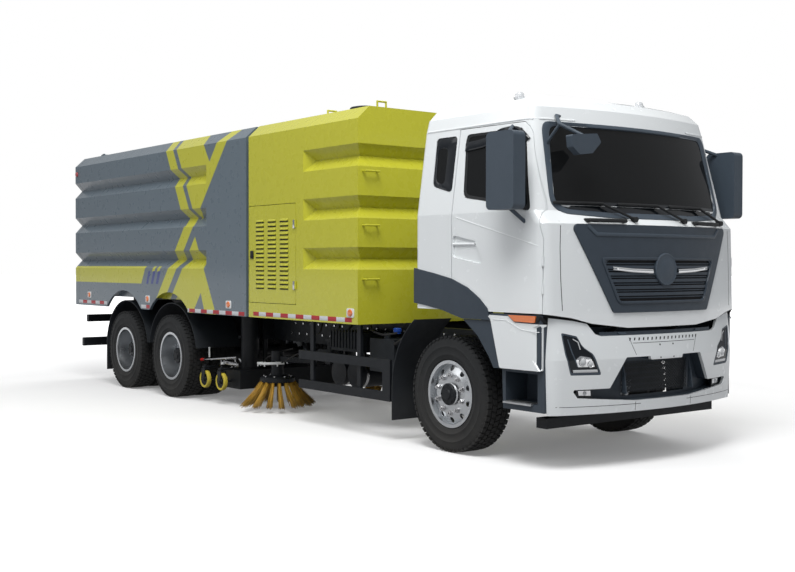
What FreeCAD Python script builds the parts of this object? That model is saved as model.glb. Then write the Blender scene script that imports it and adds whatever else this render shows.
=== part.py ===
import FreeCAD, Part
import math
import os
import re
from types import SimpleNamespace

# Driving dimensions in millimetres, degrees or counts: alias, value, what it measures
SIZES = (
    ("length", 9840, "whole vehicle, front bumper to tailgate"),
    ("front_overhang", 1480, "front axle to the bumper's nose"),
    ("wheelbase", 5350, "front axle to the first rear axle"),
    ("tandem", 1350, "between the two rear axles"),
    ("tyre_diameter", 1040, "outside of every road tyre"),
    ("tyre_width", 290, "section width of a road tyre"),
    ("rim_diameter", 570, "bead seat"),
    ("rim_flange", 15, "height of the flange over the bead seat"),
    ("rim_width", 262, "over the flanges"),
    ("rim_wall", 14, "thickness of the rim's barrel and disc"),
    ("front_track", 2060, "between the front tyres' middles"),
    ("dual_track", 1850, "between the middles of the rear pairs"),
    ("dual_spacing", 330, "between the middles of a rear pair"),
    ("hub_diameter", 210, "wheel hub"),
    ("spindle_diameter", 80, "stub axle in a hub"),
    ("drum_diameter", 400, "brake drum"),
    ("hand_holes", 10, "round holes in a rim's disc"),
    ("hand_hole_diameter", 50, "one hole in the disc"),
    ("kingpin_offset", 190, "front tyre's middle to the kingpin"),
    ("kingpin_diameter", 44, "steering pivot"),
    ("boss_diameter", 96, "axle end round the kingpin"),
    ("boss_height", 110, "axle end round the kingpin"),
    ("play", 0.3, "radial clearance of a pin in its eye"),
    ("side_play", 5, "clearance beside a moving piece"),
    ("frame_width", 860, "over the chassis rails"),
    ("rail_height", 280, "chassis rail"),
    ("rail_flange", 80, "chassis rail"),
    ("rail_wall", 10, "chassis rail"),
    ("frame_top", 1040, "top of the rails over the ground"),
    ("frame_rear_gap", 120, "tailgate's back to the rails' rear end"),
    ("crossmember", 120, "height of a crossmember"),
    ("body_width", 2500, "over hopper and engine box"),
    ("skirt_bottom", 1085, "lower edge of hopper and box over the ground"),
    ("side_top", 3090, "upper edge of the upright sides"),
    ("roof_rise", 130, "height of the roof's bevel"),
    ("roof_inset", 140, "width of the roof's bevel"),
    ("groove_depth", 100, "pressed V in the walls"),
    ("groove_height", 220, "pressed V in the walls"),
    ("groove_top", 2850, "upper edge of the first V over the ground"),
    ("groove_pitch", 505, "from one V to the next"),
    ("groove_count", 3, "V forms in a wall"),
    ("box_length", 2085, "engine box"),
    ("box_setback", 1275, "front axle to the engine box's face"),
    ("box_plain", 1115, "rear part of the box's side without V forms"),
    ("bay_lip", 25, "frame that the louvre door shuts against"),
    ("louvre_length", 955, "louvre door"),
    ("louvre_height", 1060, "louvre door"),
    ("louvre_bottom", 1252, "louvre door over the ground"),
    ("louvre_thick", 36, "louvre door"),
    ("louvre_slots", 16, "slots in one column"),
    ("louvre_columns", 3, "columns of slots"),
    ("slot_length", 170, "one louvre"),
    ("slot_pitch", 48, "between louvres"),
    ("body_gap", 60, "between hopper and engine box"),
    ("hopper_plain", 930, "front part of the hopper's side without V forms"),
    ("hopper_wall", 35, "steel and ribs of a hopper wall"),
    ("hopper_floor", 60, "floor of the hopper"),
    ("floor_bottom", 1230, "underside of the hopper's floor over the ground"),
    ("skirt_thick", 35, "skirt under the hopper's sides"),
    ("tailgate_thick", 115, "rear door of the hopper"),
    ("arch_radius", 760, "wheel cut-out in the skirt"),
    ("hinge_pin", 60, "hopper's tipping pin"),
    ("tip_x", 230, "tipping pin ahead of the tailgate's back"),
    ("tip_z", 1140, "tipping pin over the ground"),
    ("gate_pin", 24, "tailgate's hinge pin"),
    ("gate_pin_rise", 40, "tailgate's hinge pin over the roof"),
    ("cab_back", 400, "front axle to the cab's rear wall"),
    ("cab_width", 2480, "over the cab's sides"),
    ("cab_bottom", 1275, "underside of cab and doors over the ground"),
    ("cab_belt", 2000, "top of the front panel over the ground"),
    ("screen_bottom", 2110, "lower edge of the windscreen's frame"),
    ("gutter_drop", 223, "line under the roof, below the top"),
    ("cab_top", 3085, "roof over the ground"),
    ("cab_front", 1452, "front axle to the front panel at its foot"),
    ("belt_front", 1428, "front axle to the front panel at its top"),
    ("screen_front", 1325, "front axle to the windscreen's foot"),
    ("gutter_front", 1148, "front axle to the windscreen's head"),
    ("cab_lean", 105, "how far a side leans in at the gutter"),
    ("cab_wall", 45, "wall and door thickness of the cab"),
    ("cab_corner", 120, "front corner radius in plan"),
    ("cab_bow", 4000, "radius of the front in plan"),
    ("cab_rear_corner", 60, "rear corner radius in plan"),
    ("cab_roof_inset", 200, "how far the roof's round edge comes in"),
    ("cab_roof_steps", 3, "rows that draw the roof's round edge"),
    ("glass_depth", 8, "glass behind the cab's skin"),
    ("screen_half", 1045, "half the windscreen's width at its foot"),
    ("screen_taper", 45, "how much narrower each side is at its head"),
    ("screen_frame", 45, "frame over and under the windscreen"),
    ("screen_corner", 60, "windscreen's corner radius"),
    ("panel_half", 1000, "half the front panel's width at its top"),
    ("panel_foot_half", 605, "half the front panel's width at its foot"),
    ("panel_thick", 14, "front panel over the cab's skin"),
    ("grille_half", 700, "half the grille's width at its top"),
    ("grille_foot_half", 540, "half the grille's width at its foot"),
    ("grille_top", 1707, "grille over the ground"),
    ("grille_foot", 1370, "grille over the ground"),
    ("grille_bars", 5, "bars across the grille"),
    ("grille_bar", 26, "height of a grille bar"),
    ("tunnel_half", 400, "half the engine tunnel's width"),
    ("tunnel_top", 1560, "engine tunnel over the ground"),
    ("tunnel_front", 1000, "front axle to the tunnel's front end"),
    ("seat_width", 500, "seat"),
    ("seat_y", 560, "vehicle's middle to a seat's middle"),
    ("seat_x", 250, "front axle to a seat's middle"),
    ("seat_length", 500, "seat cushion"),
    ("seat_height", 500, "cushion's top over the cab's floor"),
    ("seat_cushion", 150, "thickness of cushion and back"),
    ("back_height", 620, "backrest over the cushion"),
    ("dash_rear", 1000, "front axle to the dashboard's rear edge"),
    ("dash_height", 330, "dashboard"),
    ("wheel_rim", 460, "steering wheel"),
    ("wheel_grip", 28, "thickness of the steering wheel's rim"),
    ("glass", 6, "glass thickness"),
    ("door_rear", 122, "front axle to the door's rear edge"),
    ("door_front", 1216, "front axle to the door's front edge"),
    ("door_gap", 6, "gap round a door"),
    ("door_rear_gap", 12, "gap behind a door"),
    ("door_sweep", 82, "circle that the door's inner front corner swings in"),
    ("hinge_leaf", 80, "height of a door's hinge"),
    ("hinge_thick", 9, "hinge across the door's gap"),
    ("valance", 15, "thickness of the apron under the cab's front"),
    ("valance_foot", 1150, "apron's foot in the middle over the ground"),
    ("tilt_x", 1380, "front axle to the cab's tilt pivot"),
    ("tilt_z", 1240, "cab's tilt pivot over the ground"),
    ("tilt_pin", 30, "cab's tilt pin"),
    ("bumper_bottom", 456, "lower edge of the bumper over the ground"),
    ("bumper_top", 1168, "upper edge of the bumper over the ground"),
    ("bumper_rear", 1222, "front axle to the bumper's rear edge"),
    ("bumper_wall", 30, "bumper's moulding"),
    ("bumper_corner", 200, "bumper's corner radius in plan"),
    ("bumper_bow", 3600, "bumper's bow in plan"),
    ("bumper_foot_front", 1455, "front axle to the bumper's foot"),
    ("bumper_head_front", 1440, "front axle to the bumper's top"),
    ("bumper_nose_z", 900, "bumper's foremost line over the ground"),
    ("bumper_ear", 1246, "bumper's top at the cab's sides over the ground"),
    ("bumper_middle", 1088, "bumper's top in the middle over the ground"),
    ("mesh_half", 480, "half the lower opening's width at its top"),
    ("mesh_top", 908, "lower opening's top over the ground"),
    ("mesh_knee_half", 640, "half the lower opening's width at its bends"),
    ("mesh_knee", 660, "lower opening's bends over the ground"),
    ("mesh_foot_half", 350, "half the straight foot of the lower opening"),
    ("mesh_foot", 545, "lower opening's foot over the ground"),
    ("mesh_corner", 14, "lower opening's corner radius"),
    ("mesh_depth", 90, "tray behind the lower opening"),
    ("mesh_wall", 6, "tray behind the lower opening"),
    ("mesh_slots", 6, "slots in the tray's back"),
    ("fog_half", 1000, "half the width over the fog lamps' recesses"),
    ("fog_foot_half", 945, "half the width over the foot of those recesses"),
    ("fog_foot", 592, "outer foot of the fog lamps' recesses over the ground"),
    ("fog_lamp", 150, "width of a fog lamp"),
    ("tab_half", 205, "half the tab's width at the lower opening's top"),
    ("tab_height", 30, "tab at the lower opening's top"),
    ("lamp_in", 731, "vehicle's middle to a headlamp's inner foot"),
    ("lamp_out", 1087, "vehicle's middle to a headlamp's outer top"),
    ("lamp_foot", 774, "headlamp over the ground"),
    ("lamp_top", 1123, "headlamp over the ground"),
    ("lamp_corner", 10, "headlamp's corner radius"),
    ("beam_half", 1080, "half the lower beam's width"),
    ("beam_bottom", 330, "lower beam over the ground"),
    ("beam_height", 85, "lower beam"),
    ("beam_thick", 60, "lower beam"),
    ("step_bottom", 476, "foot of the step well over the ground"),
    ("step_out", 1222, "vehicle's middle to the step well's outside"),
    ("step_depth", 330, "step well across the vehicle"),
    ("step_rear", 744, "front axle to the step well's rear end"),
    ("step_height", 250, "opening of the step well"),
    ("panel_low", 808, "white panel over the ground"),
    ("fin_rear", 266, "front axle to the rear end of the trim's lower piece"),
    ("trim_out", 1250, "vehicle's middle to the arch trim's outside"),
    ("trim_thick", 35, "arch trim"),
    ("mirror_width", 320, "door mirror"),
    ("mirror_height", 625, "door mirror"),
    ("mirror_thick", 130, "door mirror"),
    ("mirror_x", 995, "front axle to the mirror's middle"),
    ("mirror_z", 2110, "mirror's foot over the ground"),
    ("mirror_out", 1490, "vehicle's middle to the mirror's outside"),
    ("grip_bar", 34, "grab handles under the windscreen"),
    ("grip_rise", 45, "grab handle off the cab's skin"),
    ("grip_in", 470, "vehicle's middle to a grab handle's inner end"),
    ("grip_out", 830, "vehicle's middle to a grab handle's outer end"),
    ("grip_z", 2030, "grab handles over the ground"),
    ("wiper_pitch", 640, "between the wipers' pivots"),
    ("wiper_first", -330, "first pivot left of the vehicle's middle"),
    ("wiper_pivot", 46, "wiper's pivot cap"),
    ("wiper_arm", 22, "wiper's arm"),
    ("wiper_blade", 14, "wiper's blade"),
    ("wiper_z", 2045, "wipers' pivots over the ground"),
    ("wiper_rise", 128, "elbow and blade over the pivots"),
    ("wiper_elbow", 290, "pivot to elbow across the vehicle"),
    ("wiper_length", 440, "wiper's blade beyond its elbow"),
    ("lens_x", 1350, "front axle to the front mirror's middle"),
    ("lens_y", 900, "vehicle's middle to the front mirror's middle"),
    ("lens_z", 2640, "front mirror's middle over the ground"),
    ("lens_width", 340, "front mirror"),
    ("lens_height", 180, "front mirror"),
    ("lens_thick", 70, "front mirror"),
    ("lens_tube", 32, "front mirror's arm"),
    ("rung_bar", 20, "grips on the engine box"),
    ("rung_width", 160, "grips on the engine box"),
    ("rung_rise", 55, "grips off the engine box"),
    ("rung_y", 1107, "vehicle's middle to the grips' middle"),
    ("rung_top", 2580, "upper grip over the ground"),
    ("rung_pitch", 527, "from one grip to the next"),
    ("recess", 16, "door handle's recess"),
    ("handle_bar", 26, "door handle"),
    ("guard_rail", 90, "height of a side guard's rail"),
    ("guard_top", 771, "upper rail's top over the ground"),
    ("guard_bottom", 374, "lower rail's foot over the ground"),
    ("guard_front", 825, "front axle to the side guard's front end"),
    ("guard_rear", 2410, "front axle to the side guard's rear end"),
    ("guard_post", 60, "width of a side guard's post"),
    ("guard_panel", 120, "width of the side guard's front post"),
    ("bar_out", 1100, "vehicle's middle to the lamp bar's end"),
    ("bar_top", 935, "lamp bar's top over the ground"),
    ("bar_height", 105, "lamp bar"),
    ("bar_thick", 70, "rear bars along the vehicle"),
    ("underrun_out", 1170, "vehicle's middle to the under-run bar's end"),
    ("underrun_top", 600, "under-run bar's top over the ground"),
    ("underrun_height", 120, "under-run bar"),
    ("tank_diameter", 270, "air tank"),
    ("tank_length", 420, "air tank"),
    ("tank_x", 1955, "front axle to the middle between the air tanks"),
    ("tank_spacing", 290, "between the air tanks' axes"),
    ("tank_z", 540, "air tanks' axes over the ground"),
    ("tank_out", 900, "vehicle's middle to the air tanks' ends"),
    ("battery_length", 570, "battery box"),
    ("battery_height", 200, "battery box"),
    ("battery_bottom", 770, "battery box over the ground"),
    ("urea_length", 400, "urea tank"),
    ("urea_x", 1350, "front axle to the urea tank's middle"),
    ("urea_bottom", 600, "urea tank over the ground"),
    ("urea_height", 330, "urea tank"),
    ("fuel_length", 1200, "fuel tank"),
    ("fuel_x", 1700, "front axle to the fuel tank's middle"),
    ("fuel_bottom", 420, "fuel tank over the ground"),
    ("fuel_height", 600, "fuel tank"),
    ("fuel_out", 1130, "vehicle's middle to the fuel tank's outside"),
    ("fuel_corner", 90, "fuel tank's rounding"),
    ("guard_thick", 28, "thickness of a side guard's rail"),
    ("guard_out", 1200, "vehicle's middle to the side guard's outside"),
    ("fender_gap", 140, "tyre to mudguard"),
    ("fender_wall", 8, "mudguard"),
    ("fender_out", 1205, "vehicle's middle to a mudguard's outer edge"),
    ("fender_in", 600, "vehicle's middle to a rear mudguard's inner edge"),
    ("fender_end", 650, "lower ends of the rear mudguards over the ground"),
    ("front_fender_radius", 780, "mudguard behind the front wheel"),
    ("front_fender_in", 760, "vehicle's middle to the front mudguard's inner edge"),
    ("front_fender_top", 1160, "front mudguard over the ground"),
    ("flap_bottom", 205, "mud flaps over the ground"),
    ("flap_thick", 10, "mud flaps"),
    ("arch_rise", 40, "middle of the skirt's cut-out over the axles"),
    ("arch_depth", 85, "cut-out in the hopper's lower edge"),
    ("broom_x", 3450, "front axle to the side brooms' axis"),
    ("broom_y", 820, "vehicle's middle to a side broom's axis"),
    ("broom_radius", 420, "side broom over its bristle tips"),
    ("broom_disc", 230, "radius of the disc that holds the bristles"),
    ("broom_clearance", 15, "bristle tips over the ground"),
    ("broom_arm", 60, "square tube of the broom's arm"),
    ("bristle_bunches", 20, "bunches of bristles"),
    ("broom_post", 60, "swivel pin of the broom's arm"),
    ("post_x", 2740, "front axle to the swivel pin"),
    ("post_y", 560, "vehicle's middle to the swivel pin"),
    ("broom_hinge", 24, "pin that lets the arm rise"),
    ("broom_motor", 140, "motor over a side broom"),
    ("broom_top", 620, "motor's top over the ground"),
    ("broom_plate", 380, "underside of the broom's disc over the ground"),
    ("broom_plate_thick", 60, "broom's disc"),
    ("bunch_root", 50, "bunch of bristles at the disc"),
    ("bunch_tip", 92, "bunch of bristles at its tips"),
    ("nozzle_x", 4240, "front axle to the suction nozzle's middle"),
    ("nozzle_length", 500, "suction nozzle along the vehicle"),
    ("nozzle_width", 2000, "suction nozzle across the vehicle"),
    ("nozzle_height", 220, "suction nozzle"),
    ("nozzle_bottom", 200, "suction nozzle over the ground, raised"),
    ("nozzle_wall", 20, "plates of the suction nozzle"),
    ("caster_diameter", 216, "wheel of the suction nozzle"),
    ("caster_width", 50, "wheel of the suction nozzle"),
    ("caster_spacing", 400, "between the nozzle's wheels"),
    ("caster_y", 1120, "vehicle's middle to the nozzle's wheels"),
    ("duct_diameter", 220, "suction duct"),
    ("duct_y", 720, "vehicle's middle to a suction duct"),
    ("duct_top", 1075, "suction duct's top over the ground"),
    ("guide_rod", 60, "rods that guide the suction nozzle"),
    ("guide_y", 510, "vehicle's middle to a guide rod"),
    ("caster_pin", 30, "shaft of the nozzle's wheels"),
    ("lift_base_x", 1020, "lift cylinder's base ahead of the tailgate's back"),
    ("lift_base_z", 900, "lift cylinder's base over the ground"),
    ("lift_eye_x", 2820, "lift rod's eye ahead of the tailgate's back"),
    ("lift_eye_z", 1150, "lift rod's eye over the ground"),
    ("lift_y", 200, "vehicle's middle to a lift cylinder"),
    ("lift_bore", 120, "outside of a lift cylinder's barrel"),
    ("lift_rod", 70, "rod of a lift cylinder"),
    ("lift_stroke", 510, "travel of a lift cylinder"),
    ("lift_eye", 80, "width of the eyes of a lift cylinder"),
)
NAMES = {row[0] for row in SIZES}

doc = FreeCAD.newDocument("street_sweeper_truck")
sheet = doc.addObject("Spreadsheet::Sheet", "Sizes")
for row, (alias, value, meaning) in enumerate(SIZES, start=1):
    sheet.set(f"A{row}", meaning)
    sheet.set(f"B{row}", str(value))
    sheet.setAlias(f"B{row}", alias)
doc.recompute()
D = SimpleNamespace(**{alias: float(sheet.get(alias)) for alias in NAMES})

V = FreeCAD.Vector
NODES = []
CUTS = []

# Places that follow from the driving dimensions
FRONT = D.length / 2
REAR = -D.length / 2
AXLE_1 = FRONT - D.front_overhang
AXLE_2 = AXLE_1 - D.wheelbase
AXLE_3 = AXLE_2 - D.tandem
WHEEL_Z = D.tyre_diameter / 2
HALF = D.body_width / 2
FRAME_Y = D.frame_width / 2
FRAME_BOTTOM = D.frame_top - D.rail_height
ROOF_Z = D.side_top + D.roof_rise
GUTTER = D.cab_top - D.gutter_drop
BOX_FRONT = AXLE_1 - D.box_setback
BOX_REAR = BOX_FRONT - D.box_length
HOPPER_FRONT = BOX_REAR - D.body_gap
GATE_FRONT = REAR + D.tailgate_thick
OVERRUN = D.groove_depth


def bind(piece, prop, size):
    """Gives a property its size: text is bound to the sheet's cells, a number is set."""
    if isinstance(size, str):
        text = re.sub(r"[a-z_]\w*", lambda word: f"Sizes.{word[0]}" if word[0] in NAMES else word[0], size)
        piece.setExpression(prop, text)
    else:
        setattr(piece, prop, size)


def add(kind, label):
    piece = doc.addObject(kind, label)
    piece.Label = label
    return piece


def box(label, corner, size):
    piece = add("Part::Box", label)
    for prop, value in zip(("Length", "Width", "Height"), size):
        bind(piece, prop, value)
    piece.Placement = FreeCAD.Placement(V(*corner), FreeCAD.Rotation())
    return piece


def rod(label, start, end, diameter):
    """A round bar between two points."""
    start = V(*start)
    end = V(*end)
    piece = add("Part::Cylinder", label)
    bind(piece, "Radius", f"({diameter}) / 2" if isinstance(diameter, str) else diameter / 2)
    piece.Height = (end - start).Length
    piece.Placement = FreeCAD.Placement(start, FreeCAD.Rotation(V(0, 0, 1), end - start))
    return piece


def cut(label, base, tools):
    piece = add("Part::Cut", label)
    piece.Base = base
    piece.Tool = tools[0] if len(tools) == 1 else fuse(label + "_tools", tools)
    CUTS.append(piece)
    return piece


def fuse(label, pieces):
    piece = add("Part::MultiFuse", label)
    piece.Shapes = pieces
    return piece


def group(label, pieces):
    """Like pieces that don't touch, as one node."""
    piece = add("Part::Compound", label)
    piece.Links = pieces
    return piece


def mirrored(label, source):
    """The same piece on the vehicle's other side."""
    piece = add("Part::Mirroring", label)
    piece.Source = source
    piece.Normal = V(0, 1, 0)
    return piece


def solid(label, shape):
    piece = add("Part::Feature", label)
    piece.Shape = shape
    return piece


def node(piece):
    NODES.append(piece)
    return piece


def straight(points):
    """Closed outline of straight lines."""
    return [Part.LineSegment(V(*a, 0), V(*b, 0)) for a, b in zip(points, points[1:] + points[:1]) if a != b]


def rounded(points, radius):
    """Closed outline whose corners are arcs; radius is one number or one for each corner."""
    count = len(points)
    radii = [radius] * count if not isinstance(radius, (list, tuple)) else radius
    corners = []
    for index, (point, size) in enumerate(zip(points, radii)):
        here = V(*point, 0)
        before = (V(*points[index - 1], 0) - here).normalize()
        after = (V(*points[(index + 1) % count], 0) - here).normalize()
        half = before.getAngle(after) / 2
        if size <= 0 or half > math.pi / 2 * 0.999:
            corners.append((here, None, here))
            continue
        reach = size / math.tan(half)
        middle = (before + after).normalize()
        mid = here + middle * (size / math.sin(half) - size)
        corners.append((here + before * reach, mid, here + after * reach))
    edges = []
    for index, (first, mid, last) in enumerate(corners):
        if mid is not None:
            edges.append(Part.Arc(first, mid, last))
        following = corners[(index + 1) % count][0]
        if (following - last).Length > 1e-6:
            edges.append(Part.LineSegment(last, following))
    return edges


def turned(geometry, role, start):
    """An outline laid on a plane: XY, XZ or YZ, at a place along the third axis."""
    wire = Part.Wire([piece.toShape() for piece in geometry])
    if role == "XZ":
        wire.rotate(V(0, 0, 0), V(1, 0, 0), 90)
        wire.translate(V(0, start, 0))
    elif role == "YZ":
        wire.rotate(V(0, 0, 0), V(1, 1, 1), 120)
        wire.translate(V(start, 0, 0))
    else:
        wire.translate(V(0, 0, start))
    return wire


AXES = {"XY": V(0, 0, 1), "XZ": V(0, 1, 0), "YZ": V(1, 0, 0)}


def prism(geometry, role, start, end):
    """A solid of constant outline from one place to another along the third axis."""
    wire = turned(geometry, role, start)
    return Part.Face(wire).extrude(AXES[role] * (end - start))


def body(label):
    return add("PartDesign::Body", label)


def profile(owner, role, geometry, start=0):
    sketch = owner.newObject("Sketcher::SketchObject", owner.Name + "_outline")
    plane = next(part for part in owner.Origin.OriginFeatures if part.Role == role + "_Plane")
    sketch.AttachmentSupport = [(plane, "")]
    sketch.MapMode = "FlatFace"
    offset = -start if role == "XZ" else start
    sketch.AttachmentOffset = FreeCAD.Placement(V(0, 0, offset), FreeCAD.Rotation())
    sketch.addGeometry(geometry, False)
    return sketch


def pad(owner, role, geometry, start, length):
    """Adds material from one place along the third axis, towards its positive end."""
    feature = owner.newObject("PartDesign::Pad", owner.Name + "_pad")
    feature.Profile = profile(owner, role, geometry, start)
    bind(feature, "Length", length)
    feature.Reversed = role == "XZ"
    owner.Tip = feature
    return feature


def pocket(owner, role, geometry, start, length):
    """Cuts from one place along the third axis, towards its positive end."""
    feature = owner.newObject("PartDesign::Pocket", owner.Name + "_pocket")
    feature.Profile = profile(owner, role, geometry, start)
    bind(feature, "Length", length)
    feature.Reversed = role != "XZ"
    owner.Tip = feature
    CUTS.append(feature)
    return feature


def revolve(owner, geometry):
    """A solid of revolution round the vehicle's cross axis."""
    feature = owner.newObject("PartDesign::Revolution", owner.Name + "_turned")
    feature.Profile = profile(owner, "YZ", geometry)
    feature.ReferenceAxis = (feature.Profile[0], ["H_Axis"])
    feature.Angle = 360
    owner.Tip = feature
    return feature


def polar(owner, feature, count, axis_sketch):
    pattern = owner.newObject("PartDesign::PolarPattern", owner.Name + "_round")
    pattern.Originals = [feature]
    pattern.Axis = (axis_sketch, ["H_Axis"])
    pattern.Angle = 360
    bind(pattern, "Occurrences", count)
    owner.Tip = pattern
    return pattern


def put(piece, x=0, y=0, z=0):
    piece.Placement = FreeCAD.Placement(V(x, y, z), FreeCAD.Rotation())
    return piece


def rectangle(left, right, low, high):
    return straight([(left, low), (right, low), (right, high), (left, high)])


# Road wheels: tyre, rim with hub and drum
def tyre(label, middles):
    """Tyres on one hub; each middle is a place across the vehicle."""
    half = D.tyre_width / 2
    bead = D.rim_width / 2 - D.rim_wall - D.play
    seat = D.rim_diameter / 2 + D.play
    flange = D.rim_diameter / 2 + D.rim_flange + D.side_play
    crown = D.tyre_diameter / 2
    bulge_share = 0.48
    shoulder_share = 0.94
    tread_share = 0.78
    bulge = flange + (crown - flange) * bulge_share
    shoulder = flange + (crown - flange) * shoulder_share
    side = [(-bead, seat), (-bead, flange), (-half, bulge), (-half * shoulder_share, shoulder)]
    tread = [(-half * tread_share, crown)]
    right = side + tread
    left = [(-y, z) for y, z in reversed(right)]
    soft = D.tyre_width / 12
    radii = [0, soft, soft * 3, soft, soft] + [soft, soft, soft * 3, soft, 0]
    piece = body(label)
    for middle in middles:
        revolve(piece, rounded([(y + middle, z) for y, z in right + left], radii))
    return piece


def rim_barrel(middle):
    edge = D.rim_width / 2
    seat = D.rim_diameter / 2
    top = seat + D.rim_flange
    inside = seat - D.rim_wall
    right = [(-edge, inside), (-edge, top), (-edge + D.rim_wall, top), (-edge + D.rim_wall, seat)]
    left = [(-y, z) for y, z in reversed(right)]
    return straight([(y + middle, z) for y, z in right + left])


def hub(outer, inner, drum_start, drum_end):
    """Hub closed at its outer end, drum at its inner end, bored for the stub axle."""
    bore = D.spindle_diameter / 2 + D.play
    radius = D.hub_diameter / 2
    drum = D.drum_diameter / 2
    cap = D.rim_wall * 2
    return straight([(-outer, 0), (-outer, radius - cap), (cap - outer, radius), (drum_start, radius),
                     (drum_start, drum), (drum_end, drum), (drum_end, radius), (inner, radius), (inner, bore),
                     (cap - outer, bore), (cap - outer, 0)])


def hand_holes(piece, radius, start, end):
    turned_about = piece.Tip.Profile[0]
    hole = [Part.Circle(V(0, radius, 0), V(0, 0, 1), D.hand_hole_diameter / 2)]
    feature = pocket(piece, "XZ", hole, start, end - start)
    return polar(piece, feature, "hand_holes", turned_about)


def front_rim(label):
    piece = body(label)
    wall = D.rim_wall
    edge = D.rim_width / 2
    inside = D.rim_diameter / 2 - wall
    radius = D.hub_diameter / 2
    revolve(piece, rim_barrel(0))
    revolve(piece, hub(edge + wall / 2, edge - wall * 2, wall, edge - wall * 3))
    flat = inside * 0.70
    revolve(piece, straight([(wall - edge, radius - wall), (wall - edge, flat), (wall * 4 - edge, inside + wall / 2),
                             (wall * 6 - edge, inside + wall / 2), (wall * 2.5 - edge, flat),
                             (wall * 2.5 - edge, radius - wall)]))
    hand_holes(piece, (flat + inside) / 2, -edge, 0)
    return piece


def rear_rim(label):
    piece = body(label)
    wall = D.rim_wall
    edge = D.rim_width / 2
    inside = D.rim_diameter / 2 - wall
    radius = D.hub_diameter / 2
    middle = D.dual_spacing / 2
    near = middle - edge
    revolve(piece, rim_barrel(-middle))
    revolve(piece, rim_barrel(middle))
    revolve(piece, hub(middle + wall * 2, middle + edge / 2, near + wall * 2, middle + edge / 3))
    flat = inside * 0.84
    right = [(-wall, radius - wall), (-wall, flat), (-near - wall, inside + wall / 2), (-near, inside + wall / 2)]
    left = [(-y, z) for y, z in reversed(right)]
    revolve(piece, straight(right + [(0, flat)] + left))
    hand_holes(piece, (flat + inside) / 2 - wall, -middle, middle * 2)
    return piece


def wheels():
    front = [tyre("tyre_front_right", [0]), front_rim("rim_front_right")]
    for piece in front:
        node(put(piece, AXLE_1, -D.front_track / 2, WHEEL_Z))
        node(mirrored(piece.Label.replace("right", "left"), piece))
    for number, x in ((2, AXLE_2), (3, AXLE_3)):
        pair = [-D.dual_spacing / 2, D.dual_spacing / 2]
        for piece in (tyre(f"tyres_axle{number}_right", pair), rear_rim(f"rims_axle{number}_right")):
            node(put(piece, x, -D.dual_track / 2, WHEEL_Z))
            node(mirrored(piece.Label.replace("right", "left"), piece))


KINGPIN_Y = D.front_track / 2 - D.kingpin_offset
KNUCKLE_WEB = D.boss_diameter / 2 + D.side_play


def knuckle():
    """Fork round the axle's boss, kingpin through both, stub axle outwards, steering arm to the rear."""
    height = D.boss_height / 2 + D.side_play
    plate = D.kingpin_diameter / 2
    web = D.boss_diameter / 4
    width = D.boss_diameter * 0.8
    top = WHEEL_Z + height
    inner = KINGPIN_Y - D.boss_diameter * 0.45
    outer = KINGPIN_Y + KNUCKLE_WEB
    pieces = [
        box("knuckle_upper", (AXLE_1 - width / 2, -outer - web, top), (width, outer + web - inner, plate)),
        box("knuckle_lower", (AXLE_1 - width / 2, -outer - web, WHEEL_Z - height - plate),
            (width, outer + web - inner, plate)),
        box("knuckle_web", (AXLE_1 - width / 2, -outer - web, WHEEL_Z - height - plate),
            (width, web, 2 * (height + plate))),
        rod("kingpin", (AXLE_1, -KINGPIN_Y, WHEEL_Z - height - plate), (AXLE_1, -KINGPIN_Y, top + plate),
            "kingpin_diameter"),
        rod("stub_axle", (AXLE_1, -outer, WHEEL_Z), (AXLE_1, -D.front_track / 2 - D.rim_width / 3, WHEEL_Z),
            "spindle_diameter"),
        box("steering_arm", (AXLE_1 - D.boss_diameter * 2, -outer - web, WHEEL_Z - height - plate),
            (D.boss_diameter * 2, web, plate)),
    ]
    return node(fuse("knuckle_right", pieces))


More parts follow.
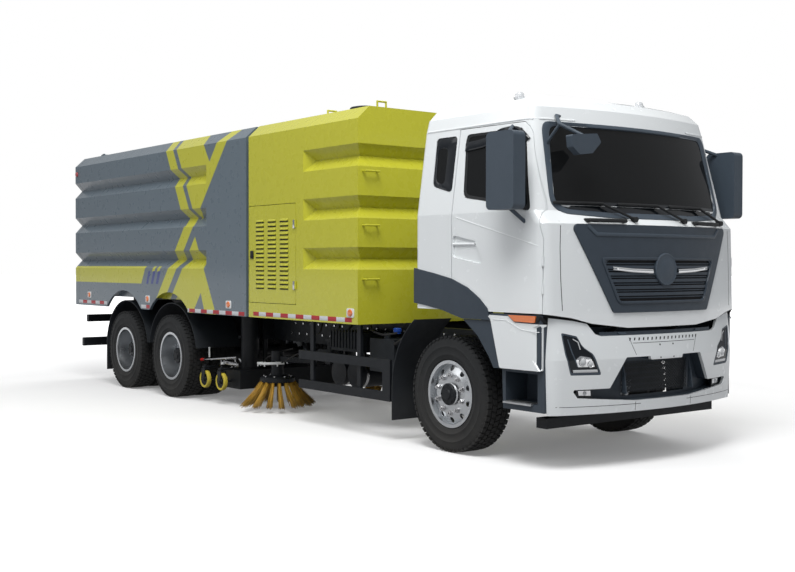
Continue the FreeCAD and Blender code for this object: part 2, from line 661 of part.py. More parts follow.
def axles():
    """Front beam with kingpin bosses, leaf springs, rear housings with differentials and drive shafts."""
    boss = [rod("boss_solid", (AXLE_1, -KINGPIN_Y, WHEEL_Z - D.boss_height / 2),
                (AXLE_1, -KINGPIN_Y, WHEEL_Z + D.boss_height / 2), "boss_diameter")]
    beam_share = 0.7
    drop = D.boss_height
    arm = D.boss_diameter * beam_share
    outline = [(-KINGPIN_Y, 1), (-KINGPIN_Y * 0.82, 1), (-KINGPIN_Y * 0.62, 0), (KINGPIN_Y * 0.62, 0),
               (KINGPIN_Y * 0.82, 1), (KINGPIN_Y, 1)]
    low = WHEEL_Z - D.boss_height / 2
    lower = [(y, low - drop * (1 - up)) for y, up in outline]
    upper = [(y, z + D.boss_height * 0.8) for y, z in reversed(lower)]
    beam = body("front_beam")
    pad(beam, "YZ", rounded(lower + upper, D.boss_height / 8), AXLE_1 - arm / 2, arm)
    left_boss = mirrored("boss_left", boss[0])
    bores = [rod("kingpin_bore", (AXLE_1, side * KINGPIN_Y, low - drop),
                 (AXLE_1, side * KINGPIN_Y, low + drop * 2), "kingpin_diameter + 2 * play") for side in (-1, 1)]
    front = cut("front_axle_beam", fuse("front_beam_solid", [beam, boss[0], left_boss]), bores)
    spring_y = FRAME_Y - D.rail_flange / 2
    leaf = D.rail_flange
    seat = low - drop + D.boss_height * 0.8
    reach = D.tyre_diameter * 0.78
    springs = body("front_springs")
    arch = [(-reach, FRAME_BOTTOM), (0, seat), (reach, FRAME_BOTTOM)]
    thick = D.rail_wall * 5
    curve = [Part.Arc(V(AXLE_1 + arch[0][0], arch[0][1] - thick, 0), V(AXLE_1, seat, 0),
                      V(AXLE_1 + arch[2][0], arch[2][1] - thick, 0)),
             Part.LineSegment(V(AXLE_1 + arch[2][0], arch[2][1] - thick, 0), V(AXLE_1 + arch[2][0], FRAME_BOTTOM, 0)),
             Part.Arc(V(AXLE_1 + arch[2][0], FRAME_BOTTOM, 0), V(AXLE_1, seat + thick, 0),
                      V(AXLE_1 + arch[0][0], FRAME_BOTTOM, 0)),
             Part.LineSegment(V(AXLE_1 + arch[0][0], FRAME_BOTTOM, 0), V(AXLE_1 + arch[0][0], arch[0][1] - thick, 0))]
    pad(springs, "XZ", curve, -spring_y - leaf / 2, leaf)
    front_left = mirrored("front_springs_left", springs)
    rear = []
    tube = D.hub_diameter * 0.8
    for number, x in ((2, AXLE_2), (3, AXLE_3)):
        end = D.dual_track / 2 - D.dual_spacing / 2 - D.rim_width / 2
        tip = D.dual_track / 2 + D.dual_spacing / 2 - D.side_play
        housing = rod(f"housing_{number}", (x, -end, WHEEL_Z), (x, end, WHEEL_Z), tube)
        spindle = rod(f"spindle_{number}", (x, -tip, WHEEL_Z), (x, tip, WHEEL_Z), "spindle_diameter")
        bowl = add("Part::Sphere", f"differential_{number}")
        bowl.Radius = tube
        bowl.Placement = FreeCAD.Placement(V(x, 0, WHEEL_Z), FreeCAD.Rotation())
        rear += [housing, spindle, bowl]
    middle = (AXLE_2 + AXLE_3) / 2
    low = WHEEL_Z + tube / 2
    ends = [AXLE_3 - tube / 2, AXLE_2 + tube / 2]
    bogie = body("rear_springs")
    curve = [Part.Arc(V(ends[0], low, 0), V(middle, FRAME_BOTTOM - thick, 0), V(ends[1], low, 0)),
             Part.LineSegment(V(ends[1], low, 0), V(ends[1], low + thick, 0)),
             Part.Arc(V(ends[1], low + thick, 0), V(middle, FRAME_BOTTOM, 0), V(ends[0], low + thick, 0)),
             Part.LineSegment(V(ends[0], low + thick, 0), V(ends[0], low, 0))]
    pad(bogie, "XZ", curve, -spring_y - leaf / 2, leaf)
    pads = [box(f"spring_pad_{number}", (x - tube / 2, -spring_y - leaf / 2, WHEEL_Z), (tube, leaf, low - WHEEL_Z + thick / 2))
            for number, x in ((2, AXLE_2), (3, AXLE_3))]
    right_rear = fuse("rear_springs_right", [bogie] + pads)
    left_rear = mirrored("rear_springs_left", right_rear)
    shaft_z = WHEEL_Z + tube / 4
    shafts = [rod("shaft_front", (AXLE_1 - GEARBOX_END, 0, shaft_z), (AXLE_2, 0, shaft_z), tube * 0.6),
              rod("shaft_rear", (AXLE_2, 0, WHEEL_Z), (AXLE_3, 0, WHEEL_Z), tube * 0.6)]
    rear_axle = fuse("rear_axles", rear + [right_rear, left_rear] + shafts)
    front_axle = fuse("front_axle", [front, springs, front_left])
    return node(group("axles", [front_axle, rear_axle]))


# Chassis: rails, crossmembers, sills and brackets
GEARBOX_END = D.cab_back + D.front_overhang / 3
TIP_X = REAR + D.tip_x
RAIL_REAR = REAR + D.frame_rear_gap
RAIL_FRONT = AXLE_1 + D.front_overhang * 0.72
POST_X = AXLE_1 - D.post_x
BROOM_X = AXLE_1 - D.broom_x
NOZZLE_X = AXLE_1 - D.nozzle_x
POST_LOW = FRAME_BOTTOM - D.rail_height * 0.7
POST_HIGH = POST_LOW + D.rail_height


def chassis_frame():
    web = D.rail_wall
    flange = FRAME_Y - D.rail_flange
    rail = body("rail")
    pad(rail, "YZ", straight([(-FRAME_Y, FRAME_BOTTOM), (-flange, FRAME_BOTTOM), (-flange, FRAME_BOTTOM + web),
                              (web - FRAME_Y, FRAME_BOTTOM + web), (web - FRAME_Y, D.frame_top - web),
                              (-flange, D.frame_top - web), (-flange, D.frame_top), (-FRAME_Y, D.frame_top)]),
        RAIL_REAR, RAIL_FRONT - RAIL_REAR)
    side = [rail]
    sill = D.rail_flange * 0.75
    sill_rear = TIP_X + D.hinge_pin * 2
    side.append(box("hopper_sill", (sill_rear, -FRAME_Y, D.frame_top),
                    (HOPPER_FRONT - sill_rear, sill, "floor_bottom - frame_top - play")))
    side.append(box("box_sill", (BOX_REAR, -FRAME_Y, D.frame_top),
                    ("box_length", sill, "skirt_bottom - frame_top")))
    cheek_share = 0.75
    high = D.tip_z - D.frame_top + D.hinge_pin * cheek_share
    for number, y in enumerate((-FRAME_Y, -flange - web * 2)):
        side.append(box(f"tip_cheek_{number}", (TIP_X - D.hinge_pin * 0.8, y, D.frame_top),
                        (D.hinge_pin * 1.6, web * 2, high)))
    side.append(rod("tip_pin", (TIP_X, -FRAME_Y, D.tip_z), (TIP_X, -flange, D.tip_z), "hinge_pin"))
    lip = D.broom_post / 2
    reach = D.post_y + D.broom_post * 0.8
    wide = D.broom_post * 1.6
    side.append(box("broom_hanger", (POST_X - wide / 2, -FRAME_Y - lip, POST_LOW),
                    (wide, lip, POST_HIGH - POST_LOW)))
    for number, z in enumerate((POST_LOW, POST_HIGH - lip)):
        side.append(box(f"broom_lip_{number}", (POST_X - wide / 2, -reach, z), (wide, reach - FRAME_Y, lip)))
    side.append(rod("broom_pin", (POST_X, -D.post_y, POST_LOW), (POST_X, -D.post_y, POST_HIGH), "broom_post"))
    guide = box("guide_block", (NOZZLE_X - D.guide_rod, -D.guide_y - D.guide_rod, FRAME_BOTTOM + web),
                ("2 * guide_rod", D.guide_y + D.guide_rod - FRAME_Y, "rail_height - 4 * rail_wall"))
    bore = rod("guide_bore", (NOZZLE_X, -D.guide_y, FRAME_BOTTOM), (NOZZLE_X, -D.guide_y, D.frame_top + web),
               "guide_rod + 2 * play")
    side.append(cut("nozzle_guide", guide, [bore]))
    tilt_y = D.tilt_pin - FRAME_Y
    tilt_x = AXLE_1 + D.tilt_x
    side.append(rod("tilt_arm", (RAIL_FRONT - D.rail_flange, tilt_y, D.frame_top - D.rail_flange),
                    (tilt_x, tilt_y, D.tilt_z), "tilt_pin * 1.6"))
    side.append(rod("tilt_pivot", (tilt_x, tilt_y, D.tilt_z), (tilt_x, -FRAME_Y - D.tilt_pin * 2, D.tilt_z), "tilt_pin"))
    side.append(box("cab_rest", (AXLE_1 - D.cab_back + D.cab_wall, -FRAME_Y - D.rail_flange / 2, D.frame_top),
                    ("rail_flange", "rail_flange", "cab_bottom - frame_top - play")))
    right = fuse("frame_right", side)
    left = mirrored("frame_left", right)
    inside = 2 * (FRAME_Y - web)
    beams = []
    places = [RAIL_REAR + D.crossmember, REAR + D.lift_base_x - D.lift_bore * 2, AXLE_2 + D.tandem / 2,
              BOX_REAR + D.crossmember, BOX_FRONT - D.crossmember, AXLE_1 - GEARBOX_END - D.crossmember,
              RAIL_FRONT - D.crossmember]
    for number, x in enumerate(places):
        beams.append(box(f"crossmember_{number}", (x, web - FRAME_Y, FRAME_BOTTOM + web * 2),
                         ("rail_flange", inside, "crossmember")))
    base_x = REAR + D.lift_base_x
    lift_span = 2 * (FRAME_Y - web)
    beams.append(rod("lift_pin", (base_x, -lift_span / 2, D.lift_base_z), (base_x, lift_span / 2, D.lift_base_z),
                     "lift_rod"))
    return node(fuse("chassis_frame", [right, left] + beams))


def engine_block():
    """Engine with its gearbox, as one plain mass between the rails."""
    width = D.frame_width * 0.74
    engine = box("engine_solid", (AXLE_1 - D.cab_back / 2, -width / 2, WHEEL_Z + D.boss_height),
                 (D.front_overhang * 0.7, width, D.frame_top - WHEEL_Z + D.boss_height * 2))
    gearbox = box("gearbox_solid", (AXLE_1 - GEARBOX_END + D.play, -width / 4, WHEEL_Z + D.play),
                  (GEARBOX_END - D.cab_back / 2, width / 2, D.rail_height * 1.2))
    return node(fuse("engine_block", [engine, gearbox]))


# Hopper, tailgate and engine box
def side_points(grooves, foot):
    """Right side of the section from foot to roof; the side has V forms where asked."""
    points = [(-HALF, foot)]
    if grooves:
        for number in reversed(range(int(D.groove_count))):
            top = D.groove_top - number * D.groove_pitch
            points += [(-HALF, top - D.groove_height), (D.groove_depth - HALF, top - D.groove_height / 2), (-HALF, top)]
    return points + [(-HALF, D.side_top), (D.roof_inset - HALF, ROOF_Z)]


def hopper_section(grooves):
    skirt = HALF - D.skirt_thick
    right = [(-skirt, D.floor_bottom), (-skirt, D.skirt_bottom)] + side_points(grooves, D.skirt_bottom)
    return straight(right + [(-y, z) for y, z in reversed(right)])


def arch_outlines():
    """Wheel cut-outs of the skirt, as arcs over each rear axle."""
    middle = WHEEL_Z + D.arch_rise
    low = D.skirt_bottom - D.side_play
    half = math.sqrt(D.arch_radius ** 2 - (low - middle) ** 2)
    outline = []
    for x in (AXLE_2, AXLE_3):
        start = V(x - half, low, 0)
        end = V(x + half, low, 0)
        outline += [Part.Arc(start, V(x, middle + D.arch_radius, 0), end), Part.LineSegment(end, start)]
    return outline


TIP_EAR = (FRAME_Y + FRAME_Y - D.rail_flange) / 2
TIP_EAR_THICK = D.rail_flange - D.rail_wall * 4 - D.side_play * 2
GATE_PIN_X = GATE_FRONT + D.hinge_pin
GATE_PIN_Z = ROOF_Z + D.gate_pin_rise
GATE_HINGES = (-HALF * 2 / 3, 0, HALF * 2 / 3)


def hopper():
    start = GATE_FRONT + D.door_gap
    plain = HOPPER_FRONT - D.hopper_plain
    shell = body("hopper_shell")
    pad(shell, "YZ", hopper_section(True), start, plain - start)
    pad(shell, "YZ", hopper_section(False), plain, "hopper_plain")
    inside = HALF - D.groove_depth - D.hopper_wall
    floor = D.floor_bottom + D.hopper_floor
    bevel = D.side_top - D.roof_inset + D.groove_depth
    room = [(-inside, floor), (inside, floor), (inside, bevel), (inside - D.roof_inset, ROOF_Z - D.hopper_wall),
            (D.roof_inset - inside, ROOF_Z - D.hopper_wall), (-inside, bevel)]
    pocket(shell, "YZ", straight(room), start - OVERRUN, HOPPER_FRONT - D.hopper_wall - start + OVERRUN)
    for y in (-HALF - OVERRUN, HALF - D.arch_depth):
        pocket(shell, "XZ", arch_outlines(), y, OVERRUN + D.arch_depth)
    pieces = [shell]
    ring = D.hinge_pin * 1.5
    side = []
    thick = TIP_EAR_THICK / 2
    eye = rod("tip_eye", (TIP_X, -TIP_EAR - thick, D.tip_z), (TIP_X, thick - TIP_EAR, D.tip_z), ring)
    stem = box("tip_ear", (TIP_X - ring / 2, -TIP_EAR - thick, D.tip_z), (ring, TIP_EAR_THICK, "floor_bottom - tip_z"))
    bore = rod("tip_bore", (TIP_X, -TIP_EAR - OVERRUN, D.tip_z), (TIP_X, OVERRUN - TIP_EAR, D.tip_z),
               "hinge_pin + 2 * play")
    side.append(cut("tip_bracket", fuse("tip_bracket_solid", [eye, stem]), [bore]))
    eye_x = REAR + D.lift_eye_x
    plate = D.rail_wall * 2
    gap = D.lift_eye / 2 + D.side_play
    for number, y in enumerate((-D.lift_y - gap - plate, gap - D.lift_y)):
        side.append(box(f"lift_ear_{number}", (eye_x - ring / 2, y, D.lift_eye_z - ring / 2),
                        (ring, plate, D.floor_bottom - D.lift_eye_z + ring / 2)))
    stub = rod("duct_stub", (NOZZLE_X, -D.duct_y, D.skirt_bottom), (NOZZLE_X, -D.duct_y, D.floor_bottom), "duct_diameter")
    hollow = rod("duct_stub_bore", (NOZZLE_X, -D.duct_y, FRAME_BOTTOM), (NOZZLE_X, -D.duct_y, D.floor_bottom),
                 "duct_diameter - nozzle_wall")
    side.append(cut("duct_stub_tube", stub, [hollow]))
    right = fuse("hopper_brackets", side)
    pieces += [right, mirrored("hopper_brackets_left", right)]
    lug = D.gate_pin * 1.5
    wide = D.gate_pin * 2
    for number, y in enumerate(GATE_HINGES):
        for inner, outer in ((-wide, -wide - D.gate_pin / 2), (wide + D.gate_pin / 2, wide)):
            pieces.append(box(f"gate_cheek_{number}{inner > 0:d}", (GATE_PIN_X - lug, y + outer, ROOF_Z - D.play),
                              (lug * 2, D.gate_pin / 2, D.gate_pin_rise + lug)))
        reach = wide + D.gate_pin / 2
        pieces.append(rod(f"gate_pin_{number}", (GATE_PIN_X, y - reach, GATE_PIN_Z), (GATE_PIN_X, y + reach, GATE_PIN_Z),
                          "gate_pin"))
    return node(fuse("hopper", pieces))


def tailgate():
    gate = body("gate_panel")
    pad(gate, "YZ", hopper_section(True), REAR, "tailgate_thick")
    pieces = [gate]
    bores = []
    ring = D.gate_pin * 2.5
    wide = D.gate_pin * 2 - D.side_play
    for number, y in enumerate(GATE_HINGES):
        pieces.append(rod(f"gate_eye_{number}", (GATE_PIN_X, y - wide, GATE_PIN_Z), (GATE_PIN_X, y + wide, GATE_PIN_Z), ring))
        pieces.append(box(f"gate_arm_{number}", (GATE_FRONT - ring, y - wide, GATE_PIN_Z - ring / 2),
                          (GATE_PIN_X - GATE_FRONT + ring, 2 * wide, ring)))
        pieces.append(box(f"gate_foot_{number}", (GATE_FRONT - ring, y - wide, ROOF_Z - ring),
                          (ring, 2 * wide, D.gate_pin_rise + ring)))
        bores.append(rod(f"gate_bore_{number}", (GATE_PIN_X, y - wide - OVERRUN, GATE_PIN_Z),
                         (GATE_PIN_X, y + wide + OVERRUN, GATE_PIN_Z), "gate_pin + 2 * play"))
    return node(cut("tailgate", fuse("tailgate_solid", pieces), bores))


LOUVRE_REAR = BOX_REAR + D.bay_lip - D.bay_lip * 2 / 5
BAY_REAR = LOUVRE_REAR + D.bay_lip
BAY_LOW = D.louvre_bottom + D.bay_lip


def groove_tools():
    """V forms over the box's face and sides; each side's form ends in a slanted facet."""
    tools = []
    start = BOX_REAR + D.box_plain
    end = BOX_FRONT + OVERRUN
    slant = [(start, -HALF - OVERRUN), (end, -HALF - OVERRUN), (end, D.groove_depth - HALF),
             (start + D.groove_depth, D.groove_depth - HALF), (start, -HALF)]
    for number in range(int(D.groove_count)):
        top = D.groove_top - number * D.groove_pitch
        middle = top - D.groove_height / 2
        side = [(-HALF - OVERRUN, top - D.groove_height), (-HALF, top - D.groove_height),
                (D.groove_depth - HALF, middle), (-HALF, top), (-HALF - OVERRUN, top)]
        right = prism(straight(side), "YZ", start, end).common(prism(straight(slant), "XY", D.skirt_bottom, ROOF_Z))
        face = [(BOX_FRONT + OVERRUN, top - D.groove_height), (BOX_FRONT, top - D.groove_height),
                (BOX_FRONT - D.groove_depth, middle), (BOX_FRONT, top), (BOX_FRONT + OVERRUN, top)]
        tools += [right, right.mirror(V(0, 0, 0), V(0, 1, 0)), prism(straight(face), "XZ", -HALF - OVERRUN, HALF + OVERRUN)]
    return solid("groove_tools", tools[0].fuse(tools[1:]))


def engine_box():
    shell = body("box_shell")
    right = side_points(False, D.skirt_bottom)
    pad(shell, "YZ", straight(right + [(-y, z) for y, z in reversed(right)]), BOX_REAR, "box_length")
    tools = [groove_tools()]
    deep = D.louvre_thick + D.door_gap
    for number, y in enumerate((-HALF - OVERRUN, HALF - deep)):
        tools.append(box(f"louvre_recess_{number}", (LOUVRE_REAR - D.door_gap, y, D.louvre_bottom - D.door_gap),
                         ("louvre_length + 2 * door_gap", deep + OVERRUN, "louvre_height + 2 * door_gap")))
    tools.append(box("engine_bay", (BAY_REAR, -HALF, BAY_LOW),
                     ("louvre_length - 2 * bay_lip", "body_width", "louvre_height - 2 * bay_lip")))
    edge = LOUVRE_REAR + D.louvre_length
    leaves = []
    for number, share in enumerate((0.19, 0.8)):
        z = D.louvre_bottom + D.louvre_height * share - D.hinge_leaf / 2
        for side in (-1, 1):
            y = -HALF if side < 0 else HALF - D.hinge_thick
            leaves.append(box(f"louvre_leaf_{number}{side > 0:d}", (edge + D.play, y, z),
                              ("2 * door_gap", "hinge_thick", "hinge_leaf")))
            axis = side * (HALF + D.hinge_thick - D.play)
            leaves.append(rod(f"louvre_barrel_{number}{side > 0:d}", (edge + D.door_gap, axis, z),
                              (edge + D.door_gap, axis, z + D.hinge_leaf), "2 * hinge_thick"))
    grips = []
    for side in (-1, 1):
        for number in range(int(D.groove_count)):
            z = D.rung_top - number * D.rung_pitch
            points = [(BOX_FRONT + rise, side * D.rung_y + half, z) for rise, half in
                      ((0, D.rung_width / 2), (D.rung_rise, D.rung_width / 2), (D.rung_rise, -D.rung_width / 2),
                       (0, -D.rung_width / 2))]
            grips.append(solid(f"box_grip_{number}{side > 0:d}", route(points, D.rung_bar)))
    for x in (BOX_FRONT - D.rung_bar, (BOX_FRONT + BOX_REAR) / 2 + D.rung_width):
        for side in (-1, 1):
            y = side * (D.rung_y - D.rung_width)
            eye = route([(x, y + D.rung_width / 3, ROOF_Z), (x, y + D.rung_width / 3, ROOF_Z + D.rung_rise),
                         (x, y - D.rung_width / 3, ROOF_Z + D.rung_rise), (x, y - D.rung_width / 3, ROOF_Z)], D.rung_bar)
            grips.append(solid(f"roof_eye_{side > 0:d}", eye))
    return node(fuse("engine_box", [cut("box_with_bay", shell, tools)] + leaves + grips))


def auxiliary_engine():
    side_share = 0.42
    height_share = 0.62
    clear = D.louvre_length / 8
    return node(box("auxiliary_engine", (BAY_REAR + clear, -HALF * side_share, BAY_LOW),
                    (D.louvre_length - 2 * (clear + D.bay_lip), D.body_width * side_share, D.louvre_height * height_share)))


def louvre_door():
    """Door of the engine bay with columns of slots, hinged at its front edge."""
    door = body("louvre_panel")
    left = LOUVRE_REAR
    right = LOUVRE_REAR + D.louvre_length
    low = D.louvre_bottom
    pad(door, "XZ", rounded([(left, low), (right, low), (right, low + D.louvre_height), (left, low + D.louvre_height)],
                            D.louvre_thick / 2), -HALF, "louvre_thick")
    columns = int(D.louvre_columns)
    pitch = D.louvre_length / (columns + 1) * 1.04
    first = (left + right) / 2 - pitch * (columns - 1) / 2
    span = D.slot_pitch * (D.louvre_slots - 1)
    foot = low + (D.louvre_height - span) / 2
    height = D.slot_pitch * 0.55
    pieces = [door]
    slots = []
    for column in range(columns):
        middle = first + pitch * column
        for row in range(int(D.louvre_slots)):
            z = foot + row * D.slot_pitch
            lid = [(-HALF - OVERRUN, z - height / 2), (-HALF, z - height / 2), (D.louvre_thick / 3 - HALF, z - height / 2),
                   (-HALF, z + height / 2), (-HALF - OVERRUN, z + height / 2)]
            slots.append(prism(straight(lid), "YZ", middle - D.slot_length / 2, middle + D.slot_length / 2))
    slots = solid("louvre_slots", Part.makeCompound(slots))
    panel = cut("louvre_door_right", pieces[0], [slots])
    node(panel)
    return node(mirrored("louvre_door_left", panel))


# Mudguards, guards, bars, tanks and boxes
def arc_band(x, z, radius, wall, start, end):
    """A curved plate round a point, between two angles in degrees from the front."""
    def at(reach, angle):
        return V(x + reach * math.cos(math.radians(angle)), z + reach * math.sin(math.radians(angle)), 0)
    middle = (start + end) / 2
    outer = radius + wall
    return [Part.Arc(at(outer, start), at(outer, middle), at(outer, end)), Part.LineSegment(at(outer, end), at(radius, end)),
            Part.Arc(at(radius, end), at(radius, middle), at(radius, start)),
            Part.LineSegment(at(radius, start), at(outer, start))]


def mudguards():
    radius = WHEEL_Z + D.fender_gap
    low = math.degrees(math.asin((D.fender_end - WHEEL_Z) / radius))
    width = D.fender_out - D.fender_in
    right = []
    for number, x in ((2, AXLE_2), (3, AXLE_3)):
        ring = body(f"mudguard_axle{number}")
        pad(ring, "XZ", arc_band(x, WHEEL_Z, radius, D.fender_wall, low, 180 - low), -D.fender_out, width)
        arm = D.hinge_pin
        right += [ring, box(f"mudguard_arm_{number}", (x - arm / 2, -D.fender_in - arm, WHEEL_Z + radius - D.fender_wall),
                            (arm, D.fender_in + arm - FRAME_Y, D.fender_wall * 2))]
    end = radius * math.cos(math.radians(low))
    flap_top = D.fender_end + D.flap_thick * 3
    right.append(box("rear_flap", (AXLE_3 - end - D.flap_thick, -D.fender_out, D.flap_bottom),
                     ("flap_thick", width, flap_top - D.flap_bottom)))
    front = body("mudguard_front")
    reach = D.front_fender_radius
    start = 180 - math.degrees(math.asin((D.front_fender_top - WHEEL_Z) / reach))
    end_angle = 180
    pad(front, "XZ", arc_band(AXLE_1, WHEEL_Z, reach, D.fender_wall, start, end_angle), -D.fender_out,
        D.fender_out - D.front_fender_in)
    stay = D.hinge_pin
    stay_z = FRAME_BOTTOM + D.rail_flange
    ring_x = AXLE_1 - math.sqrt(reach ** 2 - (stay_z + stay / 4 - WHEEL_Z) ** 2)
    tie = [box("front_flap", (AXLE_1 - reach - D.flap_thick, -D.fender_out, D.flap_bottom),
               ("flap_thick", D.fender_out - D.front_fender_in, WHEEL_Z + D.flap_thick - D.flap_bottom)),
           box("front_stay", (ring_x - stay / 2, -D.front_fender_in - stay, stay_z),
               (stay, D.front_fender_in + stay - FRAME_Y, stay / 2))]
    right += [front] + tie
    side = group("mudguards_right", [fuse("mudguards_rear_right", right[:5]), fuse("mudguards_front_right", right[5:])])
    return node(group("mudguards", [side, mirrored("mudguards_left", side)]))


def side_guards():
    """Two rails a side on posts under the engine box, with a broad front post."""
    rear = AXLE_1 - D.guard_rear
    front = AXLE_1 - D.guard_front
    outer = -D.guard_out
    pieces = [box("guard_upper", (rear, outer, D.guard_top - D.guard_rail), (front - rear, "guard_thick", "guard_rail")),
              box("guard_lower", (rear, outer, D.guard_bottom), (front - rear, "guard_thick", "guard_rail")),
              box("guard_panel", (front - D.guard_panel, outer, D.guard_bottom),
                  ("guard_panel", "guard_thick", D.guard_top - D.guard_bottom))]
    inset = D.guard_post
    for number, x in enumerate((rear + inset * 3, BOX_FRONT - inset * 2)):
        pieces.append(box(f"guard_post_{number}", (x, outer + D.guard_thick, D.guard_bottom),
                          ("guard_post", "guard_thick", D.skirt_bottom - D.play - D.guard_bottom)))
    right = fuse("side_guard_right", pieces)
    return node(group("side_guards", [right, mirrored("side_guard_left", right)]))


def rear_bars():
    """Lamp bar and under-run bar on two arms behind the rails."""
    x = REAR + D.bar_thick / 2
    lamp = box("lamp_bar", (x, -D.bar_out, D.bar_top - D.bar_height), ("bar_thick", "2 * bar_out", "bar_height"))
    under = box("underrun_bar", (x, -D.underrun_out, D.underrun_top - D.underrun_height),
                ("bar_thick", "2 * underrun_out", "underrun_height"))
    pieces = [lamp, under]
    for side in (-1, 1):
        y = side * (FRAME_Y - D.rail_flange / 2) - D.rail_flange / 2
        pieces.append(box(f"bar_arm_{side > 0:d}", (x, y, D.underrun_top - D.underrun_height),
                          (RAIL_REAR - x, "rail_flange", D.bar_top - D.underrun_top + D.underrun_height)))
    return node(fuse("rear_bars", pieces))


def tanks_and_boxes():
    """Battery box with air tanks slung under it and urea tank on the right, fuel tank on the left."""
    middle = AXLE_1 - D.tank_x
    width = D.tank_out - FRAME_Y
    box("battery_box", (middle - D.battery_length / 2, -D.tank_out, D.battery_bottom),
        ("battery_length", width, "battery_height"))
    tanks = []
    for number, side in enumerate((-1, 1)):
        x = middle + side * D.tank_spacing / 2
        tanks.append(rod(f"air_tank_{number}", (x, -D.tank_out, D.tank_z), (x, D.tank_length - D.tank_out, D.tank_z),
                         "tank_diameter"))
        strap = D.guard_post / 2
        for place, share in enumerate((0.2, 0.8)):
            y = D.tank_length * share - D.tank_out - strap / 2
            tanks.append(box(f"tank_strap_{number}{place}", (x - strap / 2, y, D.tank_z),
                             (strap, strap, D.battery_bottom - D.play - D.tank_z)))
    parts = [fuse("air_tank_rear", tanks[:3]), fuse("air_tank_front", tanks[3:])]
    node(group("air_tanks", parts))
    urea_y = -D.tank_out
    urea = box("urea_solid", (AXLE_1 - D.urea_x - D.urea_length / 2, urea_y, D.urea_bottom),
               ("urea_length", width, "urea_height"))
    cap_z = D.urea_bottom + D.urea_height
    cap_y = urea_y + D.tank_diameter / 4
    cap = rod("urea_cap", (AXLE_1 - D.urea_x, cap_y, cap_z), (AXLE_1 - D.urea_x, cap_y, cap_z + D.guard_post),
              D.guard_post)
    tank = body("fuel_tank")
    left = FRAME_Y + D.side_play
    outline = rounded([(left, D.fuel_bottom), (D.fuel_out, D.fuel_bottom), (D.fuel_out, D.fuel_bottom + D.fuel_height),
                       (left, D.fuel_bottom + D.fuel_height)], D.fuel_corner)
    pad(tank, "YZ", outline, AXLE_1 - D.fuel_x - D.fuel_length / 2, "fuel_length")
    hold = [tank]
    for number, share in enumerate((0.25, 0.75)):
        x = AXLE_1 - D.fuel_x - D.fuel_length / 2 + D.fuel_length * share
        hold.append(box(f"fuel_bracket_{number}", (x, FRAME_Y, FRAME_BOTTOM + D.rail_wall),
                        ("guard_post", D.fuel_corner, D.rail_height / 2)))
    pieces = [doc.getObject("battery_box"), fuse("urea_tank", [urea, cap]), fuse("fuel_tank_held", hold)]
    return node(group("side_boxes", pieces))


# Cab: form, shell, panels, glass and doors
def plan(z, front, half, rear, corner, rear_corner, bow):
    """Outline in plan at one height: bowed front, round corners, straight sides and back."""
    centre = front - bow
    corner_x = centre + math.sqrt((bow - corner) ** 2 - (half - corner) ** 2)
    corner_y = half - corner
    along = V(corner_x - centre, corner_y, 0).normalize()
    tangent = V(centre, 0, 0) + along * bow
    middle = V(corner_x, corner_y, 0) + (along + V(0, 1, 0)).normalize() * corner
    turn = rear_corner * (1 - math.sqrt(2) / 2)

    def right(point):
        return V(point.x, -point.y, 0)
    side = V(corner_x, half, 0)
    back = V(rear + rear_corner, half, 0)
    soft = V(rear + turn, half - turn, 0)
    last = V(rear, half - rear_corner, 0)
    edges = [Part.LineSegment(right(back), right(side)), Part.Arc(right(side), right(middle), right(tangent)),
             Part.Arc(right(tangent), V(front, 0, 0), tangent), Part.Arc(tangent, middle, side),
             Part.LineSegment(side, back), Part.Arc(back, soft, last), Part.LineSegment(last, right(last)),
             Part.Arc(right(last), right(soft), right(back))]
    wire = Part.Wire([edge.toShape() for edge in edges])
    wire.translate(V(0, 0, z))
    return wire


def cab_form(depth, low):
    """The cab's outside drawn in by a depth, with its foot at a given height."""
    rows = [(low, D.cab_front, 0, 0), (D.cab_belt, D.belt_front, 0, 0), (D.screen_bottom, D.screen_front, 0, 0),
            (GUTTER, D.gutter_front, D.cab_lean, 0)]
    steps = int(D.cab_roof_steps)
    rise = D.cab_top - GUTTER - depth
    for step in range(1, steps + 1):
        turn = math.pi / 2 * step / steps
        inset = D.cab_roof_inset * (1 - math.cos(turn))
        rows.append((GUTTER + rise * math.sin(turn), D.gutter_front - inset, D.cab_lean + inset, inset / 4))
    wires = [plan(z, AXLE_1 + front - depth, D.cab_width / 2 - lean - depth, AXLE_1 - D.cab_back + back + depth,
                  D.cab_corner - depth, D.cab_rear_corner - depth, D.cab_bow - depth) for z, front, lean, back in rows]
    return Part.makeLoft(wires, True, True)


def on_side(shares, start, end, low, high):
    return [(AXLE_1 + start + (end - start) * x, low + (high - low) * z) for x, z in shares]


DOOR_SHARES = ((0, 0.171), (0.188, 0.127), (0.331, 0.07), (0.426, 0), (1, 0), (1, 0.372), (0.956, 0.499),
               (0.935, 0.571), (0.877, 0.718), (0.826, 0.843), (0.799, 0.928), (0.772, 0.963), (0.731, 0.988),
               (0, 0.992))
WINDOW_SHARES = ((0.076, 0.961), (0.118, 0.614), (0.411, 0.582), (0.88, 0.52), (0.821, 0.696), (0.771, 0.873),
                 (0.711, 0.961))
QUARTER_SHARES = ((0.383, 0.961), (0.402, 0.69), (0.929, 0.646), (0.929, 0.961))


HANDLE_SHARES = ((0, 1), (0.705, 0.794), (1, 0), (0, 0.259))
APRON_SHARES = ((0.36, 0), (0.653, 0.328), (0.806, 0.72), (1, 1))
DOOR_HINGE_X = AXLE_1 + D.door_front + D.door_gap / 2
DOOR_HINGE_Y = D.cab_width / 2 - D.cab_wall / 3
DOOR_LEAF_SHARES = (0.08, 0.19)
DOOR_LEAVES = [D.cab_bottom + D.cab_belt * share for share in DOOR_LEAF_SHARES]


